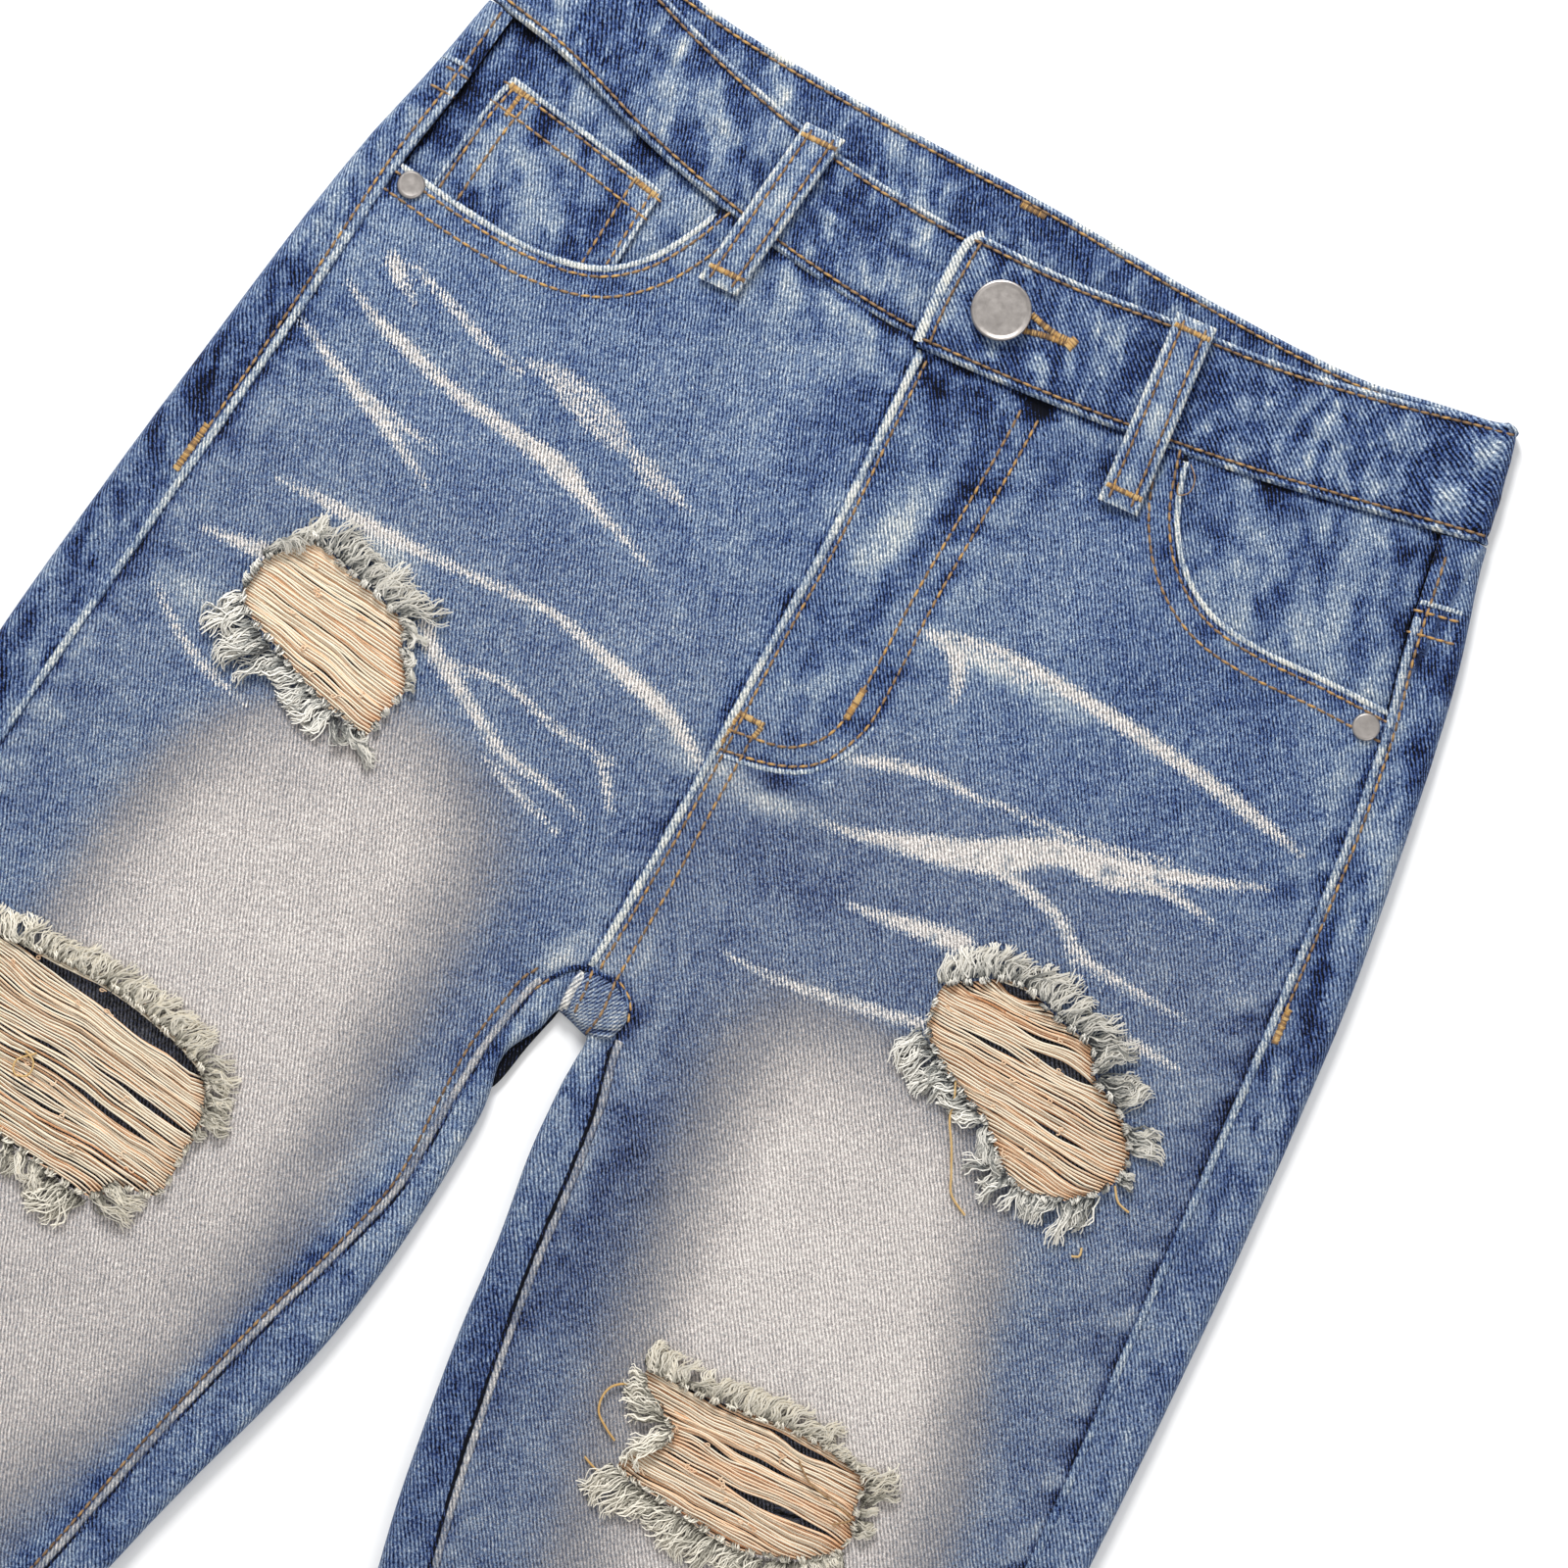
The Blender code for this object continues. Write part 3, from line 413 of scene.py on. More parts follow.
# bleached streaks: each a line of x, y and width
WHISKERS = (
    ((-146, 157, 1), (-130, 152, 2.2), (-120, 149, 2), (-106, 146, 0.6)),
    ((-154, 157, 1), (-150, 154, 4.5), (-147, 150, 1)),
    ((-106, 149.4, 0.6), (-98, 149.2, 1.4), (-90, 146.5, 1.6), (-84, 143.6, 0.5)),
    ((-160, 144, 0.6), (-150, 139.5, 2), (-140, 137, 3.6), (-120, 132.5, 3), (-100, 130.3, 4),
     (-85, 129, 6), (-78, 127, 5), (-70, 124, 3), (-60, 121, 1.8), (-47, 117, 0.4)),
    ((-168, 129, 0.5), (-150, 121.5, 3), (-140, 118, 3.6), (-130, 114, 3.2), (-113, 106, 0.5)),
    ((-150, 121.5, 1), (-132, 118, 1.6), (-114, 115, 0.3)),
    ((-150, 87.3, 0.6), (-130, 88, 3.5), (-115, 88.2, 4.6), (-104, 89.2, 2.6), (-90, 90.5, 2.2),
     (-65, 92.5, 2.6), (-50, 90, 3.2), (-40, 88, 4.6), (-29, 86, 5), (-18.5, 82.3, 4), (-8, 76.5, 2)),
    ((-161, 64.5, 0.5), (-152, 66, 2.8), (-143, 67.5, 5)),
    ((-96, 75, 3), (-90, 68, 4.5), (-80, 63, 4), (-70, 58, 3.2), (-60, 53, 3), (-50, 51, 2.4),
     (-40, 50.5, 1.8), (-29, 47, 0.4)),
    ((-86, 66, 1), (-65, 69, 1.6), (-50, 65.5, 1.8), (-40, 65.5, 1.4), (-29, 65, 0.6)),
    ((-36, 65, 0.6), (-28, 59, 2.4), (-24, 53, 0.5)),
    ((-62, 49, 0.5), (-50, 45, 2), (-32, 40, 0.4)),
    ((-165, 45, 0.6), (-152, 36, 1.8), (-140, 31, 2), (-126, 28, 0.4)),
    ((27, 98.5, 1), (33, 101.5, 2.8), (40, 104, 3), (50, 106.5, 2.4), (60, 107, 1.6), (67, 107.5, 0.4)),
    ((29, 79.5, 0.6), (40, 82, 3), (50, 85.6, 5), (60, 88.8, 7.5), (70, 92.8, 9), (78, 97, 10),
     (85, 102.6, 8.5), (92, 106, 7), (100, 108.3, 5.5), (108, 111, 5), (120, 115.5, 4),
     (130, 119, 3), (137, 122, 1.8), (146, 126, 0.4)),
    ((90, 105, 4), (100, 105.5, 5.5), (108, 106.5, 4.5), (116, 110, 4), (127, 111, 2.2), (137, 109.5, 0.4)),
    ((70, 91, 2), (80, 92.5, 3), (90, 91.5, 3), (98, 90, 2.6), (104, 87, 2.6), (109, 81, 1.5)),
    ((100, 88, 1.6), (112, 83, 2.8), (120, 82.5, 2.6), (132, 82.5, 1.6), (143, 82.5, 0.4)),
    ((66, 108.5, 0.4), (84, 110, 1.4), (100, 113, 1.5), (119, 119, 0.4)),
    ((46, 63.5, 0.5), (55, 65, 2.5), (66, 67.5, 4.5), (80, 70, 6)),
    ((128, 70, 1), (138, 70, 2.6), (150, 69.5, 0.5)),
    ((24, 34.5, 0.5), (36, 35.5, 1.4), (45, 36.5, 2), (65, 41, 2.8), (81, 45, 3)),
    ((32, 142.5, 1), (50, 145.6, 3), (70, 145.6, 3.8), (90, 145, 4), (110, 143.6, 3.8), (130, 141.4, 3.6),
     (149, 138.6, 1)),
    ((28, 140, 1.4), (36, 139.5, 4), (41, 135, 4), (43.5, 127, 1.2)),
)
# half-bleached streaks, through which the blue still shows
SCUFFS = (
    ((-106, 149.5, 0.6), (-98.4, 150.3, 5), (-92, 149, 8), (-84, 147, 9), (-77, 145, 8.5), (-71.5, 143, 4.5)),
    ((-69, 142.3, 2), (-64, 140.8, 4.5), (-58, 139, 5), (-51, 137.5, 3), (-46.5, 136.5, 0.5)),
    ((-152, 155, 4), (-146, 151, 3), (-141, 148, 1)),
    ((37, 141, 2), (45, 141.4, 3), (58, 142, 2)),
)
WHISKER_DEPTH = 9.0
SCUFF_DEPTH = 0.05
NO_STREAK = -6.0       # what whisker_field gives well outside every streak
# soft paler patches, or deeper ones below zero: x, y, half width, half height, lean in degrees, strength;
# those of the waistband
BAND_PATCHES = (
    (-26, 219, 16, 6, 4, 0.28), (-9, 221, 7, 8, 0, 0.20), (72, 251, 8, 4, 10, 0.20),
    (88, 233, 6, 8, 20, 0.18), (106, 237, 7, 5, 10, 0.18), (-152, 228, 5, 8, 20, 0.20),
    (-29, 247, 12, 4, 0, -0.14), (148, 234, 4, 6, 0, -0.14), (143, 250, 2.5, 6, 0, 0.14),
)
# and those of the panels. Some deeper ones are painted shade: in the hollows beside the fly, in the folds
# below the waistband and round the crotch fold; some paler ones near the crotch are painted highlights along
# soft folds
PATCHES = (
    (-38, -69, 18, 4, 66, 0.12), (-31, -40, 12, 3.5, 80, 0.10), (-4, 24, 8, 10, 0, 0.09),
    (14, 6, 5, 8, 0, 0.09), (172, 16, 5, 18, 0, 0.10), (151, 163, 6, 12, 0, 0.08),
    (163, 104, 6, 26, 0, -0.08), (-171, 103, 6, 20, 0, -0.07), (-171, 149, 5, 10, 0, -0.06),
    (-113, 83, 14, 5, -14, 0.12), (-126, 90, 16, 4, -10, 0.08), (-157, 47.5, 11, 3.6, 0, 0.22),
    (62, 141, 26, 3.0, 2, 0.20), (45, 141, 15, 3.6, 6, 0.22), (-10, 156, 5, 9, 0, 0.14),
    (7, 160, 5, 19, -8, 0.40), (0, 152, 3, 9, -12, 0.10), (-3, 186, 8, 3, 10, 0.10), (8, 193, 7, 3, 15, 0.08),
    (6, 110, 3, 5, -20, 0.24), (15, 121, 3.5, 7, -15, 0.24), (2, 137, 3, 8, -10, -0.10),
    (10, 89.5, 8, 3.6, 8, 0.30), (23, 123, 3, 6, 0, 0.10), (-4, 201, 8, 5, 0, -0.16),
    (15, 172, 4, 17, -8, -0.20), (13, 138, 4, 14, -8, -0.14), (-7, 122, 3, 9, -5, 0.08),
    (37, 190, 3, 20, -7, -0.16), (46, 176, 6, 20, -10, -0.05), (33, 160, 5, 20, -6, 0.08),
    (10.6, 4, 2.2, 5.5, 10, -0.24), (-14.5, 15, 2.4, 9, -22, 0.24), (5, 24, 2, 6, 12, 0.22),
    (-10.5, 30, 3, 8, -14, 0.14), (-2, 78, 16, 4.5, 6, 0.27), (15, 77, 12, 3.2, 14, 0.30),
    (-30, 84, 22, 7, -20, 0.08), (-96, 114, 30, 9, -8, -0.04), (-114, 84, 9, 3.4, -14, 0.20),
    (-138, 71, 7, 2.8, -20, 0.16), (-92, 32, 3.4, 5, -30, 0.20), (36, 64, 18, 8, 0, -0.06),
    (-30, 196, 14, 9, 20, 0.09), (-45, 205, 22, 3, 2, 0.16), (-22, 206, 10, 3, 0, 0.10),
    (-60, 200, 9, 6, 0, 0.08), (30, 202, 18, 7, 8, -0.13), (-100, 200, 26, 6, -4, 0.08),
    (-140, 196, 14, 8, 0, 0.05), (110, 207, 20, 8, 0, 0.06), (-30, -60, 9, 20, 0, 0.10),
    (30, -20, 9, 16, 10, -0.08), (24, -75, 9, 34, 8, -0.08), (-36, -120, 9, 36, 12, -0.09),
    (13, 60, 14, 30, 0, -0.05), (8, 196, 10, 10, 0, -0.14), (-23, 179, 9, 22, -18, -0.14),
    (-50, 178, 18, 26, 0, 0.03), (31, 122, 5, 10, 0, 0.10), (27, 97, 5, 6, 20, 0.20),
    (-7, 187, 4, 8, 0, -0.12), (-19, 158, 5, 12, -10, -0.10), (-18, 31, 6, 6, 0, 0.10),
    (-15, 3, 3, 5, 0, 0.14), (0, 17, 4, 3, 0, 0.14), (-21, -47, 6, 12, 0, 0.16),
    (-21, -91, 6, 10, 0, 0.16), (21, -94, 7, 14, 0, -0.14), (26, -34, 4, 16, 8, -0.12),
    (18, 2, 2.6, 20, 6, 0.11), (20, -38, 1.8, 20, 12.5, 0.14), (12.3, 8, 3, 6, 10, -0.10),
    (108, 165, 36, 42, 0, -0.085), (34, -62, 7, 26, 6, -0.10), (148, -6, 20, 24, 0, 0.05),
    # the last patch of this line and the first three of the next are painted shadow beside the lower ends of
    # the belt loops
    (149, 158, 3, 16, 6, 0.16), (-108, 16, 14, 10, 30, -0.05), (48.5, 206, 3, 8, 0, -0.20),
    (56, 193.8, 7, 2.2, 0, -0.16), (-57.5, 203, 2.6, 8, 0, -0.16), (-66, 190.4, 7, 2.2, 0, -0.16),
    (105, 112, 40, 14, 0, -0.02), (-150, 20, 16, 40, 0, 0.03), (158, -20, 12, 50, 0, -0.02),
    (12, 83, 6, 3, 20, -0.3),
)
# the faded stretch of each thigh: its inner and outer edge, and how pale it is
FADE = {
    -1: Table(("y", "inner", "outer", "pale"), (
        (58, 80, 96, 0.0), (42, 63, 106, 0.48), (24, 53, 124, 0.90), (0, 50, 134, 1.02),
        (-40, 49, 139, 1.02), (-100, 47, 148, 0.92), (-150, 58, 154, 0.92), (-200, 77, 158, 0.86),
        (-270, 94, 162, 0.78), (-340, 107, 168, 0.60), (-430, 120, 176, 0.30), (-540, 140, 184, 0.0),
    )),
    1: Table(("y", "inner", "outer", "pale"), (
        (44, 58, 82, 0.0), (30, 51, 100, 0.56), (12, 46, 120, 1.00), (-20, 50, 133, 1.12),
        (-50, 55, 145, 1.10), (-90, 65, 155, 1.00), (-130, 76, 160, 0.92), (-200, 88, 164, 0.82),
        (-270, 98, 168, 0.76), (-340, 109, 174, 0.58), (-430, 122, 182, 0.30), (-540, 142, 190, 0.0),
    )),
}
BASE_WASH = 0.37
PALE_WASH = 0.82


def fade_edges(x, y):
    """The inner and outer edge of the faded stretch, and how pale it is."""
    return [both(FADE, column, x, y) for column in ("inner", "outer", "pale")]


def fade(x, y):
    """0 in the blue to 1 in the palest part of a thigh."""
    soft = 40 + 12 * uneven(x, y, 26, 3)
    out = np.abs(x)
    inner, outer, pale = fade_edges(x, y)
    across = smooth((out - inner) / soft + 0.5) * smooth((outer - out) / soft + 0.5)
    return pale * across


def fade_halo(x, y):
    """1 round the faded stretch of a thigh, where the blue is greyer, to 0 away from it."""
    out = np.abs(x)
    inner, outer, pale = fade_edges(x, y)
    return smooth((out - inner + 30) / 24) * smooth((outer + 18 - out) / 20) * smooth(pale * 2)


def whisker_field(x, y):
    """How far inside a bleached streak a point is, in mm; below zero outside."""
    field = np.full(np.shape(x), NO_STREAK)
    for row, deepest in [(row, WHISKER_DEPTH) for row in WHISKERS] + [(row, SCUFF_DEPTH) for row in SCUFFS]:
        line = curve(row, 4.0)
        low, high = line.min(0) - 9, line.max(0) + 9
        hit = (x > low[0]) & (x < high[0]) & (y > low[1]) & (y < high[1])
        if not hit.any():
            continue
        gap, run = nearest(x[hit], y[hit], line)[:2]
        depth = np.minimum(np.interp(run, along(line), line[:, 2]) / 2 - np.abs(gap), deepest)
        field[hit] = np.maximum(field[hit], depth)
    return field


def patches(x, y, rows=PATCHES):
    """Change of wash, and of painted shade and highlight, by all the soft patches of a table."""
    total = 0.0
    for px, py, wide, high, lean, strength in rows:
        c, s = math.cos(math.radians(lean)), math.sin(math.radians(lean))
        a, b = (x - px) * c + (y - py) * s, -(x - px) * s + (y - py) * c
        ragged = 1 + 0.35 * uneven(x, y, 6, 9)
        total = total + strength * np.exp(-((a / wide) ** 2 + (b / high) ** 2) * ragged)
    return total


def front_looks(x, y):
    """Relief in mm, wash with painted shade, and warmth of anything on the front."""
    x, y = np.asarray(x, float), np.asarray(y, float)
    relief, seams = seam_effects(x, y, PUCKERS)
    pale = fade(x, y)
    wash_and_shade = BASE_WASH + (PALE_WASH - BASE_WASH) * pale
    wash_and_shade = wash_and_shade + (1 - pale) * (0.035 * uneven(x, y * 0.6, 34, 1) + 0.03 * uneven(x, y * 0.35, 8, 2))
    wash_and_shade = wash_and_shade + seams * (1 - 0.55 * pale) + patches(x, y)
    in_fly = smooth((x + 14) / 4) * smooth((28 - x) / 5) * smooth((y - 84) / 8)
    wash_and_shade = wash_and_shade + in_fly * (0.12 * np.tanh(2.2 * uneven(x + y * 0.15, y * 0.35, 5.5, 21)) - 0.05)
    relief = relief + 0.35 * uneven(x, y, 38, 41) + 0.14 * uneven(x, y, 13, 42)
    on_fly = smooth((27.5 - x) / 3) * smooth((x + 14) / 2) * smooth((y - 82) / 5)
    under_band = np.where(x < -16, BAND_RIGHT.read("low_y", x), BAND_LEFT.read("low_y", x)) - y
    # painted shadow in a narrow band just below the waistband's lower edge
    wash_and_shade = wash_and_shade - 0.16 * hump(np.maximum(under_band, 0), 0, 2.4)
    wash_and_shade = wash_and_shade - 0.05 * on_fly * smooth((y - 150) / 30)
    greyer = 0.22 * smooth((150 - y) / 60) + 0.34 * fade_halo(x, y)
    greyer = greyer + 0.13 * smooth((x + 12) / 16) * smooth((120 - y) / 30)
    beside = -x - INNER[-1].read("seam", y) - 4.8 - 1.8 * uneven(x, y, 9, 23)
    dark_edge = hump(beside, 0, 3.2) * smooth((-45 - y) / 30)
    wash_and_shade = wash_and_shade - 0.10 * dark_edge
    greyer = greyer - 0.5 * dark_edge
    return relief + 0.35 * on_fly, wash_and_shade, np.clip(pale * 1.25 + greyer, 0, 1) - 0.16 * on_fly


def front_top(x, y):
    """The outer surface of the front, with its puckers."""
    return front_mid(x, y) + DENIM / 2 + front_looks(x, y)[0]


# ---------------------------------------------------------------- meshes


def grid_faces(rows, columns, around=False):
    """Quads of a grid of points, row by row; around joins the last column to the first."""
    r = np.arange(rows - 1)[:, None]
    c = np.arange(columns if around else columns - 1)[None, :]
    after = (c + 1) % columns
    low, high = r * columns, (r + 1) * columns
    return np.stack([low + c, low + after, high + after, high + c], -1).reshape(-1, 4).tolist()


def flipped(faces):
    return [face[::-1] for face in faces]


def tube_faces(rows, columns):
    """Quads round a tube of points, with a cap on each end."""
    last = (rows - 1) * columns
    caps = [list(range(columns))[::-1], list(range(last, last + columns))]
    return grid_faces(rows, columns, around=True) + caps


def compact(faces):
    """The points that faces use, and the same faces counted in those points."""
    used = sorted({i for face in faces for i in face})
    place = {old: new for new, old in enumerate(used)}
    return used, [[place[i] for i in face] for face in faces]


def free_edges(faces):
    """Directed edges that only one face has."""
    edges = {}
    for face in faces:
        for a, b in zip(face, face[1:] + face[:1]):
            if (b, a) in edges:
                del edges[b, a]
            else:
                edges[a, b] = True
    return list(edges)


def thick(points, faces, inward):
    """A closed wall: the surface, its copy moved inward, and a rim along every free edge."""
    count = len(points)
    inner = [[i + count for i in reversed(face)] for face in faces]
    rim = [[b, a, a + count, b + count] for a, b in free_edges(faces)]
    return np.vstack([points, points + inward]), faces + inner + rim


def weave_of(x, y, degrees):
    """Coordinates across and along the wales, in mm; degrees is the way the wales run."""
    c, s = np.cos(np.radians(degrees)), np.sin(np.radians(degrees))
    return np.stack([-x * s + y * c, x * c + y * s], -1)


class Sheet:
    """Surfaces gathered into one mesh, each point with its place in the weave and its washes and painted
    shade.
    """

    def __init__(self):
        self.points, self.weave, self.faces = [], [], []
        self.marks = {"wash_and_shade": [], "whisk": [], "warm": []}
        self.count = 0

    def add(self, points, faces, weave, wash_and_shade, whisk=NO_STREAK, warm=0.0, layers=1):
        """layers is 2 where the marks are given for one side of a wall only."""
        self.faces += [[i + self.count for i in face] for face in faces]
        self.points.append(points)
        self.weave.append(np.tile(weave, (layers, 1)))
        for key, values in (("wash_and_shade", wash_and_shade), ("whisk", whisk), ("warm", warm)):
            self.marks[key].append(np.tile(np.broadcast_to(values, len(weave)), layers))
        self.count += len(points)

    def finish(self, name, node, **facts):
        """A laid piece of denim in place of a solid; facts, its flat size and area in metres and what it
        rests on, are not used."""
        marks = {key: np.concatenate(values) for key, values in self.marks.items()}
        made = piece(name, np.vstack(self.points), self.faces, DENIM_LOOK, (node,),
                     np.vstack(self.weave), marks)


def in_scene(name, data):
    """A new object of this name in the scene."""
    made = bpy.data.objects.new(name, data)
    bpy.context.scene.collection.objects.link(made)
    return made


def piece(name, points, faces, material, nodes=(), weave=None, marks=None, sharp=50):
    """A mesh object from drafting points in mm, which rides on the one body."""
    mesh = bpy.data.meshes.new(name)
    points = np.asarray(points, float) * MM + SHIFT
    points[:, 2] = np.maximum(points[:, 2], 0 if weave is None else CLOTH_CLEAR)
    mesh.from_pydata(points.tolist(), [], faces)
    if weave is not None:
        layer = mesh.uv_layers.new(name="weave")
        index = np.empty(len(mesh.loops), np.int32)
        mesh.loops.foreach_get("vertex_index", index)
        layer.data.foreach_set("uv", np.asarray(weave, np.float32)[index].ravel())
    for key, values in (marks or {}).items():
        mark = mesh.attributes.new(key, "FLOAT", "POINT")
        mark.data.foreach_set("value", np.asarray(values, np.float32).ravel())
    mesh.validate()
    mesh.shade_smooth()
    mesh.set_sharp_from_angle(angle=math.radians(sharp))
    mesh.materials.append(material)
    made = in_scene(name, mesh)
    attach(made, "root")
    if nodes:
        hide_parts(*nodes)
    return made


def lattice_rows(low, high, pitch, near_y):
    """y of the lattice rows: at the pitch above near_y, further apart below it."""
    near = np.arange(max(low, near_y), high + pitch, pitch)
    if low >= near_y:
        return near
    return np.concatenate([np.arange(low, near_y - FAR_PITCH / 2, FAR_PITCH), near])


SNAP = 0.56            # points nearer to the outline than this share of the pitch move onto it


def trimmed(outline, holes, pitch):
    """A lattice over an outline with holes, its border points set on the outline."""
    low, high = outline.min(0), outline.max(0)
    near_y = NEAR_Y[1 if outline[:, 0].mean() > 0 else -1]
    ys = lattice_rows(low[1] - pitch, high[1] + pitch, pitch, near_y)
    xs = np.arange(low[0] - pitch, high[0] + 2 * pitch, pitch)
    gx, gy = np.meshgrid(xs, ys)
    within = inside(gx, gy, outline)
    gap, _, snap_x, snap_y = nearest(gx, gy, outline, closed=True)
    gap = np.abs(gap)
    for hole in holes:
        within &= ~inside(gx, gy, hole)
        hole_gap, _, hole_x, hole_y = nearest(gx, gy, hole, closed=True)
        closer = np.abs(hole_gap) < gap
        gap = np.where(closer, np.abs(hole_gap), gap)
        snap_x, snap_y = np.where(closer, hole_x, snap_x), np.where(closer, hole_y, snap_y)
    step = np.minimum(pitch, np.gradient(ys))[:, None]
    snapped = gap < SNAP * step
    gx, gy = np.where(snapped, snap_x, gx), np.where(snapped, snap_y, gy)
    kept, firm = within | snapped, within & ~snapped
    corners = ((0, 0), (0, 1), (1, 1), (1, 0))
    rows, columns = gx.shape
    cut = [(slice(a, rows - 1 + a), slice(b, columns - 1 + b)) for a, b in corners]
    solid = (sum(kept[c].astype(int) for c in cut) >= 3) & (sum(firm[c].astype(int) for c in cut) > 0)
    faces = []
    for r, c in zip(*np.nonzero(solid)):
        faces.append([(r + a) * columns + c + b for a, b in corners if kept[r + a, c + b]])
    used, faces = compact(faces)
    return gx.ravel()[used], gy.ravel()[used], faces


RIDGE_STEP = 1.1
ROPE = 3.4             # length of one twist of a roped edge
RIDGE = ((-0.5, -0.45), (-0.48, 0.1), (-0.3, 0.72), (0, 1.0), (0.3, 0.72), (0.48, 0.1), (0.5, -0.45))


def add_ridge(sheet, line, base, width, height, lean, seed, worn=0.74, warm=0.0):
    """A roped, worn edge along a line: a closed strip with a round top. A low worn value makes it a dark
    strip, used as painted shade in seam gaps.
    """
    line = even(np.asarray(line, float), RIDGE_STEP)
    side, run = normals(line), along(line)
    rope = 0.5 + 0.5 * np.sin(run * 2 * math.pi / ROPE + 3 * uneven(run, 0, 9, seed))
    wide = width * (1 + 0.22 * uneven(run, 2, 6, seed) + 0.10 * rope)
    high = height * (0.85 + 0.22 * rope + 0.3 * uneven(run, 5, 8, seed))
    ends = smooth(run / 3) * smooth((run[-1] - run) / 3)
    z = base(line[:, 0], line[:, 1])
    rows = []
    for across, up in RIDGE:
        rows.append(np.column_stack([line[:, :2] + side * (wide * across)[:, None], z + high * up * ends]))
    points = np.stack(rows, 1)
    count = len(RIDGE)
    faces = flipped(tube_faces(len(line), count))
    points = points.reshape(-1, 3)
    top = np.tile([max(0.0, up) for _, up in RIDGE], len(line))
    patchy = np.tanh(2.0 * (uneven(run, 8, 9, seed + 3) + 0.6 * uneven(run, 3, 3.5, seed + 4)))
    worn = worn(line[:, 1]) if callable(worn) else worn
    wear = np.repeat(worn + 0.10 * (rope - 0.5) + 0.15 * patchy, count)
    wash_and_shade = 0.24 + (wear - 0.24) * smooth(top * 1.2)
    sheet.add(points, faces, weave_of(points[:, 0], points[:, 1], lean), wash_and_shade, warm=warm)


def level(height, spot):
    """The height at these points; height is a function of x and y, or a number."""
    return height(spot[:, 0], spot[:, 1]) if callable(height) else np.full(len(spot), float(height))


def tubes(paths, radius, sides):
    """Round strands of equal point count: points, faces, and which strand and place each point has."""
    strands, length = paths.shape[:2]
    way = np.gradient(paths, axis=1)
    way /= np.maximum(np.linalg.norm(way, axis=2, keepdims=True), 1e-9)
    side = np.cross(way, (0.0, 0.0, 1.0))
    side = np.where(np.linalg.norm(side, axis=2, keepdims=True) < 0.05, (1.0, 0.0, 0.0), side)
    side /= np.linalg.norm(side, axis=2, keepdims=True)
    over = np.cross(side, way)
    angle = 2 * math.pi * np.arange(sides) / sides
    ring = (side[:, :, None] * np.cos(angle)[:, None] + over[:, :, None] * np.sin(angle)[:, None])
    points = paths[:, :, None] + ring * radius[:, :, None, None]
    one = tube_faces(length, sides)
    faces = []
    for strand in range(strands):
        first = strand * length * sides
        faces += [[i + first for i in face] for face in one]
    index = np.arange(strands * length * sides) // sides
    return points.reshape(-1, 3), faces, index


# one stitch and one strand of a bar tack, as (place along it, sink or lift) at five points
STITCH = ((-0.5, 0.42), (-0.34, 0.10), (0, -0.05), (0.34, 0.10), (0.5, 0.42))
SATIN = ((-1, -0.25), (-0.7, 0.2), (0, 0.42), (0.7, 0.2), (1, -0.25))


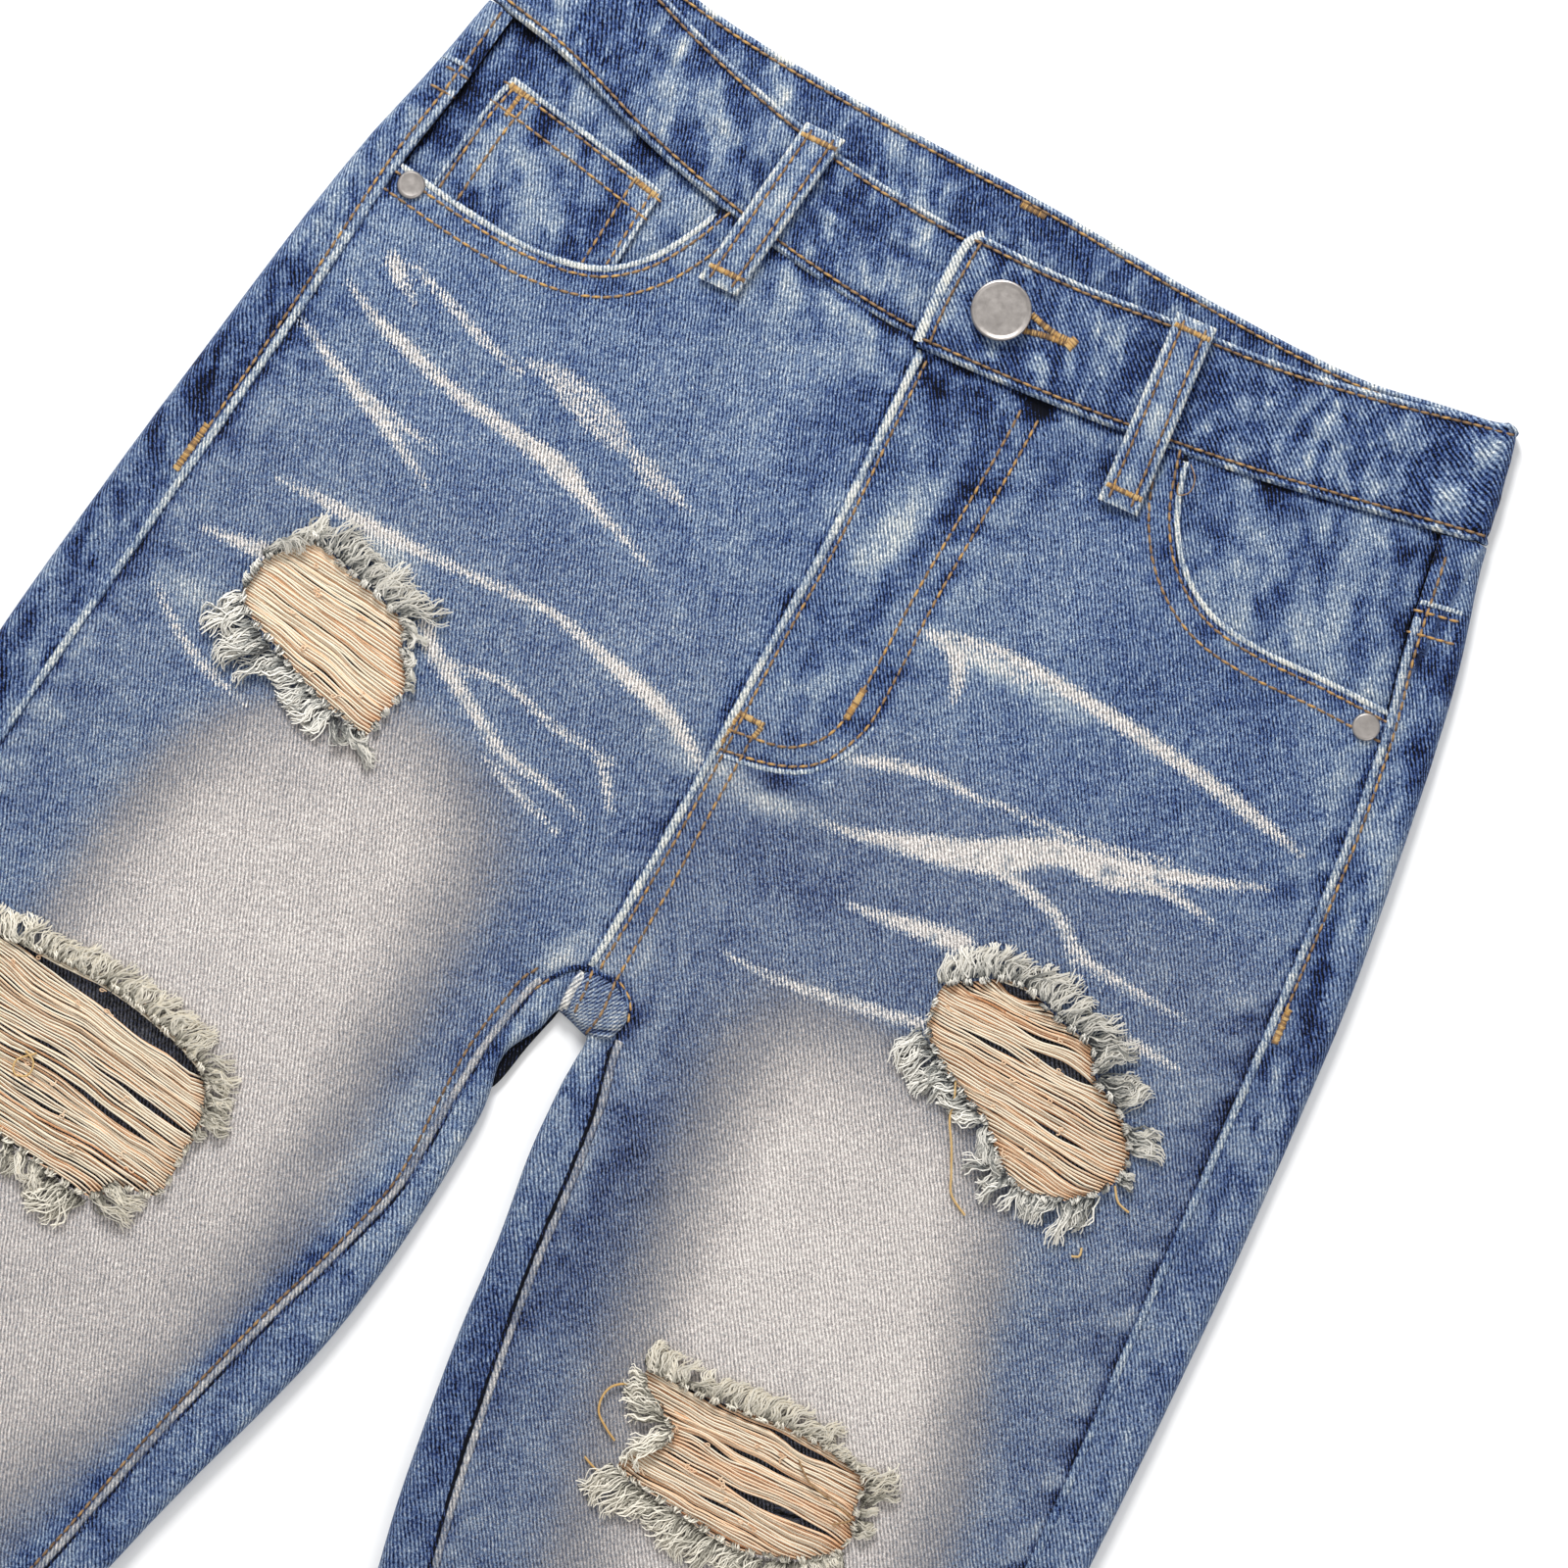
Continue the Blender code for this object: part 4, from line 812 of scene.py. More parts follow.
class Threads:
    """Strands gathered into one mesh, each point with a tone from 0, dark, to 1, pale."""

    def __init__(self):
        self.points, self.faces, self.tone, self.count = [], [], [], 0

    def add(self, paths, radius, tone, sides=4):
        paths = np.asarray(paths, float)
        radius = np.broadcast_to(radius, paths.shape[:2])
        points, faces, index = tubes(paths, radius, sides)
        self.points.append(points)
        self.faces += [[i + self.count for i in face] for face in faces]
        self.tone.append(np.broadcast_to(tone, paths.shape[:2]).ravel()[index])
        self.count += len(points)

    def stitches(self, line, height, pitch=3.0, length=2.75, tone=0.5, seed=0, thickness=0.38, side=1):
        """A row of stitches along a line; side is -1 underneath."""
        centres = even(np.asarray(line, float), pitch)
        way = headings(centres)
        count = len(centres)
        shift = (speck(np.arange(count), 1, seed) - 0.5) * 0.25
        lean = (speck(np.arange(count), 2, seed) - 0.5) * 0.12 + 0.05
        across = np.column_stack([-way[:, 1], way[:, 0]])
        paths = np.empty((count, 5, 3))
        for k, (share, sink) in enumerate(STITCH):
            spot = centres[:, :2] + way * (share * length + shift[:, None])
            spot = spot + across * (share * length * lean)[:, None]
            paths[:, k] = np.column_stack([spot, level(height, spot) + side * (0.1 - sink)])
        tones = tone + (speck(np.arange(count), 3, seed) - 0.5) * 0.45
        # each stitch is darkest at its two ends, painted shade where it sinks into the cloth, and palest at
        # its middle, a painted highlight
        tones = tones[:, None] + np.array((-0.6, -0.05, 0.18, -0.05, -0.6))
        self.add(paths, np.full((count, 5), thickness) * (0.8, 1, 1.05, 1, 0.8), tones, 5)

    def satin(self, line, width, height, pitch=0.42, tone=0.6, seed=0, thickness=0.21):
        """Close stitches across a line, as in a bar tack or a buttonhole."""
        centres = even(np.asarray(line, float), pitch)
        across = normals(centres)
        count = len(centres)
        wide = width * (1 + (speck(np.arange(count), 5, seed) - 0.5) * 0.35) / 2
        slip = (speck(np.arange(count), 6, seed) - 0.5) * 0.5
        paths = np.empty((count, 5, 3))
        for k, (share, up) in enumerate(SATIN):
            spot = centres[:, :2] + across * (share * wide)[:, None]
            spot = spot + np.gradient(centres[:, :2], axis=0) * (slip * share)[:, None]
            paths[:, k] = np.column_stack([spot, level(height, spot) + up])
        tones = tone + (speck(np.arange(count), 7, seed) - 0.5) * 0.9
        # each strand is darker at its ends, painted shade where it sinks into the cloth, and a little paler
        # at its middle, a painted highlight
        tones = tones[:, None] + np.array((-0.35, -0.05, 0.08, -0.05, -0.35))
        self.add(paths, thickness, tones, 4)

    def loose(self, points, radius, tone=0.5):
        """One free thread through (x, y, height above the cloth)."""
        line = even(curve(points, 0.8), 0.7)
        z = front_top(line[:, 0], line[:, 1]) + line[:, 2]
        self.add(np.column_stack([line[:, :2], z])[None], radius, tone, 5)

    def finish(self, name, material, slot, *nodes):
        return piece(name, np.vstack(self.points), self.faces, material, nodes,
                     marks={"tone": np.concatenate(self.tone)}, sharp=75)


# ---------------------------------------------------------------- materials


GLOW = 1.28        # the stage's light shows cloth this much brighter than its colour


def srgb(r, g, b, glow=GLOW):
    """The colour that looks like this sRGB one on the stage."""
    return tuple(((c / 255 + 0.055) / 1.055) ** 2.4 / glow for c in (r, g, b)) + (1.0,)


class Nodes:
    """Short calls that add nodes to a new material; values are sockets or numbers."""

    def __init__(self, name, roughness, metallic=0.0, specular=0.3, sheen=0.0):
        self.material = bpy.data.materials.new(name)
        self.material.use_nodes = True
        self.tree = self.material.node_tree
        self.shader = self.tree.nodes["Principled BSDF"]
        for key, value in (("Roughness", roughness), ("Metallic", metallic), ("Specular IOR Level", specular),
                           ("Sheen Weight", sheen)):
            self.shader.inputs[key].default_value = value

    def put(self, kind, inputs=(), output=0, **settings):
        """Adds a node, joins or sets its inputs, and gives one of its outputs."""
        node = self.tree.nodes.new(kind)
        for key, value in settings.items():
            setattr(node, key, value)
        for key, value in dict(inputs).items():
            if isinstance(value, bpy.types.NodeSocket):
                self.tree.links.new(value, node.inputs[key])
            else:
                node.inputs[key].default_value = value
        return node.outputs[output]

    def math(self, operation, a, b=0.0, c=0.0, clamp=False):
        inputs = {0: a, 1: b, 2: c} if operation == "MULTIPLY_ADD" else {0: a, 1: b}
        return self.put("ShaderNodeMath", inputs, operation=operation, use_clamp=clamp)

    def scaled(self, a, by, plus=None, clamp=False):
        """a times by, plus another value."""
        if plus is None:
            return self.math("MULTIPLY", a, by, clamp=clamp)
        return self.math("MULTIPLY_ADD", a, by, plus, clamp)

    def mark(self, name):
        """One of the values that each point of a mesh carries."""
        return self.put("ShaderNodeAttribute", output="Fac", attribute_name=name)

    def object_place(self):
        """The place of a point in its object, in metres."""
        return self.put("ShaderNodeTexCoord", output="Object")

    def parts(self, vector):
        """The first two numbers of a vector."""
        node = self.tree.nodes.new("ShaderNodeSeparateXYZ")
        self.tree.links.new(vector, node.inputs[0])
        return node.outputs[0], node.outputs[1]

    def place(self, a, b, stretch_a, stretch_b):
        """A vector of two numbers, each stretched."""
        return self.put("ShaderNodeCombineXYZ", {0: self.scaled(a, stretch_a), 1: self.scaled(b, stretch_b)})

    def turned(self, a, b, share_a, share_b):
        """A share of one value and a share of another."""
        return self.scaled(a, share_a, self.scaled(b, share_b))

    def uneven(self, vector, scale, detail=2.0, rough=0.5):
        """Noise from about -0.5 to 0.5."""
        noise = self.put("ShaderNodeTexNoise", {"Vector": vector, "Scale": scale, "Detail": detail,
                                                "Roughness": rough}, output="Fac")
        return self.math("SUBTRACT", noise, 0.5)

    def ramp(self, value, stops):
        """The colour at a value, between (place, sRGB colour) stops."""
        node = self.tree.nodes.new("ShaderNodeValToRGB")
        band = node.color_ramp
        while len(band.elements) < len(stops):
            band.elements.new(0.5)
        for element, (place, colour) in zip(band.elements, stops):
            element.position = place
            element.color = srgb(*colour)
        self.tree.links.new(value, node.inputs["Fac"])
        return node.outputs["Color"]

    def mix(self, share, a, b):
        return self.put("ShaderNodeMix", {0: share, 6: a, 7: b}, output=2, data_type="RGBA")

    def to(self, key, value):
        self.tree.links.new(value, self.shader.inputs[key])

    def bump(self, height, distance, strength):
        self.to("Normal", self.put("ShaderNodeBump", {"Height": height, "Distance": distance,
                                                      "Strength": strength}, output="Normal"))


WALE = 1.04        # mm between the diagonal lines of the weave
BLUE = ((0.0, (8, 12, 24)), (0.06, (22, 38, 84)), (0.18, (45, 69, 124)), (0.40, (102, 124, 158)),
        (0.6, (144, 160, 180)), (0.8, (188, 196, 200)), (1.0, (226, 225, 216)))
WARM = ((0.0, (12, 12, 12)), (0.08, (52, 51, 51)), (0.2, (84, 84, 88)), (0.40, (120, 122, 134)),
        (0.6, (156, 153, 154)), (0.8, (199, 190, 186)), (1.0, (238, 230, 225)))


def denim_material():
    """Twill with its wales, yarn flecks and slubs, coloured by the wash_and_shade, whisk and warm marks; the
    first carries painted shade as well as the wash.
    """
    n = Nodes("denim", 0.92, specular=0.12, sheen=0.05)
    uv = n.put("ShaderNodeUVMap", uv_map="weave")
    across, length = n.parts(uv)
    wobble = n.uneven(uv, 0.16, 2.0)
    wale = n.math("SINE", n.scaled(across, 2 * math.pi / WALE, n.scaled(wobble, 7.0)))
    fine = n.uneven(n.place(across, length, 1.0, 0.8), 3.4, 1.0, 0.6)
    grain = n.math("ADD", fine, n.uneven(n.place(across, length, 1.0, 0.6), 1.5, 2.0, 0.6))
    leaning = n.turned(across, length, 0.91, 0.41), n.turned(length, across, 0.91, -0.41)
    slub = n.uneven(n.place(*leaning, 0.9, 0.11), 1.0, 2.0, 0.6)
    mottle = n.uneven(uv, 0.3, 2.0, 0.6)
    cloud = n.uneven(uv, 0.06, 3.0, 0.6)
    weave = n.scaled(grain, 1.60, n.scaled(wale, 0.30))
    patchy = n.scaled(slub, 0.28, n.scaled(mottle, 0.45, n.scaled(cloud, 0.34)))
    pale = n.mark("warm")
    value = n.scaled(patchy, n.scaled(pale, -0.55, 1.0), n.mark("wash_and_shade"))
    ragged = n.scaled(n.uneven(uv, 0.8, 3.0, 0.65), 4.2, n.mark("whisk"))
    ragged = n.scaled(weave, 1.6, ragged)
    streak = n.put("ShaderNodeMapRange", {"Value": ragged, "From Min": -1.1, "From Max": 1.3},
                   interpolation_type="SMOOTHSTEP")
    cover = n.scaled(n.uneven(uv, 0.22, 2.0), 1.6, 0.95, clamp=True)
    streak = n.scaled(streak, cover)
    value = n.put("ShaderNodeMix", {0: streak, 2: value, 3: 0.90}, data_type="FLOAT", clamp_factor=True)
    weave = n.scaled(weave, n.scaled(pale, -0.38, 1.0))
    value = n.scaled(weave, 0.50, value)
    warmth = n.math("MAXIMUM", pale, n.scaled(streak, 0.9))
    creamy = n.uneven(n.place(across, length, 1.0, 0.7), 1.9, 1.0, 0.6)
    warmth = n.math("ADD", n.scaled(creamy, 1.8, warmth), -0.06, clamp=True)
    colour = n.mix(warmth, n.ramp(value, BLUE), n.ramp(value, WARM))
    light = n.scaled(weave, 1.05, 0.97)
    n.to("Base Color", n.put("ShaderNodeVectorMath", {0: colour, "Scale": light}, operation="SCALE"))
    n.bump(n.scaled(grain, 2.0, n.scaled(wale, 0.6)), 0.00022, 0.55)
    return n.material


def thread_material(name, stops, twist=2.2, roughness=0.75):
    """Yarn whose tone mark picks its colour, with fine fibres."""
    n = Nodes(name, roughness, specular=0.25, sheen=0.1)
    place = n.object_place()
    fibre = n.uneven(place, 1000 * twist, 2.0, 0.6)
    value = n.scaled(fibre, 0.5, n.mark("tone"))
    n.to("Base Color", n.ramp(value, stops))
    n.bump(fibre, 0.0002, 0.5)
    return n.material


DENIM_LOOK = denim_material()
WEFT_LOOK = thread_material("weft_thread", (
    (0.0, (100, 66, 42)), (0.3, (204, 144, 100)), (0.5, (244, 194, 150)), (0.75, (252, 219, 184)),
    (1.0, (255, 242, 218))), 1.6, 0.85)
FRAY_LOOK = thread_material("fray", (
    (0.0, (48, 50, 52)), (0.3, (112, 114, 112)), (0.6, (174, 173, 166)), (1.0, (250, 246, 236))), 1.6, 0.85)
PALE_FRAY_LOOK = thread_material("pale_fray", (
    (0.0, (60, 57, 50)), (0.3, (128, 124, 112)), (0.6, (188, 183, 168)), (1.0, (253, 246, 230))), 1.6, 0.85)
TOPSTITCH_LOOK = thread_material("topstitch", (
    (0.0, (84, 62, 46)), (0.5, (148, 118, 86)), (0.68, (178, 142, 98)), (0.8, (204, 156, 84)),
    (1.0, (222, 188, 130))))


def metal_material():
    n = Nodes("nickel", 0.34, metallic=1.0)
    place = n.object_place()
    grain = n.uneven(place, 900, 4.0, 0.7)
    scuff = n.uneven(place, 420, 3.0, 0.7)
    n.to("Base Color", n.ramp(n.scaled(scuff, 0.7, 0.5),
                              ((0.0, (158, 150, 146)), (0.5, (194, 187, 182)), (1.0, (220, 214, 209)))))
    n.to("Roughness", n.scaled(scuff, 0.3, 0.42))
    n.bump(grain, 0.00006, 0.4)
    return n.material


NICKEL_LOOK = metal_material()

# ---------------------------------------------------------------- front panels

RIP_HOLES = (
    curve(((-134, 78), (-124, 75.6), (-112, 73), (-104, 71.3), (-98, 69), (-96.5, 63), (-91, 58), (-89.5, 53),
           (-91.5, 45), (-93, 36.5), (-100, 38), (-115, 41), (-128, 46.5), (-139, 50.5), (-143.5, 57),
           (-141, 68)),
          3, closed=True),
    curve(((-158, -61), (-147, -60), (-132, -58.5), (-115, -59), (-98, -62), (-84, -67), (-78.5, -76),
           (-78.5, -90), (-79.5, -103), (-88, -105), (-96, -112.5), (-112, -111.5), (-128, -109.5),
           (-144, -106), (-155, -99), (-160, -80)), 3, closed=True),
    curve(((81, 58), (87, 62), (93, 66.5), (99, 68.5), (106, 67.5), (114, 65), (126, 63), (130, 56),
           (140, 52), (148, 45), (150.5, 37), (146.5, 28), (138, 21), (128, 18.5), (119, 22), (111, 29.5),
           (98, 35), (89, 39.5), (82, 46)), 3, closed=True),
    curve(((63, -75.5), (80, -75), (100, -71.5), (118, -70), (131, -72), (132, -79), (136, -90), (131, -98),
           (122, -103), (110, -107), (92, -106.5), (78, -105.5), (69, -104), (71, -97), (78, -91), (76, -86),
           (66, -83)), 3, closed=True),
)
RIP_SIDE = (-1, -1, 1, 1)
LEAN = {-1: 113.5, 1: 126.0}        # way of the wales on each front panel, in degrees from +X


def front_outline(side):
    """Round a front panel: waist, pocket opening, outseam, hem, inseam, crotch and fly."""
    waist_x = np.linspace(-17.6 if side < 0 else -13, OPENING[side][0][0], 40)
    waist = low_edge(BAND_OF[side], waist_x) + (0, 0.3)
    near_y = NEAR_Y[-1]
    near = np.arange(OPENING[side][-1][1], near_y, -3.0)
    ys = np.concatenate([near, np.arange(near_y, HEM_Y, -10.0), [HEM_Y]])
    down = np.stack([OUTER[side].read("seam", ys) * side, ys], 1)
    ys = ys[ys < CROTCH_Y][::-1]
    up = np.stack([INNER[side].read("seam", ys) * side, ys], 1)
    crotch = [(INNER[side].read("seam", CROTCH_Y) * side, CROTCH_Y + 0.3), (-7.6, CROTCH_Y + 0.6)]
    return np.vstack([waist, OPENING_LINE[side][1:-1], down, up, crotch, FLY_LINE[::-1][1:]])


def point_fold(x, y):
    """How far a point is above the small fold's lower crease."""
    return y + 3.4 - 0.36 * x - 0.012 * x * x


def point_height(x, y):
    """The top of the small fold under the cross seam."""
    high, low = np.interp(x, *POINT_TOP.T), np.interp(x, *POINT_LOW.T)
    down = np.clip((high - y) / (high - low), 0, 1)
    edge = smooth((x + 9.4) / 2.2) * smooth((10.2 - x) / 3.0)
    puff = 0.25 + 1.9 * np.sin(math.pi * down * 0.94 + 0.06) ** 0.7 * edge
    puff = puff - 0.9 * hump(point_fold(x, y), 0, 0.9) * smooth((x + 1) / 3)
    puff = puff + 0.25 * np.sin(x * 1.3 + y * 0.5) * edge
    flat = front_mid(x, y) + DENIM / 2 + puff
    return flat - (flat - 1.5) * smooth((down - 0.86) / 0.14) * 0.9


def crotch_point(sheet):
    """The gathered cloth where the inseams meet below the cross seam."""
    rows, columns = 76, 100
    x = np.linspace(-8.9, 9.5, columns)
    high, low = np.interp(x, *POINT_TOP.T), np.interp(x, *POINT_LOW.T)
    shares = np.linspace(0, 1, rows)
    points = np.concatenate([np.stack([x, high + (low - high) * share, 0 * x], 1) for share in shares])
    points[:, 2] = point_height(points[:, 0], points[:, 1])
    down = np.repeat(shares, columns)
    faces = flipped(grid_faces(rows, columns))
    wall, faces = thick(points, faces, np.array([0, 0, -0.9]))
    px, py = points[:, 0], points[:, 1]
    bend = px + 0.06 * (py - 4) ** 2
    wales = np.sin(2 * math.pi * (py * 0.86 - bend * 0.50) / 1.2 + 2.2 * uneven(px, py, 5, 133))
    wash_and_shade = 0.44 + 0.15 * wales + 0.14 * np.tanh(2 * uneven(px + py * 0.3, py * 0.4, 3.6, 131))
    # darker at the lower edge, where the fold turns under, along its top under the cross seam and in its
    # crease: painted shade; the paler right fold edge is wear and partly a painted highlight
    wash_and_shade = wash_and_shade - 0.14 * smooth((down - 0.9) / 0.1) + 0.16 * hump(px, 8.4, 1.3)
    crease_shade = 0.34 * hump(point_fold(px, py), 0, 0.6) * smooth((px + 1) / 3)
    wash_and_shade = wash_and_shade - 0.2 * hump(down, 0, 0.07) - crease_shade
    sheet.add(wall, faces, weave_of(px * 1.25, py * 1.25, 62.0), wash_and_shade, warm=0.3, layers=2)
    stub = np.array([(-7.3, 10.4), (-7.8, 7.5), (-7.9, 4), (-7.7, 1), (-7.4, -2.0)])
    add_ridge(sheet, stub, point_height, 2.8, 0.9, 60, 132, 0.80, 0.5)


def flat_cloth(sheet, outline, height, looks, lean, wall=DENIM, holes=(), pitch=PITCH, whiskers=True):
    """A trimmed wall over an outline, added to a sheet; looks gives relief, wash with painted shade, and
    warmth.
    """
    x, y, faces = trimmed(outline, holes, pitch)
    relief, wash_and_shade, warm = looks(x, y)
    top = np.stack([x, y, height(x, y) + relief], 1)
    points, faces = thick(top, faces, np.array([0, 0, -wall]))
    whisk = whisker_field(x, y) if whiskers else NO_STREAK
    sheet.add(points, faces, weave_of(x, y, lean), wash_and_shade, whisk, warm, layers=2)


def panel_top(x, y):
    """The outer surface of the front, without its puckers."""
    return front_mid(x, y) + DENIM / 2


def under_flap(sheet):
    """The back layer of the right leg beside its scalloped inner fold, coloured near black as painted shade.
    """
    outline = curve(((-9.2, 0.5), (-8.2, -3), (-9.2, -8), (-10.9, -16), (-12.6, -27), (-14.5, -31),
                     (-18, -30), (-19, -18), (-17, -6)), 2, closed=True)
    x, y, faces = trimmed(outline, (), 1.0)
    points, faces = thick(np.stack([x, y, 1.9 + 0 * x], 1), faces, np.array([0, 0, -1.0]))
    # wash -0.12 paints this layer near black: painted shade
    sheet.add(points, faces, weave_of(x, y, 115.0), np.full(len(x), -0.12), warm=0.6, layers=2)


def front_panel(side):
    """A front panel with its worn edges; the left one also carries the fly and the crotch."""
    right = side < 0
    sheet = Sheet()
    lean = LEAN[side]
    holes = [hole for hole, where in zip(RIP_HOLES, RIP_SIDE) if where == side]
    flat_cloth(sheet, front_outline(side), panel_top, front_looks, lean, holes=holes)
    add_ridge(sheet, offset(OPENING_LINE[side][1:], -0.7 * side), front_top, 2.0, 0.55, lean, 60 + side, 0.82)
    inseam = seam_line(INNER, side, 3 if right else -1, HEM_Y + 1, 1.5)
    add_ridge(sheet, inseam, front_top, 2.2, 0.70, lean, 64 + side, 0.60, 0.7)
    # dark strips along the inseam: painted shade in the gap between the seam's edge and the panel, blackest
    # on the left leg
    groove = seam_line(INNER, side, 2 if right else -3, HEM_Y + 1, 0.1)
    wide, gap_shade = (1.1, 0.06) if right else (2.1, -0.20)
    add_ridge(sheet, groove, front_top, wide, 0.3, lean, 68 + side, gap_shade, 0.3)
    if right:
        under_flap(sheet)
    else:
        fly_edge = np.vstack([FLY_LINE[:-1] + (0.9, 0), (-6.6, 13)])
        add_ridge(sheet, fly_edge, front_top, 2.6, 0.95, lean, 71, 0.76)
        add_ridge(sheet, offset(J_OUTER[-14:], 1.6), front_top, 1.6, 0.3, lean, 72, 0.56)
        crotch_point(sheet)
        # the cross seam is a dark strip, painted shade along it
        add_ridge(sheet, CROSS_SEAM[4:-1], lambda x, y: front_top(x, y) + 0.3, 1.3, 0.5, lean, 73, 0.10)
    hem = np.array([(x * side, HEM_Y + 1.2) for x in np.arange(110, 212, 3)])
    add_ridge(sheet, hem, front_top, 2.4, 0.7, lean, 75 + side, 0.8)
    word = SIDE_NAME[side]
    sheet.finish(f"denim_front_{word}", f"front_{word}", flat=(0.205, 0.868), area=0.1085,
                 rests_on=[f"denim_back_{word}"])


# ---------------------------------------------------------------- back panels and yokes

YOKE_TILT = {-1: 0.0, 1: 0.25}
YOKE_AT = {-1: 211.3, 1: 218.8}
YOKE_DROP = 33.0
ARC_STEPS = 8          # steps round a fold
TOP_COLUMNS, UNDER_COLUMNS, INNER_COLUMNS = 11, 24, 6
SEAT_ROWS = 118
YOKE_ROWS = 16


def yoke_seam(side, x, on_top):
    """y of the seam below a yoke, on the strip seen from the front or underneath."""
    fold = OUTER[side].read("fold", YOKE_AT[side])
    if on_top:
        return YOKE_AT[side] - YOKE_TILT[side] * (fold - np.abs(x))
    return YOKE_AT[side] - YOKE_DROP * (1 - np.abs(x) / fold)


def waist_seam(side, x, on_top):
    """y of the waistband's lower edge, in front or at the back."""
    return (BAND_OF[side] if on_top else BAND_BACK).read("low_y", x)


def back_mid(x, y):
    """Middle surface of the back layer."""
    return rise(x, y) + DENIM / 2


def fold_turn():
    """Cosine and sine of each step round a fold, from the top to the bottom."""
    angles = [math.pi * (0.5 - k / ARC_STEPS) for k in range(ARC_STEPS + 1)]
    return [(math.cos(angle), math.sin(angle)) for angle in angles]


def arc(side, edge, y, outward):
    """Columns round a fold, from the top layer to the bottom one: x, z, out_x, out_z."""
    inset = np.full(len(y), 3.0)
    for _ in range(4):
        tangent = (edge - outward * inset) * side
        low, high = back_mid(tangent, y), front_mid(tangent, y)
        radius = (high - low) / 2
        inset = radius + DENIM / 2
    columns = []
    for across, out_z in fold_turn():
        out_x = across * side * outward
        columns.append((tangent + radius * out_x, (low + high) / 2 + radius * out_z, out_x, out_z))
    return tangent, columns


def wrapped(side, edge, start_y, wraps_inside):
    """Rows of a back piece: x, y, z, out_x, out_z, and how far under it is, from 0 on top to 1 below."""
    rows = len(start_y)
    fold_y, seam_y = start_y.copy(), start_y.copy()
    for _ in range(3):
        fold_y = edge(side * OUTER[side].read("fold", fold_y), True)
    for _ in range(3):
        seam_y = edge(side * OUTER[side].read("seam", seam_y), True)
    seam_x = (OUTER[side].read("seam", seam_y) + 0.1) * side
    tangent, outer = arc(side, OUTER[side].read("fold", fold_y), fold_y, 1)
    columns = []
    for share in np.linspace(0, 1, TOP_COLUMNS)[:-1]:
        x = seam_x + (tangent - seam_x) * share
        y = seam_y + (fold_y - seam_y) * share
        columns.append((x, y, front_mid(x, y), 0, 1, 0))
    columns += [(x, fold_y, z, out_x, out_z, k / ARC_STEPS) for k, (x, z, out_x, out_z) in enumerate(outer)]
    start = outer[-1][0]
    if wraps_inside:
        inner_tangent, inner = arc(side, INNER[side].read("fold", start_y), start_y, -1)
        end = inner_tangent
    else:
        end = np.full(rows, CENTRE + side * 0.1)
    for k in range(1, UNDER_COLUMNS if wraps_inside else UNDER_COLUMNS + 1):
        x = start + (end - start) * k / UNDER_COLUMNS
        y = edge(x, False)
        columns.append((x, y, back_mid(x, y), 0, -1, 1))
    if wraps_inside:
        for k, (x, z, out_x, out_z) in enumerate(inner[::-1]):
            columns.append((x, start_y, z, out_x, out_z, 1 - k / ARC_STEPS))
        front_edge = (INNER[side].read("seam", start_y) - 0.1) * side
        for share in np.linspace(0, 1, INNER_COLUMNS)[1:]:
            x = inner_tangent + (front_edge - inner_tangent) * share
            columns.append((x, start_y, front_mid(x, start_y), 0, 1, 0))
    return np.stack([np.stack([np.broadcast_to(v, rows) for v in column], 1) for column in columns], 1)


def back_looks(x, y, under):
    """Relief, wash with painted shade, and warmth of the back panels, on top beside the seams and underneath.
    """
    relief, wash_and_shade, warm = front_looks(x, y)
    out = np.abs(x)
    seat = 0.30 * smooth((out - 40) / 40) * smooth((175 - out) / 40)
    seat = seat * (smooth((y + 480) / 200) * smooth((60 - y) / 80) + 0.5 * smooth((y - 60) / 40))
    below = BASE_WASH + 0.02 + seat + 0.05 * uneven(x, y, 24, 51)
    streaks = uneven(x * 1.3 + y * 0.35, y * 0.42, 5.0, 52) + 0.6 * uneven(x * 1.2, y * 0.5, 2.6, 53)
    outer = out > 120
    calm = np.where(outer, 0.65 * (x > 0) * smooth((62 - y) / 25), 0.62 * smooth((-15 - y) / 25))
    marbled = (1 - calm) * 0.20 * np.tanh(2.2 * streaks) + 0.06 * uneven(x * 0.5, y * 0.5, 14, 54)
    left_shade = 0.14 * hump(y, 150, 10) - 0.05 - 0.36 * hump(y, 110, 17)
    left_shade = left_shade - 0.36 * hump(y, 200, 9) - 0.12 * hump(y, 174, 7)
    left_shade = left_shade - 0.22 * hump(y, 73, 8)
    right_shade = -0.13 - 0.36 * hump(y, 106, 18) - 0.16 * hump(y, 22, 16)
    right_shade = right_shade + 0.12 * smooth((y - 140) / 20)
    left_inner, right_inner = -0.04 - 0.15 * smooth((-58 - y) / 20), 0.01 + 0.10 * smooth((110 + y) / 20)
    left, right = np.where(outer, left_shade, left_inner), np.where(outer, right_shade, right_inner)
    on_top = wash_and_shade * 0.4 + (BASE_WASH + np.where(x > 0, left, right)) * 0.6 + marbled
    blend = smooth(under * 1.2)
    return relief * (1 - blend), on_top * (1 - blend) + below * blend, warm * 0.5 * (1 - blend) + 0.1 * blend


# the inside faces are dark grey: the reverse of the denim, darkened as painted shade
INSIDE_WASH_AND_SHADE = 0.14


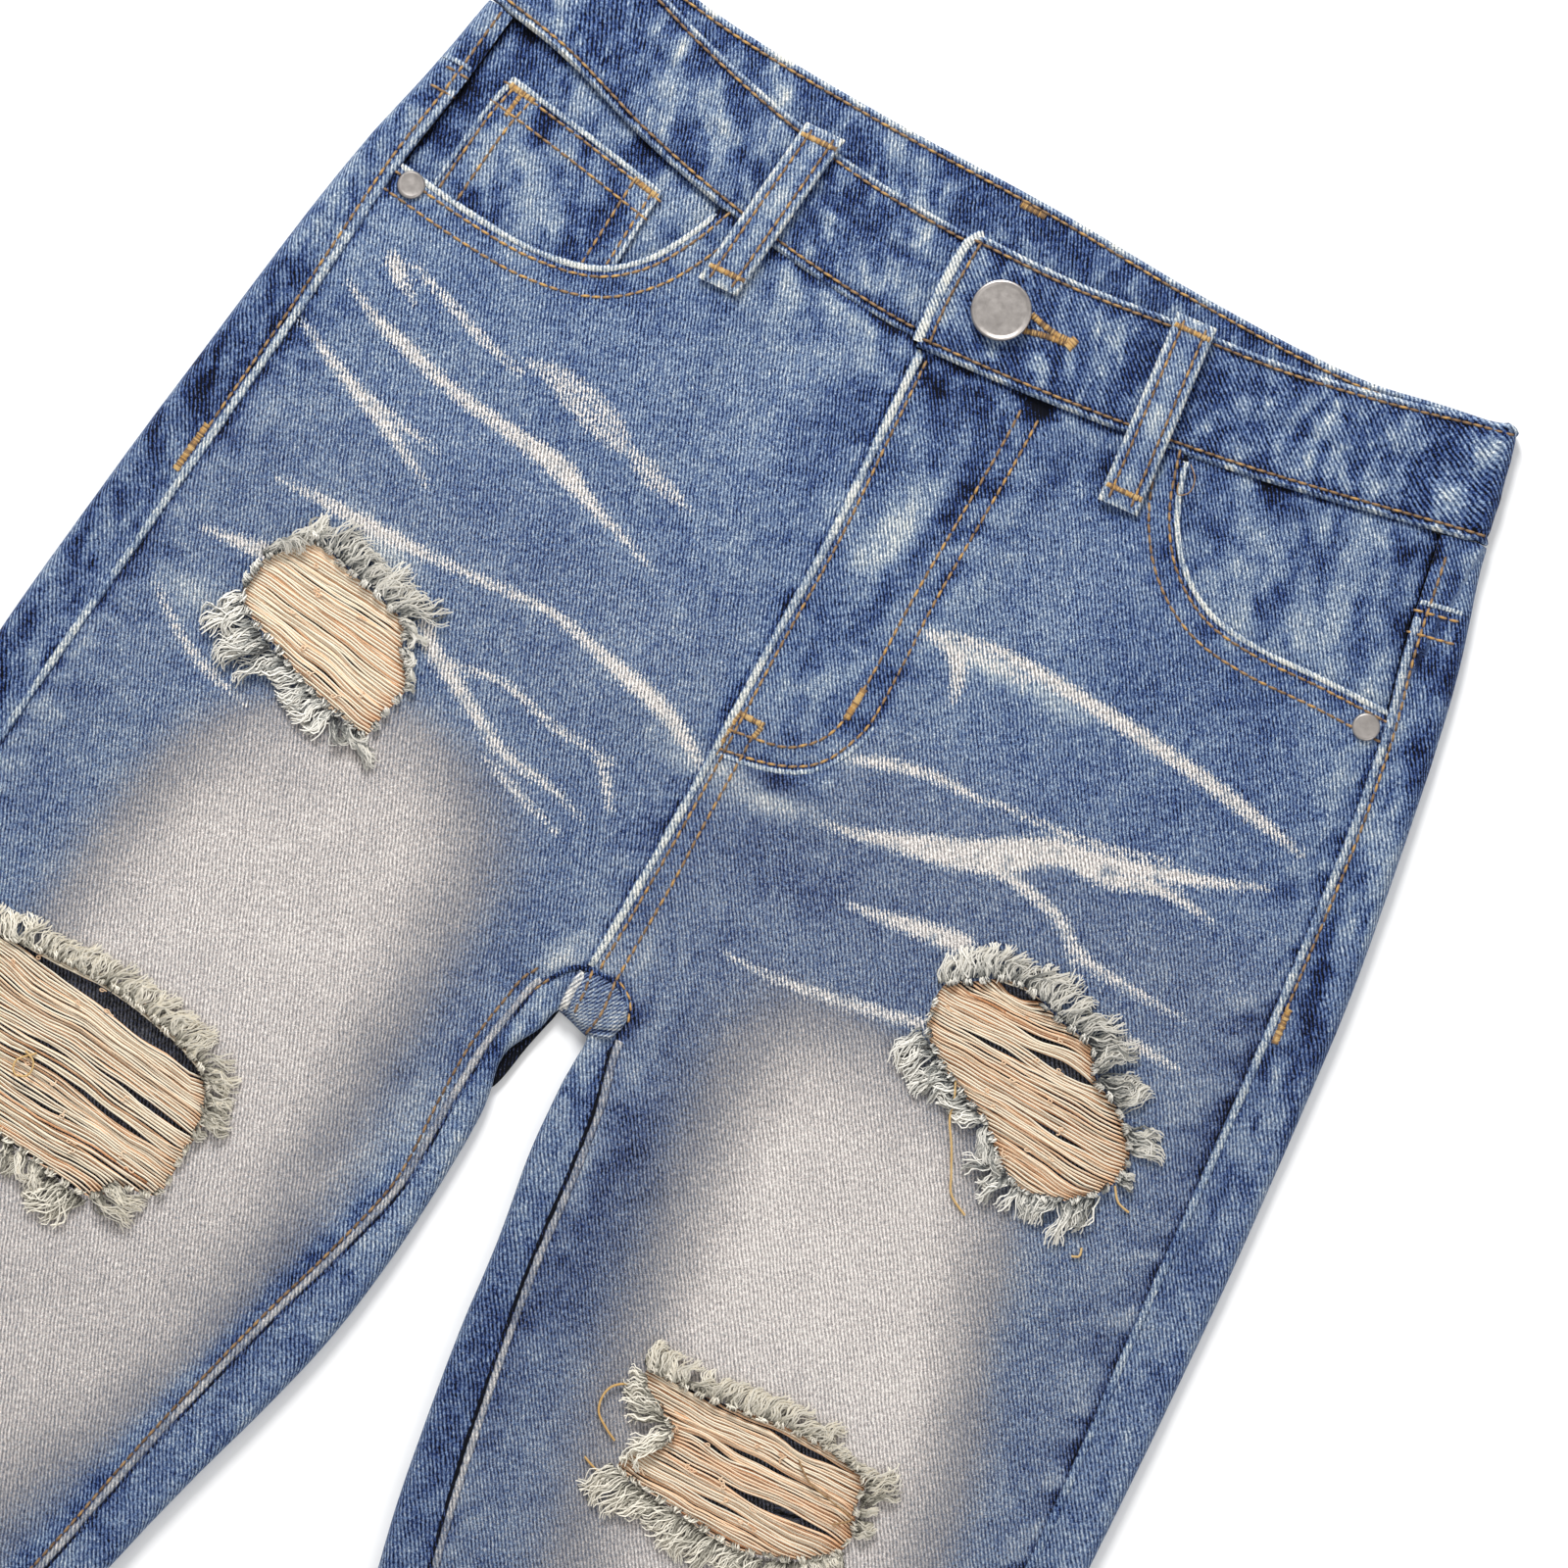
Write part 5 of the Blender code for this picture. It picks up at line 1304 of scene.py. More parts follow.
def add_wrapped(sheet, side, cells, faces, outer_lean, inner_lean):
    """Adds rows made by wrapped() as a wall, with the weave running round the folds."""
    flat = cells.reshape(-1, 6)
    x, y, z, out_x, out_z, under = flat.T
    relief, wash_and_shade, warm = back_looks(x, y, under)
    half = DENIM / 2
    out = np.stack([out_x, np.zeros(len(x)), out_z], 1)
    outer = np.stack([x, y, z], 1) + out * (half + relief)[:, None]
    points, faces = thick(outer, faces, -out * DENIM)
    unrolled = x - side * z * np.where(np.abs(x) > 150, 1, -1)
    lean = np.where(np.abs(x) > 120, outer_lean, inner_lean)
    weave = np.tile(weave_of(unrolled, y, lean), (2, 1))
    wash_and_shade, warm = np.concatenate([wash_and_shade, 0 * wash_and_shade + INSIDE_WASH_AND_SHADE]), np.concatenate([warm, 0 * warm + 1.0])
    sheet.add(points, faces, weave, wash_and_shade, warm=warm)


def leg_rows(side):
    """y of the rows of a leg, from the hem to the crotch."""
    near = np.arange(NEAR_Y[side], CROTCH_Y - 0.5, PITCH)
    return np.concatenate([np.arange(HEM_Y, NEAR_Y[side] - FAR_PITCH / 2, FAR_PITCH), near, [CROTCH_Y]])


def back_panel(side):
    """A back panel, wrapped round the outer fold and, down the leg, round the inner one."""
    sheet = Sheet()
    leg = wrapped(side, lambda x, on_top: np.broadcast_to(leg_rows(side), np.shape(x)), leg_rows(side), True)
    shares = np.linspace(0, 1, SEAT_ROWS)[1:]

    def seat_edge(x, on_top):
        return CROTCH_Y + (yoke_seam(side, x, on_top) - 0.1 - CROTCH_Y) * shares

    seat = wrapped(side, seat_edge, CROTCH_Y + 200 * shares, False)
    wide, narrow = leg.shape[1], seat.shape[1]
    filled = np.concatenate([seat, np.repeat(seat[:, -1:], wide - narrow, axis=1)], 1)
    cells = np.concatenate([leg, filled])
    faces = []
    for r in range(len(cells) - 1):
        columns = wide if r + 1 < len(leg) else narrow
        faces += [[a, a + wide, a + 1 + wide, a + 1] for a in range(r * wide, r * wide + columns - 1)]
    used, faces = compact(flipped(faces) if side > 0 else faces)
    outer_lean, inner_lean, seam_top = {-1: (116.0, 115.0, 205), 1: (125.0, 122.0, 212)}[side]

    def worn(y):
        return 0.60 - 0.17 * smooth((66 - y) / 20) * (side > 0)

    add_wrapped(sheet, side, cells.reshape(-1, 6)[used], faces, outer_lean, inner_lean)
    outseam = seam_line(OUTER, side, seam_top, HEM_Y + 1, 1.4)
    add_ridge(sheet, outseam, front_top, 2.4, 0.8, outer_lean, 80 + side, worn)
    word = SIDE_NAME[side]
    sheet.finish(f"denim_back_{word}", f"back_{word}", flat=(0.245, 0.855), area=0.1640,
                 rests_on=[f"denim_back_pocket_{word}"])


def yoke(side):
    """A yoke, wrapped round the outer fold."""
    sheet = Sheet()
    shares = np.linspace(0, 1, YOKE_ROWS)

    def edge(x, on_top):
        low = yoke_seam(side, x, on_top) + 0.1
        return low + (waist_seam(side, x, on_top) - 0.4 - low) * shares

    cells = wrapped(side, edge, np.full(len(shares), 215.0), False)
    faces = grid_faces(len(cells), cells.shape[1])
    lean = 108.0 if side < 0 else 135.0
    add_wrapped(sheet, side, cells, faces if side > 0 else flipped(faces), lean, lean)
    seam, fold = (OUTER[side].read(column, YOKE_AT[side]) for column in ("seam", "fold"))
    seam_x = np.linspace(seam + 1, fold - 3, 8)
    line = np.stack([seam_x * side, yoke_seam(side, seam_x, True) + 0.9], 1)
    add_ridge(sheet, line, front_top, 1.6, 0.45, 110, 90 + side, 0.6)
    word = SIDE_NAME[side]
    sheet.finish(f"denim_yoke_{word}", f"yoke_{word}", flat=(0.186, 0.062), area=0.0060,
                 rests_on=[f"denim_back_{word}"])


# ---------------------------------------------------------------- waistband

BAND_LOW = UNDER_RISE + BAND / 2
BAND_FRONT = BAND_LOW + BAND + 0.3
TAB_MID = BAND_FRONT + BAND + 0.3
TAB_END = -17.0
BAND_DEPTH = (0, 0.12, 0.45, 1.0, 1.7, 2.4, 3.2, 4.4, 6, 7.6, 9.2, 10.8, 12.4, 14, 15.6, 17.2)
BAND_CREASES = (
    ((-60, 231), (-50, 229), (-35, 228), (-20, 228.4), 0.75, 1.2),
    ((-140, 241), (-132, 243), (-122, 243), (-110, 239), 0.55, 1.6),
    ((-100, 228), (-92, 230), (-84, 229), (-80, 227), 0.45, 2.2),
    ((78, 236), (88, 239), (98, 240), (108, 239), 0.45, 2.0),
    ((112, 246), (122, 249), (132, 250), (142, 255), 0.45, 2.4),
    ((-46, 244), (-42, 246), (-37, 247), (-33, 251), 0.5, 3.0),
)


def band_side(x):
    """Distance of the waistband's fold from x = 0, on the side a point is on."""
    return np.where(np.asarray(x) > 0, BAND_FOLD[1], BAND_FOLD[-1])


def band_front_mid(x, left_part):
    """Middle height of the band in front; the left part lies over the right one at the tab."""
    height = BAND_FRONT + 1.6 * np.exp(-np.maximum(band_side(x) - np.abs(x), 0) / 15)
    return height + ((TAB_MID - BAND_FRONT) * smooth((62 - x) / 40) if left_part else 0)


def band_back_mid(x):
    """Middle height of the band at the back."""
    return BAND / 2 + UNDER_RISE * smooth((band_side(x) - np.abs(x) - 5) / 18)


def band_turn(side):
    """Stations round a fold of the band, from the top to the bottom."""
    edge = BAND_FOLD[side]
    tangent = edge - 3.4
    low, high = float(band_back_mid(tangent * side)), float(band_front_mid(tangent * side, side > 0))
    radius = (high - low) / 2
    tangent = edge - radius - BAND / 2
    made = []
    for across, out_z in fold_turn():
        out_x = across * side
        shift = radius * out_x - (edge - tangent) * side
        made.append((BAND_OF[side], edge * side, shift, (low + high) / 2 + radius * out_z, out_x, out_z))
    return made


def band_stations():
    """Stations along the band: table, x, shift, middle height, out_x, out_z."""
    def run(table, height, way, *span):
        return [(table, x, 0.0, float(height(x)), 0.0, way) for x in np.arange(*span)]

    right = run(BAND_RIGHT, lambda x: band_front_mid(x, False), 1.0, 14, -159.5, -1.5)
    back = run(BAND_BACK, band_back_mid, -1.0, -158, 144.5, 1.7)
    left = run(BAND_LEFT, lambda x: band_front_mid(x, True), 1.0, 144.5, TAB_END + 1.7, -1.5)
    return right + band_turn(-1) + back + band_turn(1)[::-1] + left


def soft_floor(values, floor, blend):
    """The values, eased so that they stay above a floor."""
    return (values + floor + np.sqrt((values - floor) ** 2 + blend ** 2)) / 2


def round_edge(edge, radius):
    """Share of the thickness at this distance from an edge rounded to this radius."""
    return np.sqrt(np.clip(1 - ((radius - np.minimum(edge, radius)) / radius) ** 2, 0, 1))


def both_faces(top, low):
    """Rows that run over the top and back underneath."""
    return np.concatenate([top, low[:, -2:0:-1]], 1)


def band_looks(x, y, up, down):
    """Relief and wash with painted shade; up and down are the distances to the band's lower and upper edge.
    """
    edge = np.minimum(up, down)
    near = 0.45 + 0.55 * np.exp(-(edge / 9) ** 1.6)
    waves = marble(x, edge * 0.9, 61)
    relief = 0.40 * near * waves + 0.40 * hump(edge, 0.9, 0.8) - 0.45 * hump(edge, 2.5, 0.7)
    clouds = uneven(x + y * 0.7, y * 0.55, 6.5, 63) + 0.6 * uneven(x - y * 0.3, y * 0.7, 3.2, 64)
    clouds = np.tanh(2.4 * clouds)
    streaks = smooth((uneven(x + 0.45 * y, 0.32 * y, 3.6, 66) - 0.02) / 0.42)
    streaks = streaks + smooth((uneven(x - 0.2 * y, 0.3 * y, 3.0, 67) - 0.08) / 0.40)
    wash_and_shade = 0.175 - 0.08 * smooth((x + 24) / 8) - 0.03 * smooth((x - 40) / 30)
    wash_and_shade = wash_and_shade + 0.22 * near * waves + 0.15 * clouds + 0.22 * streaks
    for a, b, c, d, depth, width in BAND_CREASES:
        gap = nearest(x, y, curve((a, b, c, d), 2.0))[0]
        fold = depth * hump(gap, 0, width)
        beside = depth * hump(np.abs(gap), 2.2 * width, width)
        relief = relief - fold + 0.5 * beside
        wash_and_shade = wash_and_shade - 0.22 * fold + 0.10 * beside
    wash_and_shade = soft_floor(wash_and_shade + patches(x, y, BAND_PATCHES), 0.11, 0.08)
    worn = hump(edge, 0.55, 0.75)
    rope = uneven(x, up * 0.2, 3.5, 65)
    # the last term is painted shade in the groove of the stitch row, 2.5 mm in from each edge
    return relief, wash_and_shade + worn * (0.32 + 0.30 * rope) - 0.14 * hump(edge, 2.5, 0.8)


BAND_LEAN = {id(BAND_RIGHT): 112.0, id(BAND_BACK): 116.0, id(BAND_LEFT): 136.0}
TAB_CORNER = 4.5       # radius of the tab's upper corner


def waistband():
    """The band round the waist, one closed strip from the right front to the end of the tab."""
    stations = band_stations()
    depths = np.array(BAND_DEPTH)
    shape = (len(stations), 2 * len(depths) - 1)
    mid, out = np.empty(shape + (3,)), np.empty(shape + (3,))
    up, down = np.empty(shape), np.empty(shape)
    groups = {}
    for i, (table, x, shift, z, out_x, out_z) in enumerate(stations):
        groups.setdefault(id(table), (table, []))[1].append(i)
        out[i] = (out_x, 0, out_z)
    for table, index in groups.values():
        x, shift, z = (np.array([stations[i][k] for i in index]) for k in (1, 2, 3))
        low_y, high_x, high_y = (table.read(c, x) for c in BAND_COLUMNS[1:])
        if table is BAND_LEFT:
            corner = np.clip((TAB_END + TAB_CORNER - x) / TAB_CORNER, 0, 1)
            high_y = high_y - TAB_CORNER * (1 - np.sqrt(1 - corner ** 2))
        high = np.hypot(high_x - x, high_y - low_y)
        from_low = depths[None] * np.ones((len(x), 1))
        from_high = high[:, None] - depths[::-1][None]
        rise_by = np.concatenate([from_low, from_high[:, 1:]], 1)
        rise_by[:, len(depths) - 1] = high / 2
        share = rise_by / high[:, None]
        mid[index, :, 0] = (x + shift)[:, None] + (high_x - x)[:, None] * share
        mid[index, :, 1] = low_y[:, None] + (high_y - low_y)[:, None] * share
        mid[index, :, 2] = z[:, None]
        up[index], down[index] = rise_by, high[:, None] - rise_by
    edge = np.minimum(up, down)
    half = BAND / 2 * round_edge(edge, 1.0)
    x = mid[:, :, 0]
    unrolled = x - np.sign(x) * smooth((np.abs(x) - 120) / 30) * mid[:, :, 2]
    relief, wash_and_shade = band_looks(x, mid[:, :, 1], up, down)
    top = mid + out * (half + relief * smooth(edge / 1.0))[:, :, None]
    inner = mid - out * (half + relief * 0.8 * smooth(edge / 1.0))[:, :, None]
    loop = both_faces(top, inner)
    count = loop.shape[1]
    lean = np.repeat([BAND_LEAN[id(station[0])] for station in stations], count)
    weave = weave_of(both_faces(unrolled, unrolled).ravel(), both_faces(up, up).ravel(), lean)
    sheet = Sheet()
    sheet.add(loop.reshape(-1, 3), tube_faces(len(stations), count), weave, both_faces(wash_and_shade, wash_and_shade).ravel())
    end = np.array([(-13.6, 243.4), (-15.6, 241.6), (-16.5, 238.6), (-16.7, 236), (-16.6, 230), (-16.2, 220),
                    (-14.9, 208.6)])
    add_ridge(sheet, end, lambda x, y: band_front_mid(x, True) + BAND / 2 - 0.15, 3.0, 0.55, 140, 97, 0.84)
    sheet.finish("denim_waistband", "waistband", flat=(0.668, 0.036), area=0.0236,
                 rests_on=["denim_yoke_left", "denim_yoke_right"])


def band_line(table, start, end, drop, from_top):
    """A line along the band, this far from its lower or its upper edge."""
    x = np.linspace(start, end, 60)
    low_y, high_x, high_y = (table.read(c, x) for c in BAND_COLUMNS[1:])
    high = np.hypot(high_x - x, high_y - low_y)
    share = (high - drop if from_top else drop + 0 * high) / high
    return np.stack([x + (high_x - x) * share, low_y + (high_y - low_y) * share], 1)


def band_top(x, y, left_part):
    """The outer surface of the band in front."""
    return band_front_mid(x, left_part) + BAND / 2


# ---------------------------------------------------------------- pockets, fly and loops


def small_looks(puckers, base=0.38, clouds=0.16):
    """Looks of a small piece: its own edges pucker it."""
    def looks(x, y):
        relief, wash_and_shade = seam_effects(x, y, puckers)
        cloudy = uneven(x + y * 0.3, y * 0.5, 8, 71) + 0.6 * uneven(x + y * 0.2, y * 0.6, 3.4, 72)
        wash_and_shade = wash_and_shade + base - 0.02 + clouds * 1.15 * np.tanh(2.3 * cloudy)
        return relief + 0.3 * uneven(x, y, 14, 73), wash_and_shade, np.zeros(np.shape(x))
    return looks


LOOP_HALF = 6          # half the width of a belt loop
FACING_DROP = {-1: 2.7, 1: 1.5}
FACING_WALL = 1.0


def facing(side):
    """The cloth seen inside a front pocket's opening."""
    if side < 0:
        waist_x, down_y = np.linspace(-74, -156.5, 20), np.linspace(226, 168, 12)
        bag = ((-164.3, 168), (-160, 163), (-130, 157.5), (-104, 161), (-84, 175), (-75, 196), (-74, 210))
        base, lean = 0.34, 114.0
    else:
        waist_x, down_y = np.linspace(60, 137.8, 20), np.linspace(230, 172, 12)
        bag = ((152, 172), (147, 167), (118, 162), (92, 165), (72, 178), (61, 200), (60, 211))
        base, lean = 0.37, 129.0
    down = np.stack([(OUTER[side].read("seam", down_y) - 0.3) * side, down_y], 1)
    outline = np.vstack([low_edge(BAND_OF[side], waist_x), down, curve(bag, 3)[1:-1]])
    looks = small_looks([(line[side], 0.35, 0.2, 9) for line in (BAND_EDGE, OUTSEAM)], base, 0.17)
    sheet = Sheet()

    def height(x, y):
        return front_mid(x, y) - FACING_DROP[side] + FACING_WALL / 2

    flat_cloth(sheet, outline, height, looks, lean, FACING_WALL)
    word = SIDE_NAME[side]
    sheet.finish(f"denim_facing_{word}", f"pocket_facing_{word}", flat=(0.098, 0.076), area=0.0056,
                 rests_on=[f"denim_back_{word}"])


COIN_OUTLINE = ((-149, 216.5), (-123, 213.3), (-97, 209.5), (-97.8, 190), (-98.5, 172), (-127, 168),
                (-154.2, 172), (-153, 190), (-151.5, 205))
COIN_WALL = 0.9
COIN_UNDER = FACING_DROP[-1] - FACING_WALL / 2 - 0.4 - COIN_WALL / 2    # its middle below the front's middle
COIN_TOP = curve(COIN_OUTLINE[:3], 2)
COIN_SIDES = (curve((COIN_OUTLINE[0], COIN_OUTLINE[8], COIN_OUTLINE[7], COIN_OUTLINE[6]), 2),
              curve(COIN_OUTLINE[2:5], 2))


def coin_top(x, y):
    """The outer surface of the coin pocket."""
    return front_mid(x, y) - COIN_UNDER + COIN_WALL / 2


def coin_pocket():
    sheet = Sheet()
    low_edge_line = curve(COIN_OUTLINE[4:7], 3)
    outline = np.vstack([COIN_TOP, COIN_SIDES[1][1:], low_edge_line[1:], COIN_SIDES[0][::-1][1:-1]])
    puckers = ((COIN_TOP, 0.3, 0.22, 8), (COIN_SIDES[0], 0.3, 0.2, 7), (COIN_SIDES[1], 0.3, 0.2, 7))
    flat_cloth(sheet, outline, coin_top, small_looks(puckers, 0.325, 0.22), 115.0, COIN_WALL, pitch=1.5)
    add_ridge(sheet, offset(COIN_TOP, -0.8), coin_top, 1.9, 0.5, 115, 101, 0.74)
    add_ridge(sheet, offset(COIN_SIDES[0], 0.7), coin_top, 1.5, 0.4, 115, 102, 0.62)
    add_ridge(sheet, offset(COIN_SIDES[1], -0.7), coin_top, 1.5, 0.4, 115, 103, 0.66)
    sheet.finish("denim_coin_pocket", "coin_pocket", flat=(0.062, 0.056), area=0.0025,
                 rests_on=["denim_facing_right"])


def on_floor(node, corners, step, pucker, base, lean, pitch, **facts):
    """A small flat piece that lies on the floor; its own outline puckers it."""
    outline = ring(corners, step)
    looks = small_looks(((closed(outline), 0.0, *pucker),), base, 0.07)
    sheet = Sheet()
    flat_cloth(sheet, outline, lambda x, y: np.full(np.shape(x), 1.0), looks, lean, 0.95, pitch=pitch,
               whiskers=False)
    sheet.finish("denim_" + node, node, rests_on=["floor"], **facts)


def back_pocket(side):
    corners = [(CENTRE + side * x, y) for x, y in ((34, 150), (136, 156), (130, 62), (84, 40), (34, 56))]
    on_floor(f"back_pocket_{SIDE_NAME[side]}", corners, 4.0, (0.16, 8), 0.44, 105.0, 3.0,
             flat=(0.102, 0.116), area=0.0103)


def back_loop(word, x):
    low, high = 214.0, float(BAND_BACK.read("high_y", x)) - 1.5
    corners = [(x - LOOP_HALF, low), (x + LOOP_HALF, low), (x + LOOP_HALF, high), (x - LOOP_HALF, high)]
    on_floor(f"loop_back_{word}", corners, 2.0, (0.2, 3), 0.46, 75.0, 1.5, flat=(0.012, 0.047))


def loop_height(x, y, left_part):
    """Heights of the band and of the panel under a belt loop."""
    band_high = [band_front_mid(x + half, left_part) for half in (-LOOP_HALF, LOOP_HALF)]
    panel_high = [front_mid(x + half, y) for half in (-LOOP_HALF, 0, LOOP_HALF)]
    return np.maximum(*band_high) + BAND / 2, np.max(panel_high, axis=0) + DENIM / 2


LOOP_ACROSS = np.array([-6, -5.8, -5.3, -4.6, -3.6, -2.6, -1.3, 0, 1.3, 2.6, 3.6, 4.6, 5.3, 5.8, 6.0])
LOOP_WALL = 0.78       # half the thickness of a loop


def front_loop(word, top_x, low_x, top_y, low_y):
    """A belt loop: its ends are turned under, its long edges are folded."""
    count = 40
    share = np.linspace(0, 1, count)
    y = low_y + (top_y - low_y) * share
    x = low_x + (top_x - low_x) * share
    slant, lean = (1, 130.0) if top_x > 0 else (0.7, 115.0)
    band_high, panel_high = loop_height(x, y, top_x > 0)
    lie = smooth((y - low_y - 2) / 7)
    z = panel_high * (1 - lie) + np.maximum(band_high, panel_high) * lie + 0.3 + 1.0
    z = z + 0.5 * np.sin(np.clip((share - 0.12) / 0.78, 0, 1) * math.pi) ** 0.7
    across = LOOP_ACROSS[None]
    edge = 6.0 - np.abs(across)
    half = LOOP_WALL * round_edge(edge, 0.9)
    gx = x[:, None] + across
    gy = y[:, None] + across * 0.11 * slant
    near_end = np.minimum(y - low_y, top_y - y)[:, None]
    taper = np.sqrt(np.clip(near_end / 0.9, 0.05, 1))
    waves = uneven(gy, across * 0.5, 5, 81)
    groove = hump(edge, 2.6, 0.6)
    relief = 0.14 * waves - 0.2 * groove + 0.25 * hump(edge, 1.1, 0.7)
    top = np.stack([gx, gy, z[:, None] + half * taper + relief * np.minimum(edge, 1)], -1)
    low = np.stack([gx, gy, z[:, None] - half * taper], -1)
    patchy = uneven(gy, across * 0.9, 2.6, 82)
    # the groove term darkens the stitch row's groove: painted shade
    wash_and_shade = 0.36 + 0.16 * waves + (0.40 + 0.26 * patchy) * hump(edge, 0.5, 0.8) - 0.14 * groove
    wash_and_shade = wash_and_shade + (0.36 + 0.3 * patchy) * hump(near_end, 0, 1.6)
    wash_and_shade = wash_and_shade + (0.20 + 0.12 * waves) * hump(across, 0, 1.7)
    loop = both_faces(top, low)
    points = loop.reshape(-1, 3)
    sheet = Sheet()
    sheet.add(points, tube_faces(count, loop.shape[1]), weave_of(points[:, 0], points[:, 1], lean),
              both_faces(wash_and_shade, wash_and_shade).ravel())
    sheet.finish(f"denim_loop_front_{word}", f"loop_front_{word}", flat=(0.012, 0.056),
                 rests_on=["denim_waistband"])
    return x, y, z + LOOP_WALL


SHIELD_HALF = 0.45     # half the thickness of the fly shield
SHIELD_UP = DENIM / 2 + 0.35 + SHIELD_HALF
ZIP_UP = SHIELD_UP + SHIELD_HALF + 0.3 + 0.35


ZIP_X = 1.0            # x of the zip's middle
TOOTH_PITCH = 1.5


def fly_behind():
    """The shield and the zip behind the fly."""
    corners = ((-27, 206), (-27, 110), (-20, 96), (-4, 92), (16, 97), (21, 110), (21, 206))
    sheet = Sheet()
    flat_cloth(sheet, ring(corners, 4.0), lambda x, y: back_mid(x, y) + SHIELD_UP + SHIELD_HALF,
               small_looks((), 0.36), 100.0, 0.9, pitch=3.0)
    sheet.finish("denim_fly_shield", "fly_shield", flat=(0.048, 0.114), area=0.0052,
                 rests_on=["denim_back_left"])
    x, y, faces = trimmed(ring(((-11, 205), (-11, 102), (13, 102), (13, 205)), 3.0), (), 3.0)
    top = np.stack([x, y, back_mid(x, y) + ZIP_UP + 0.25], 1)
    points, faces = thick(top, faces, np.array([0, 0, -0.5]))
    tape = piece("zip_tape", points, faces, TAPE_LOOK, ("zip",))
    centres = np.arange(106, 203, TOOTH_PITCH)
    side = np.where(np.arange(len(centres)) % 2, 1.0, -1.0)
    ends = [ZIP_X + side * reach for reach in (-0.4, 2.4)]
    paths = np.stack([np.column_stack([x, centres, back_mid(x, centres) + ZIP_UP + 0.5]) for x in ends], 1)
    teeth = Threads()
    teeth.add(paths, 0.42, 0.5, 4)
    teeth.finish("zip_teeth", NICKEL_LOOK, "nickel")


def tape_material():
    n = Nodes("zip_tape", 0.9)
    place = n.object_place()
    rib = n.uneven(place, 1400, 2.0)
    n.to("Base Color", n.ramp(n.math("ADD", rib, 0.5), ((0.0, (40, 52, 84)), (1.0, (96, 110, 140)))))
    n.bump(rib, 0.0002, 0.5)
    return n.material


TAPE_LOOK = tape_material()

# ---------------------------------------------------------------- topstitching

GOLD = 0.75            # tone of the bar tacks
UNDERNEATH = {"tone": 0.5, "pitch": 4.5, "side": -1}
HEM_ROW = HEM_Y + 12


def crotch_rows(rows):
    """The rows and bar tacks of the left front: the fly, its curved rows and the crotch."""
    for line, top, tone, seed in (
        (FLY_LINE[1:-1] + (3.4, 0), front_top, 0.45, 30),
        (curve(((0.4, 90), (1, 60), (1.5, 45), (1.4, 14))), front_top, 0.45, 31),
        (J_OUTER[2:], front_top, 0.5, 32),
        (J_INNER[2:], front_top, 0.5, 33),
        (curve(((-5.4, 11), (-4.6, 5.5), (-4.3, 1))), point_height, 0.42, 34),
        (curve(((1.6, 11.4), (2.4, 5), (2.3, 1), (1.7, -2.6))), point_height, 0.42, 40),
        (curve(((3.6, 12.6), (6.2, 11.2), (8.4, 8.8), (9.6, 5.8))), front_top, 0.5, 35),
    ):
        rows.stitches(line, top, tone=tone, seed=seed)
    for ends, width, seed in (
        (((20.6, 117.5), (20.4, 108)), 2.0, 36), (((-6.4, 94), (-6.6, 81.5)), 1.9, 37),
        (((-6, 94.6), (1.4, 94.9)), 1.7, 38), (((1.2, 94), (0.6, 90.5)), 1.5, 39),
    ):
        rows.satin(curve(ends), width, front_top, tone=GOLD, seed=seed)
    rows.loose(((68, 217, 0.6), (71, 214, 1.4), (71.5, 210, 1.4), (69, 208, 1.0), (67.5, 211, 0.5)), 0.2)


def front_stitches():
    """Rows on the front panels, the outer strips, the pockets and the crotch."""
    for side in (-1, 1):
        rows = Threads()

        def row(line, seed, tone=0.5):
            rows.stitches(line, front_top, tone=tone, seed=seed + side)

        row(offset(OPENING_LINE[side], -2.9 * side), 1)
        row(offset(OPENING_LINE[side][3:], -8.6 * side), 4)
        if side < 0:
            ys = np.arange(4, HEM_Y + 16, -3.0)
            beside = INNER[side].read("seam", ys) + 3.1 + 1.8 * smooth((ys + 70) / 50)
            row(np.stack([-beside, ys], 1), 7, 0.34)
        row(seam_line(OUTER, side, 229, 90, 3.4, 2.0), 10, 0.45)
        row(np.array([(x * side, HEM_ROW) for x in np.arange(108, 213, 3.0)]), 13)
        tack_ends = (90, 74) if side < 0 else (99.5, 88.5)
        rows.satin(seam_line(OUTER, side, *tack_ends, 4.0, 1.0), 2.0, front_top, tone=GOLD, seed=16 + side)
        for drop in (1.8, 8.3):
            seam, fold = (OUTER[side].read(column, YOKE_AT[side] - drop) for column in ("seam", "fold"))
            x = np.linspace(seam + 1.5, fold - 4.5, 6) * side
            row(np.stack([x, yoke_seam(side, x, True) - drop], 1), 19)
        if side < 0:
            rows.stitches(CROSS_SEAM[:6], front_top, tone=0.46, seed=23)
        else:
            crotch_rows(rows)
        rows.finish(f"topstitch_front_{SIDE_NAME[side]}", TOPSTITCH_LOOK, "topstitch")


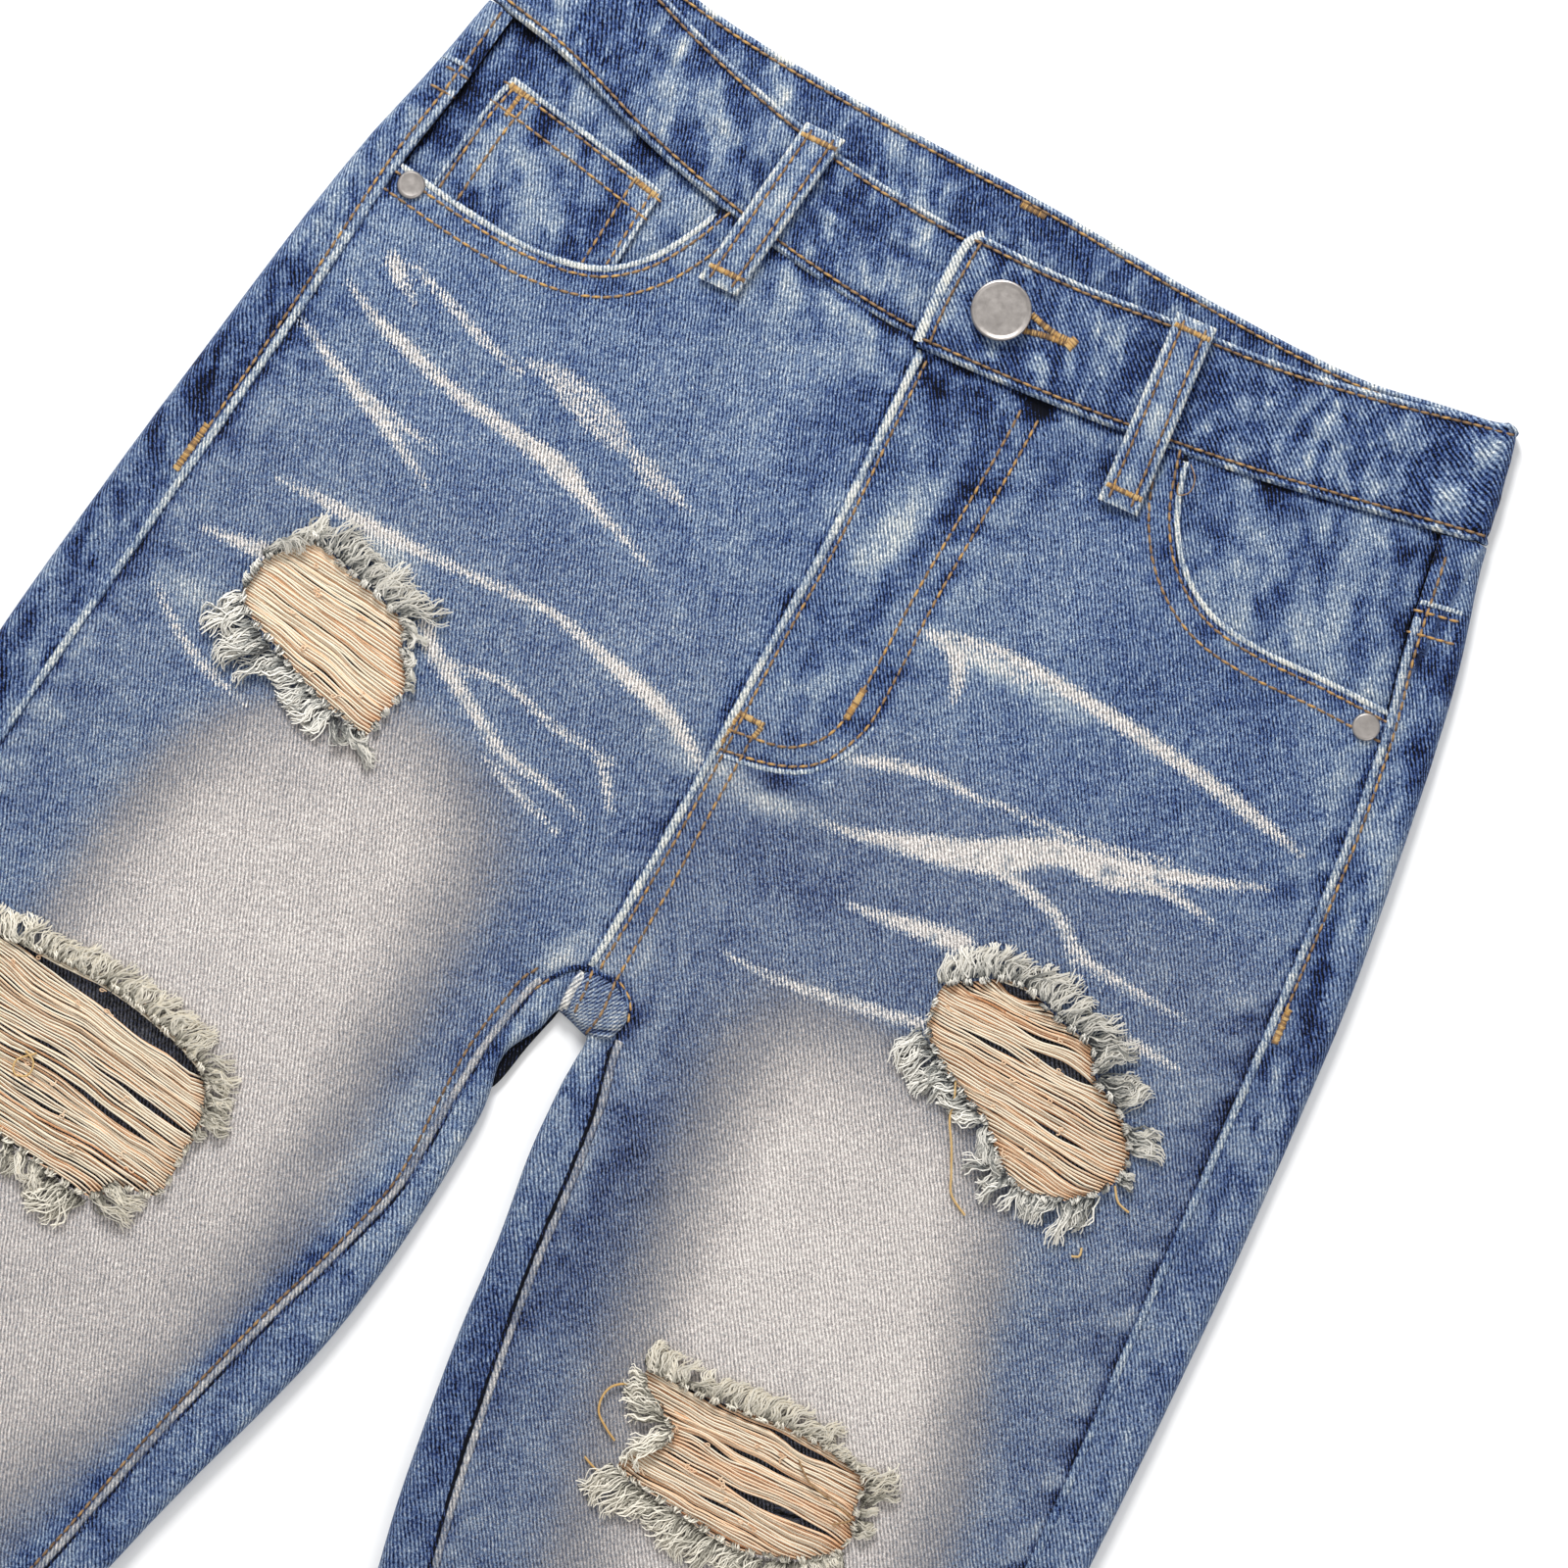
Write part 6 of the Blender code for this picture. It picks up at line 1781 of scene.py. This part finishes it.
def band_stitches():
    """Rows along the waistband's edges and across the tab, and the buttonhole."""
    rows = Threads()

    def front_right(x, y):
        return band_top(x, y, False)

    def front_left(x, y):
        return band_top(x, y, True)

    def inner_back(x, y):
        return band_back_mid(x) + BAND / 2

    def under_back(x, y):
        return band_back_mid(x) - BAND / 2 + 0.20

    def tab(x, y):
        return front_left(x, y) + 0.15

    for edge in ((2.2, True), (2.6, False)):
        rows.stitches(band_line(BAND_RIGHT, -19, -163, *edge), front_right, tone=0.42, seed=50)
        rows.stitches(band_line(BAND_LEFT, -12.5, 148, *edge), front_left, tone=0.42, seed=51)
        rows.stitches(band_line(BAND_BACK, -155, 140, *edge), inner_back, tone=0.5, seed=52)
        rows.stitches(band_line(BAND_BACK, -155, 140, *edge), under_back, seed=53, **UNDERNEATH)
    tab_end = curve(((-13.2, 240), (-13.3, 228), (-12.8, 218), (-11.8, 211)))
    rows.stitches(tab_end, front_left, tone=0.42, seed=54)
    rows.satin(curve(((-9, 256.4), (-1.5, 256.6))), 1.6, inner_back, tone=0.55, seed=55)
    for lip, seed in ((((9, 230.9), (13, 230.0), (17.5, 229.5), (23.0, 229.9)), 56),
                      (((9, 225.8), (13, 227.1), (17, 228.0), (23.0, 228.8)), 57)):
        rows.satin(curve(lip), 1.7, tab, 0.34, GOLD - 0.15, seed, 0.16)
    rows.satin(curve(((22.0, 227.9), (22.9, 231.0))), 2.4, lambda x, y: tab(x, y) + 0.2, 0.36, GOLD, 58, 0.18)
    rows.finish("topstitch_waistband", TOPSTITCH_LOOK, "topstitch")


def loop_stitches(centres):
    """Two rows and the bar tacks on each front loop, from its middle line x, y, z."""
    rows = Threads()
    for number, (x, y, z) in enumerate(centres):
        for shift in (-3.3, 3.3):
            line = np.column_stack([x + shift, y + shift * 0.1])[2:-2]
            rows.stitches(line, lambda px, py: np.interp(py, y, z) - 0.1, tone=0.42, seed=70 + number)
        for at in (y[0] + 4.6, y[-1] - 3.6):
            middle = np.interp(at, y, x)
            tack = np.array([(middle - 5.2, at - 0.4), (middle + 5.2, at + 0.5)])
            rows.satin(tack, 1.5, lambda px, py: np.interp(py, y, z) - 0.05, tone=GOLD, seed=72 + number)
    rows.finish("topstitch_loops", TOPSTITCH_LOOK, "topstitch")


def pocket_stitches():
    """Rows and bar tacks of the coin pocket."""
    rows = Threads()
    for drop in (2.6, 9.0):
        rows.stitches(offset(COIN_TOP, -drop), coin_top, tone=0.5, seed=80)
    for inset in (2.4, 8.4):
        rows.stitches(offset(COIN_SIDES[0][2:], inset), coin_top, tone=0.5, seed=82)
        rows.stitches(offset(COIN_SIDES[1][2:], -inset), coin_top, tone=0.5, seed=83)
    for ends, width, seed in ((((-148.4, 214.0), (-140.6, 213.2)), 2.0, 84),
                              (((-105.4, 208.6), (-97.8, 207.4)), 2.0, 85),
                              (((-144.5, 213.4), (-145.4, 206)), 1.5, 86)):
        rows.satin(curve(ends), width, coin_top, tone=GOLD, seed=seed)
    rows.finish("topstitch_coin_pocket", TOPSTITCH_LOOK, "topstitch")


def back_stitches():
    """Rows on the underside: seat pockets, yokes, hems and the centre back."""
    rows = Threads()

    def under(x, y):
        return rise(x, y) + 0.36

    for side in (-1, 1):
        for inset in (1.8, 7.5):
            pocket = ((34 + inset, 148), (34 + inset, 57 + inset * 0.5), (84, 41.5 + inset),
                      (130 - inset, 62 + inset * 0.6), (136 - inset, 154))
            line = even(np.array([(CENTRE + side * x, y) for x, y in pocket]), 3.0)
            rows.stitches(line, 0.36, seed=90 + side, **UNDERNEATH)
        for drop in (2.5, 8.5):
            x = np.linspace(4, OUTER[side].read("fold", 200) - 8, 30) * side
            line = np.stack([x, yoke_seam(side, x, False) - drop], 1)
            rows.stitches(line, under, seed=93 + side, **UNDERNEATH)
        hem = np.array([(x * side, HEM_ROW) for x in np.arange(100, 218, 3.0)])
        rows.stitches(hem, under, seed=96 + side, **UNDERNEATH)
    for shift in (2.5, 8.5):
        line = np.array([(CENTRE + shift, y) for y in np.arange(14, 180, 4.0)])
        rows.stitches(line, under, seed=99, **UNDERNEATH)
    rows.finish("topstitch_back", TOPSTITCH_LOOK, "topstitch")


# ---------------------------------------------------------------- rips

SQUIGGLES = 22         # curled ends tried in each rip; those outside its outline are left out
FRINGE_DENSITY = 6.5   # yarns per mm of a lock's root
FUZZ_DENSITY = 2.2     # the same of the short fuzz along the rim
GATHER = 0.46          # how far the yarns of a bunch of fringe draw together at their ends
STRAY = 0.88           # threads whose random value is above this wander from their place
# how the weft slopes at the bottom and at the top of each rip
FLOW = ((-0.20, 0.0), (-0.06, -0.10), (-0.04, 0.07), (0.02, 0.05))
# where the weft of each rip parts: x, y, half width, half height, as gaps between the strands
PARTINGS = (
    ((-112, 47, 13, 0.5), (-104, 52, 9, 0.5), (-125, 53, 7, 0.5), (-98, 66, 4, 0.6)),
    ((-110, -64, 25, 3.6), (-92, -82, 12, 0.9), (-101, -90, 12, 1.0), (-118, -97, 12, 0.8),
     (-128, -82, 10, 0.7)),
    ((101, 66, 10, 1.9), (121, 54, 9, 2.0), (113, 58, 8, 0.8), (103, 50, 8, 0.8), (129, 37, 8, 0.8)),
    ((112, -74, 9, 1.3), (113, -92, 11, 1.8), (90, -86, 7, 1.0), (98, -99, 8, 0.8), (104, -83, 10, 0.8)),
)
# spacing and thickness of the deeper layer of weft in each rip
DEEP_WEFT = ((0.62, 0.39), (1.12, 0.28), (0.98, 0.30), (0.92, 0.31))
# how pale the cut ends of each rip are
FRAY_TONE = (0.93, 0.92, 0.84, 0.92)
# how much paler than usual the weft of each rip is
WEFT_PALER = (0.24, 0.11, 0.05, 0.05)
# the fringe of each rip, lock by lock: the two ends of its root, then heading, length and curl
FRINGE = (
    ((-142, 66, -134, 75, 130, 9.5, -2.4), (-135, 75, -128, 77, 120, 11.5, -1.6),
     (-128, 77, -117, 74, 100, 12.8, -1.0), (-117, 74, -107, 72, 86, 12.5, -1.3),
     (-108, 72, -101, 70, 50, 14.5, -0.7), (-101, 71, -95, 65, 44, 7.0, -2.0),
     (-96, 64, -92, 59, 37, 6.5, -2.4), (-93, 60, -89, 54, 55, 3.6, -1.0),
     (-92, 37, -103, 38, -73, 10.8, 1.6), (-102, 38, -114, 41, -112, 12, -0.5),
     (-113, 41, -125, 45, -124, 10.5, -0.4), (-124, 45, -134, 48, -130, 16.5, 0.3),
     (-133, 48, -140, 52, -140, 14.5, 0.5), (-139, 51, -143, 55, -148, 11, 0.9),
     (-143, 56, -142, 64, 175, 3.2, -1.2)),
    ((-160, -70, -157, -62, 150, 8, -0.8), (-158, -62, -147, -61, 118, 9.5, -0.8),
     (-147, -61, -138, -60, 112, 10, -1.0), (-138, -60, -130, -59, 105, 10, -1.6),
     (-130, -59, -119, -59.5, 103, 10.5, -0.9), (-119, -59.5, -107, -60.5, 95, 11, -1.2),
     (-108, -60.5, -97, -62, 84, 11, -1.2), (-98, -62, -87, -66, 60, 12, -0.6),
     (-87, -66, -81, -72, 32, 11.5, -0.8), (-82, -71, -79, -77, -6, 10, 0.7),
     (-79.5, -75, -79, -82, -30, 6, 0.8), (-96, -111, -92, -105, -22, 16, 0.7),
     (-107, -112, -96, -113, -96, 15.5, -0.4), (-124, -110.5, -108, -112, -98, 9.5, 0.9),
     (-140, -107, -124, -110.5, -110, 9, -0.8), (-156, -99, -141, -107, -124, 9.5, -0.5),
     (-161, -82, -156, -97, -150, 7, 0.6)),
    ((80, 57, 86, 62, 108, 9.5, -0.7), (85, 62, 94, 67, 113, 11.4, -0.7), (93, 67, 104, 68.5, 104, 11, -1.4),
     (104, 68.5, 117, 64.5, 86, 13, -1.2), (117, 65, 127, 63, 60, 13, -0.7),
     (126, 63, 130, 57, 42, 10.5, 0.5), (130, 57, 141, 51, 38, 13.5, 0.35),
     (143, 49, 149, 43, 22, 12.4, -0.5), (150, 38, 151, 34, -10, 5, 0.8),
     (147, 29, 139, 22, -70, 13.5, -0.4), (139, 22, 128, 19, -97, 10, 0.6),
     (128, 19, 118, 23, -110, 11, -0.6), (118, 23, 110, 30, -112, 9, 1.6),
     (110, 30, 98, 35, -119, 10, -0.8), (98, 35, 90, 39, -130, 13, 0.4), (90, 39, 82, 44, -140, 12.5, 0.6)),
    ((62, -76, 70, -75.5, 138, 12, -1.6), (70, -75.5, 84, -74, 104, 10.5, -1.7),
     (84, -74, 102, -71.5, 100, 10.5, -1.0), (102, -71, 117, -70, 85, 10.5, -1.1),
     (117, -70, 131, -72, 60, 5.5, -0.8), (131, -72, 133, -80, 40, 12, 0.5),
     (134, -80, 136, -88, 12, 6, 0.8), (136, -93, 128, -100, -60, 6, 0.6),
     (128, -100, 118, -106, -78, 9.5, 0.5), (118, -106, 106, -107.5, -98, 11, -0.7),
     (106, -107.5, 92, -107, -110, 12.5, 0.4), (92, -107, 80, -106, -126, 13, -0.5),
     (80, -106, 68, -104, -138, 14, 0.5), (78, -92, 77, -86, -160, 14, 0.6),
     (76, -86, 68, -83, -172, 13, 0.5), (68, -83, 63, -78, 170, 6, 0.8)),
)


def runs_inside(x, y, hole):
    """The stretches of a line that cross a hole, as pairs of x."""
    within = inside(x, y, hole).astype(int)
    turns = np.diff(np.concatenate([[0], within, [0]]))
    return [(x[a], x[b - 1]) for a, b in zip(np.nonzero(turns == 1)[0], np.nonzero(turns == -1)[0])]


def weft(number, hole):
    """The threads left across a rip, in two layers."""
    threads = Threads()
    points = 30
    t = np.linspace(0, 1, points)
    low, high = hole.min(0), hole.max(0)
    middle = (low[0] + high[0]) / 2
    across = np.arange(low[0] - 1, high[0] + 1, 0.4)
    at_bottom, at_top = FLOW[number - 1]
    paler = WEFT_PALER[number - 1]
    # the deeper layer's lower tone is painted shade under the upper strands
    layers = ((0.8, 0.48 + paler, *DEEP_WEFT[number - 1], 3), (0.0, 0.90 + paler, 0.92, 0.235, 7))
    for down, shade, pitch, thickness, seed in layers:
        paths, tones, radii = [], [], []
        own = 100 * number + seed
        for k, y0 in enumerate(np.arange(low[1] - 12 + 0.3 * down, high[1] + 12, pitch)):
            slope = at_bottom + (at_top - at_bottom) * np.clip((y0 - low[1]) / (high[1] - low[1]), 0, 1)
            stray = speck(k, number, own + 2)
            for left, right in runs_inside(across, y0 + slope * (across - middle), hole):
                if right - left < 3:
                    continue
                x = left - 3.0 + (right - left + 6.0) * t
                free = smooth((x - left + 1) / 7) * smooth((right + 1 - x) / 7)
                drift = 1.5 * uneven(x * 0.5, y0 * 0.8 + 0 * x, 10, 100 * number)
                drift = drift + 0.34 * uneven(x, 37.0 * k + 0 * x, 9, own + 1)
                if stray > STRAY:
                    drift = drift + (stray - 0.94) * 50 * np.sin(math.pi * t) * (1 if k % 2 else -1) * 0.5
                y = y0 + slope * (x - middle) + drift * free
                for px, py, wide, gap in PARTINGS[number - 1]:
                    side = 1.0 if np.interp(px, x, y) > py else -1.0
                    push = 0.75 * gap * np.exp(-(0.55 * np.interp(px, x, y - py) / gap) ** 2)
                    y = y + side * push * free * hump(x, px, wide)
                lift = 0.2 + 0.7 * speck(k, 4, own) + (0.5 if stray > STRAY else 0)
                lift = lift + 0.35 * uneven(x, 11.0 * k + 0 * x, 7, own + 3)
                paths.append(np.stack([x, y, panel_top(x, y) - 0.55 - down + free * lift], 1))
                tone = shade + (speck(k, 9, own) - 0.5) * 0.46 - 0.24 * (1 - smooth((x - left) / 5))
                tone = tone - 0.30 * (1 - smooth((right - x) / 6))
                tones.append(tone + 0.12 * uneven(x, 5.0 * k + 0 * x, 6, own + 4))
                radii.append(np.full(points, thickness + 0.06 * speck(k, 8, own)))
        threads.add(np.array(paths), np.array(radii), np.array(tones), 4)
    return threads


def squiggles(number, hole, threads):
    """Short curled ends caught among the weft."""
    low, high = hole.min(0), hole.max(0)
    for k in range(SQUIGGLES):
        a, b, c, d = (speck(k, j, 300 + number) for j in (1, 2, 3, 4))
        x, y = low[0] + (high[0] - low[0]) * a, low[1] + (high[1] - low[1]) * b
        if not inside(np.array([x]), np.array([y]), hole)[0]:
            continue
        t = np.linspace(0, 1, 12)
        turn = 6.3 * c + (2.0 + 1.2 * d) * np.sin(math.pi * (1.2 * t + a)) * (1 if k % 2 else -1)
        stride = 0.30 + 0.30 * d
        px, py = x + np.cumsum(np.cos(turn)) * stride, y + np.cumsum(np.sin(turn)) * stride * 0.7
        z = panel_top(px, py) + 0.35 + 0.4 * np.sin(math.pi * t)
        threads.add(np.stack([px, py, z], 1)[None], 0.17, 0.62 + 0.2 * c, 4)


def rim_fuzz(number, hole):
    """Short locks along the whole rim of a rip, in the form of the rows of FRINGE with their density."""
    rim = ring(hole, 0.8)
    x, y = hole.T
    turning = np.sum(x * np.roll(y, -1) - np.roll(x, -1) * y)
    out = -normals(rim) if turning > 0 else normals(rim)
    locks = []
    for k in range(0, len(rim) - 4, 6):
        way = math.degrees(math.atan2(out[k, 1], out[k, 0])) + 50 * (speck(k, 1, number) - 0.5)
        root = rim[[k, k + 4]] - out[k] * 0.3
        locks.append((*root.ravel(), way, 2.2, 2.5 * (speck(k, 2, number) - 0.5), FUZZ_DENSITY))
    return locks


def fray(number, hole):
    """Cut warp yarns round a rip, lock by lock, with short fuzz along the whole rim."""
    fringe = Threads()
    locks = [row + (FRINGE_DENSITY,) for row in FRINGE[number - 1]] + rim_fuzz(number, hole)
    points = 8
    t = np.linspace(0, 1, points)
    for order, (x0, y0, x1, y1, heading, length, curl, density) in enumerate(locks):
        own = 60 * number + order
        wide = math.hypot(x1 - x0, y1 - y0)
        many = int(wide * density) + 4
        k = np.arange(many)
        a, b, c, d, e = (speck(k, j, own)[:, None] for j in (1, 2, 3, 4, 5))
        share = (k[:, None] + a) / many
        bunches = max(1, round(wide / 2.3))
        bunch = np.floor(np.clip(share * bunches + 0.5 * (b - 0.5), 0, bunches - 0.01))
        p, q, r = (speck(bunch, j, own) for j in (6, 7, 8))
        bend = curl * (0.45 + 1.1 * q) + (d - 0.5) * 1.5
        crimp = 0.75 * np.sin(2 * math.pi * (1.3 * t + r + 0.25 * c)) * t
        crimp = crimp + 0.45 * np.sin(2 * math.pi * (1.7 * t + a + b))
        turning = math.radians(heading) + (p - 0.5) * 0.75 + (c - 0.5) * 0.5
        turning = turning + bend * t ** 1.3 + crimp
        stride = length * (0.62 + 0.28 * r + 0.26 * e) / (points - 1)
        back = 0.4 + 0.9 * d
        x = x0 + (x1 - x0) * share - math.cos(math.radians(heading)) * back
        y = y0 + (y1 - y0) * share - math.sin(math.radians(heading)) * back
        x = x + np.cumsum(np.cos(turning) * stride, 1)
        y = y + np.cumsum(np.sin(turning) * stride, 1)
        for one in range(bunches):
            mine = bunch[:, 0] == one
            if mine.sum() > 2:
                x[mine] += (x[mine].mean(0) - x[mine]) * GATHER * t
                y[mine] += (y[mine].mean(0) - y[mine]) * GATHER * t
        arch = 0.35 + 1.5 * e + 0.9 * q * abs(curl) / 1.5
        z = panel_top(x, y) + 0.35 + 0.5 * r + arch * np.sin(math.pi * np.minimum(t * 0.82 + 0.08, 1))
        radius = (0.265 - 0.08 * t) * (0.75 + 0.5 * c)
        # darker toward the root and on the lower strands (small e): painted shade where the yarns crowd at
        # the rim and lie under others; locks heading toward the waist are paler, a painted highlight to make
        # up for their leaning away from the key light
        tone = FRAY_TONE[number - 1] + (p - 0.5) * 0.46 + (b - 0.5) * 0.95 + 0.22 * t - 0.6 * (1 - t) ** 3
        tone = tone - 0.34 * (e < 0.35) + 0.24 * hump(heading, 88, 44)
        fringe.add(np.stack([x, y, z], -1), radius, tone, 3)
    return fringe


# loose threads: each through x, y, height above the cloth, then its radius and tone
TAILS = (
    (((97, 36, 0.6), (99, 32, 1.6), (101, 26, 1.4), (105, 20, 1.5), (109, 13, 1.2), (112, 8, 1.0),
      (118, 5, 0.6)), 0.36, 0.96),
    (((150, 33, 0.8), (153, 29.5, 1.2), (157, 28.5, 0.7)), 0.36, 0.96),
    (((65, -80, 0.8), (58, -84, 1.3), (56, -88, 1.3), (57, -93, 1.2), (61, -96, 1.3), (65, -98, 0.8)),
     0.36, 0.88),
    (((60, -106, 0.8), (65, -107.5, 1.0), (71, -106.5, 0.6)), 0.36, 0.88),
    (((-131, -86, 1.4), (-127.5, -87.5, 2.2), (-127, -91.5, 2.2), (-130.5, -93, 2.0), (-132, -89.5, 1.6),
      (-128, -85, 1.2)), 0.3, 0.95),
    (((112, -77, 1.2), (118, -81, 1.4), (126, -82.5, 1.5), (133, -84, 1.2), (129, -88, 1.0)), 0.3, 0.6),
    (((149.3, 10.0, 0.6), (151.2, 11.0, 1.0), (150.6, 13.4, 0.6)), 0.36, 0.96),
)


def rips():
    """The weft, the fringe and the loose tails of the four rips."""
    for number, hole in enumerate(RIP_HOLES, 1):
        threads = weft(number, hole)
        squiggles(number, hole, threads)
        threads.finish(f"weft_{number}", WEFT_LOOK, "weft_thread", f"rip_threads_{number}")
        look = FRAY_LOOK if number in (1, 3) else PALE_FRAY_LOOK
        fray(number, hole).finish(f"fray_{number}", look, "fray", f"rip_fringe_{number}")
    tails = Threads()
    for points, radius, tone in TAILS:
        tails.loose(points, radius, tone)
    tails.finish("loose_threads", TOPSTITCH_LOOK, "topstitch")


# ---------------------------------------------------------------- metal


def turned(name, node, profile, place, tilt, sides=72):
    """A round piece from (radius, height) rows, leaning a little."""
    profile = np.array(profile, float)
    angle = 2 * math.pi * np.arange(sides) / sides
    ring = np.stack([np.cos(angle), np.sin(angle)], 1)
    points = np.concatenate([np.column_stack([ring * r, np.full(sides, h)]) for r, h in profile])
    lean_x, lean_y = tilt
    points[:, 2] += points[:, 0] * lean_x + points[:, 1] * lean_y
    faces = tube_faces(len(profile), sides)
    piece(name, points + np.array(place), faces, NICKEL_LOOK, (node,), sharp=35)


BUTTON = ((4.6, 0), (4.6, 1.0), (7.4, 1.05), (8.1, 1.25), (8.5, 1.7), (8.5, 2.2), (8.3, 2.6), (7.95, 2.78),
          (7.6, 2.72), (7.3, 2.55), (6.8, 2.5), (5.0, 2.53), (2.5, 2.57), (0.2, 2.6))
RIVET = ((3.9, 0), (3.9, 0.7), (3.75, 1.0), (3.4, 1.22), (3.0, 1.2), (2.7, 1.12), (1.5, 1.16), (0.1, 1.2))


def metal():
    """The button of the waistband and the two rivets."""
    tab = float(band_top(np.float64(1), 0, True))
    turned("nickel_button", "button", BUTTON, (1, 227.5, tab + 0.45), (0.026, 0.035))
    for word in SIDE_NAME.values():
        low, high = (np.array(corner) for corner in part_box(f"rivet_{word}"))
        x, y, _ = ((low + high) / 2 - SHIFT) / MM
        base = (low[2] - SHIFT[2]) / MM
        turned(f"nickel_rivet_{word}", f"rivet_{word}", RIVET, (x, y, base), (0.01, 0.02), 56)


# ---------------------------------------------------------------- stage


def plain_material(name, colour, roughness):
    n = Nodes(name, roughness)
    n.shader.inputs["Base Color"].default_value = colour
    return n.material


# metres: the middle of the view, the camera's height, the width it sees at the height of the cloth
TARGET = np.array([0.0145, 0.0837, 0.0]) + SHIFT
CAMERA_HEIGHT = 2.0
CLOTH_HEIGHT = 0.008
VIEW_WIDTH = 0.4352
CAMERA_TURN = math.radians(30)
FLOOR_HALF = 3.0
FLOOR_DROP = 0.0004    # the floor is this far below the lowest point of the part
SKY_STRENGTH = 0.62
# name, direction from the target, distance, size, power
LIGHTS = (("key_light", (-0.45, 0.68, 0.62), 1.5, 0.55, 26.0),
          ("fill_light", (0.75, -0.30, 0.75), 1.8, 1.6, 8.0))


def stage():
    """A plain white floor, soft light from above the waist, and a camera straight above."""
    half = FLOOR_HALF
    floor_z = float(CAD_LOW[2]) - FLOOR_DROP
    mesh = bpy.data.meshes.new("floor")
    mesh.from_pydata([(-half, -half, floor_z), (half, -half, floor_z), (half, half, floor_z),
                      (-half, half, floor_z)], [], [(0, 1, 2, 3)])
    mesh.materials.append(plain_material("white_paper", (0.92, 0.92, 0.92, 1), 0.9))
    in_scene("floor", mesh)

    world = bpy.data.worlds.new("studio")
    world.use_nodes = True
    sky = world.node_tree.nodes["Background"]
    sky.inputs["Color"].default_value = (1, 1, 1, 1)
    sky.inputs["Strength"].default_value = SKY_STRENGTH
    bpy.context.scene.world = world

    for name, way, distance, size, power in LIGHTS:
        lamp = bpy.data.lights.new(name, "AREA")
        lamp.shape = "DISK"
        lamp.size = size
        lamp.energy = power
        made = in_scene(name, lamp)
        way = np.array(way) / np.linalg.norm(way)
        made.location = TARGET + way * distance
        made.rotation_mode = "QUATERNION"
        made.rotation_quaternion = Vector(way).to_track_quat("Z", "Y")

    camera = bpy.data.cameras.new("camera")
    camera.lens = camera.sensor_width * (CAMERA_HEIGHT - CLOTH_HEIGHT) / VIEW_WIDTH
    seen = in_scene("camera", camera)
    seen.location = (TARGET[0], TARGET[1], CAMERA_HEIGHT)
    seen.rotation_euler = (0, 0, CAMERA_TURN)
    bpy.context.scene.camera = seen
    bpy.context.scene.view_settings.view_transform = "Standard"


# ---------------------------------------------------------------- the garment

for where in SIDE_NAME:
    back_pocket(where)
for word, middle_x in (("right", -80.0), ("middle", CENTRE), ("left", 80.0)):
    back_loop(word, middle_x)
for where in SIDE_NAME:
    back_panel(where)
    yoke(where)
    facing(where)
    front_panel(where)
fly_behind()
coin_pocket()
waistband()
loop_lines = [front_loop("right", -66, -70.5, 246.5, 194), front_loop("left", 49.5, 56.3, 252.5, 196.5)]
front_stitches()
band_stitches()
loop_stitches(loop_lines)
pocket_stitches()
back_stitches()
rips()
metal()
stage()
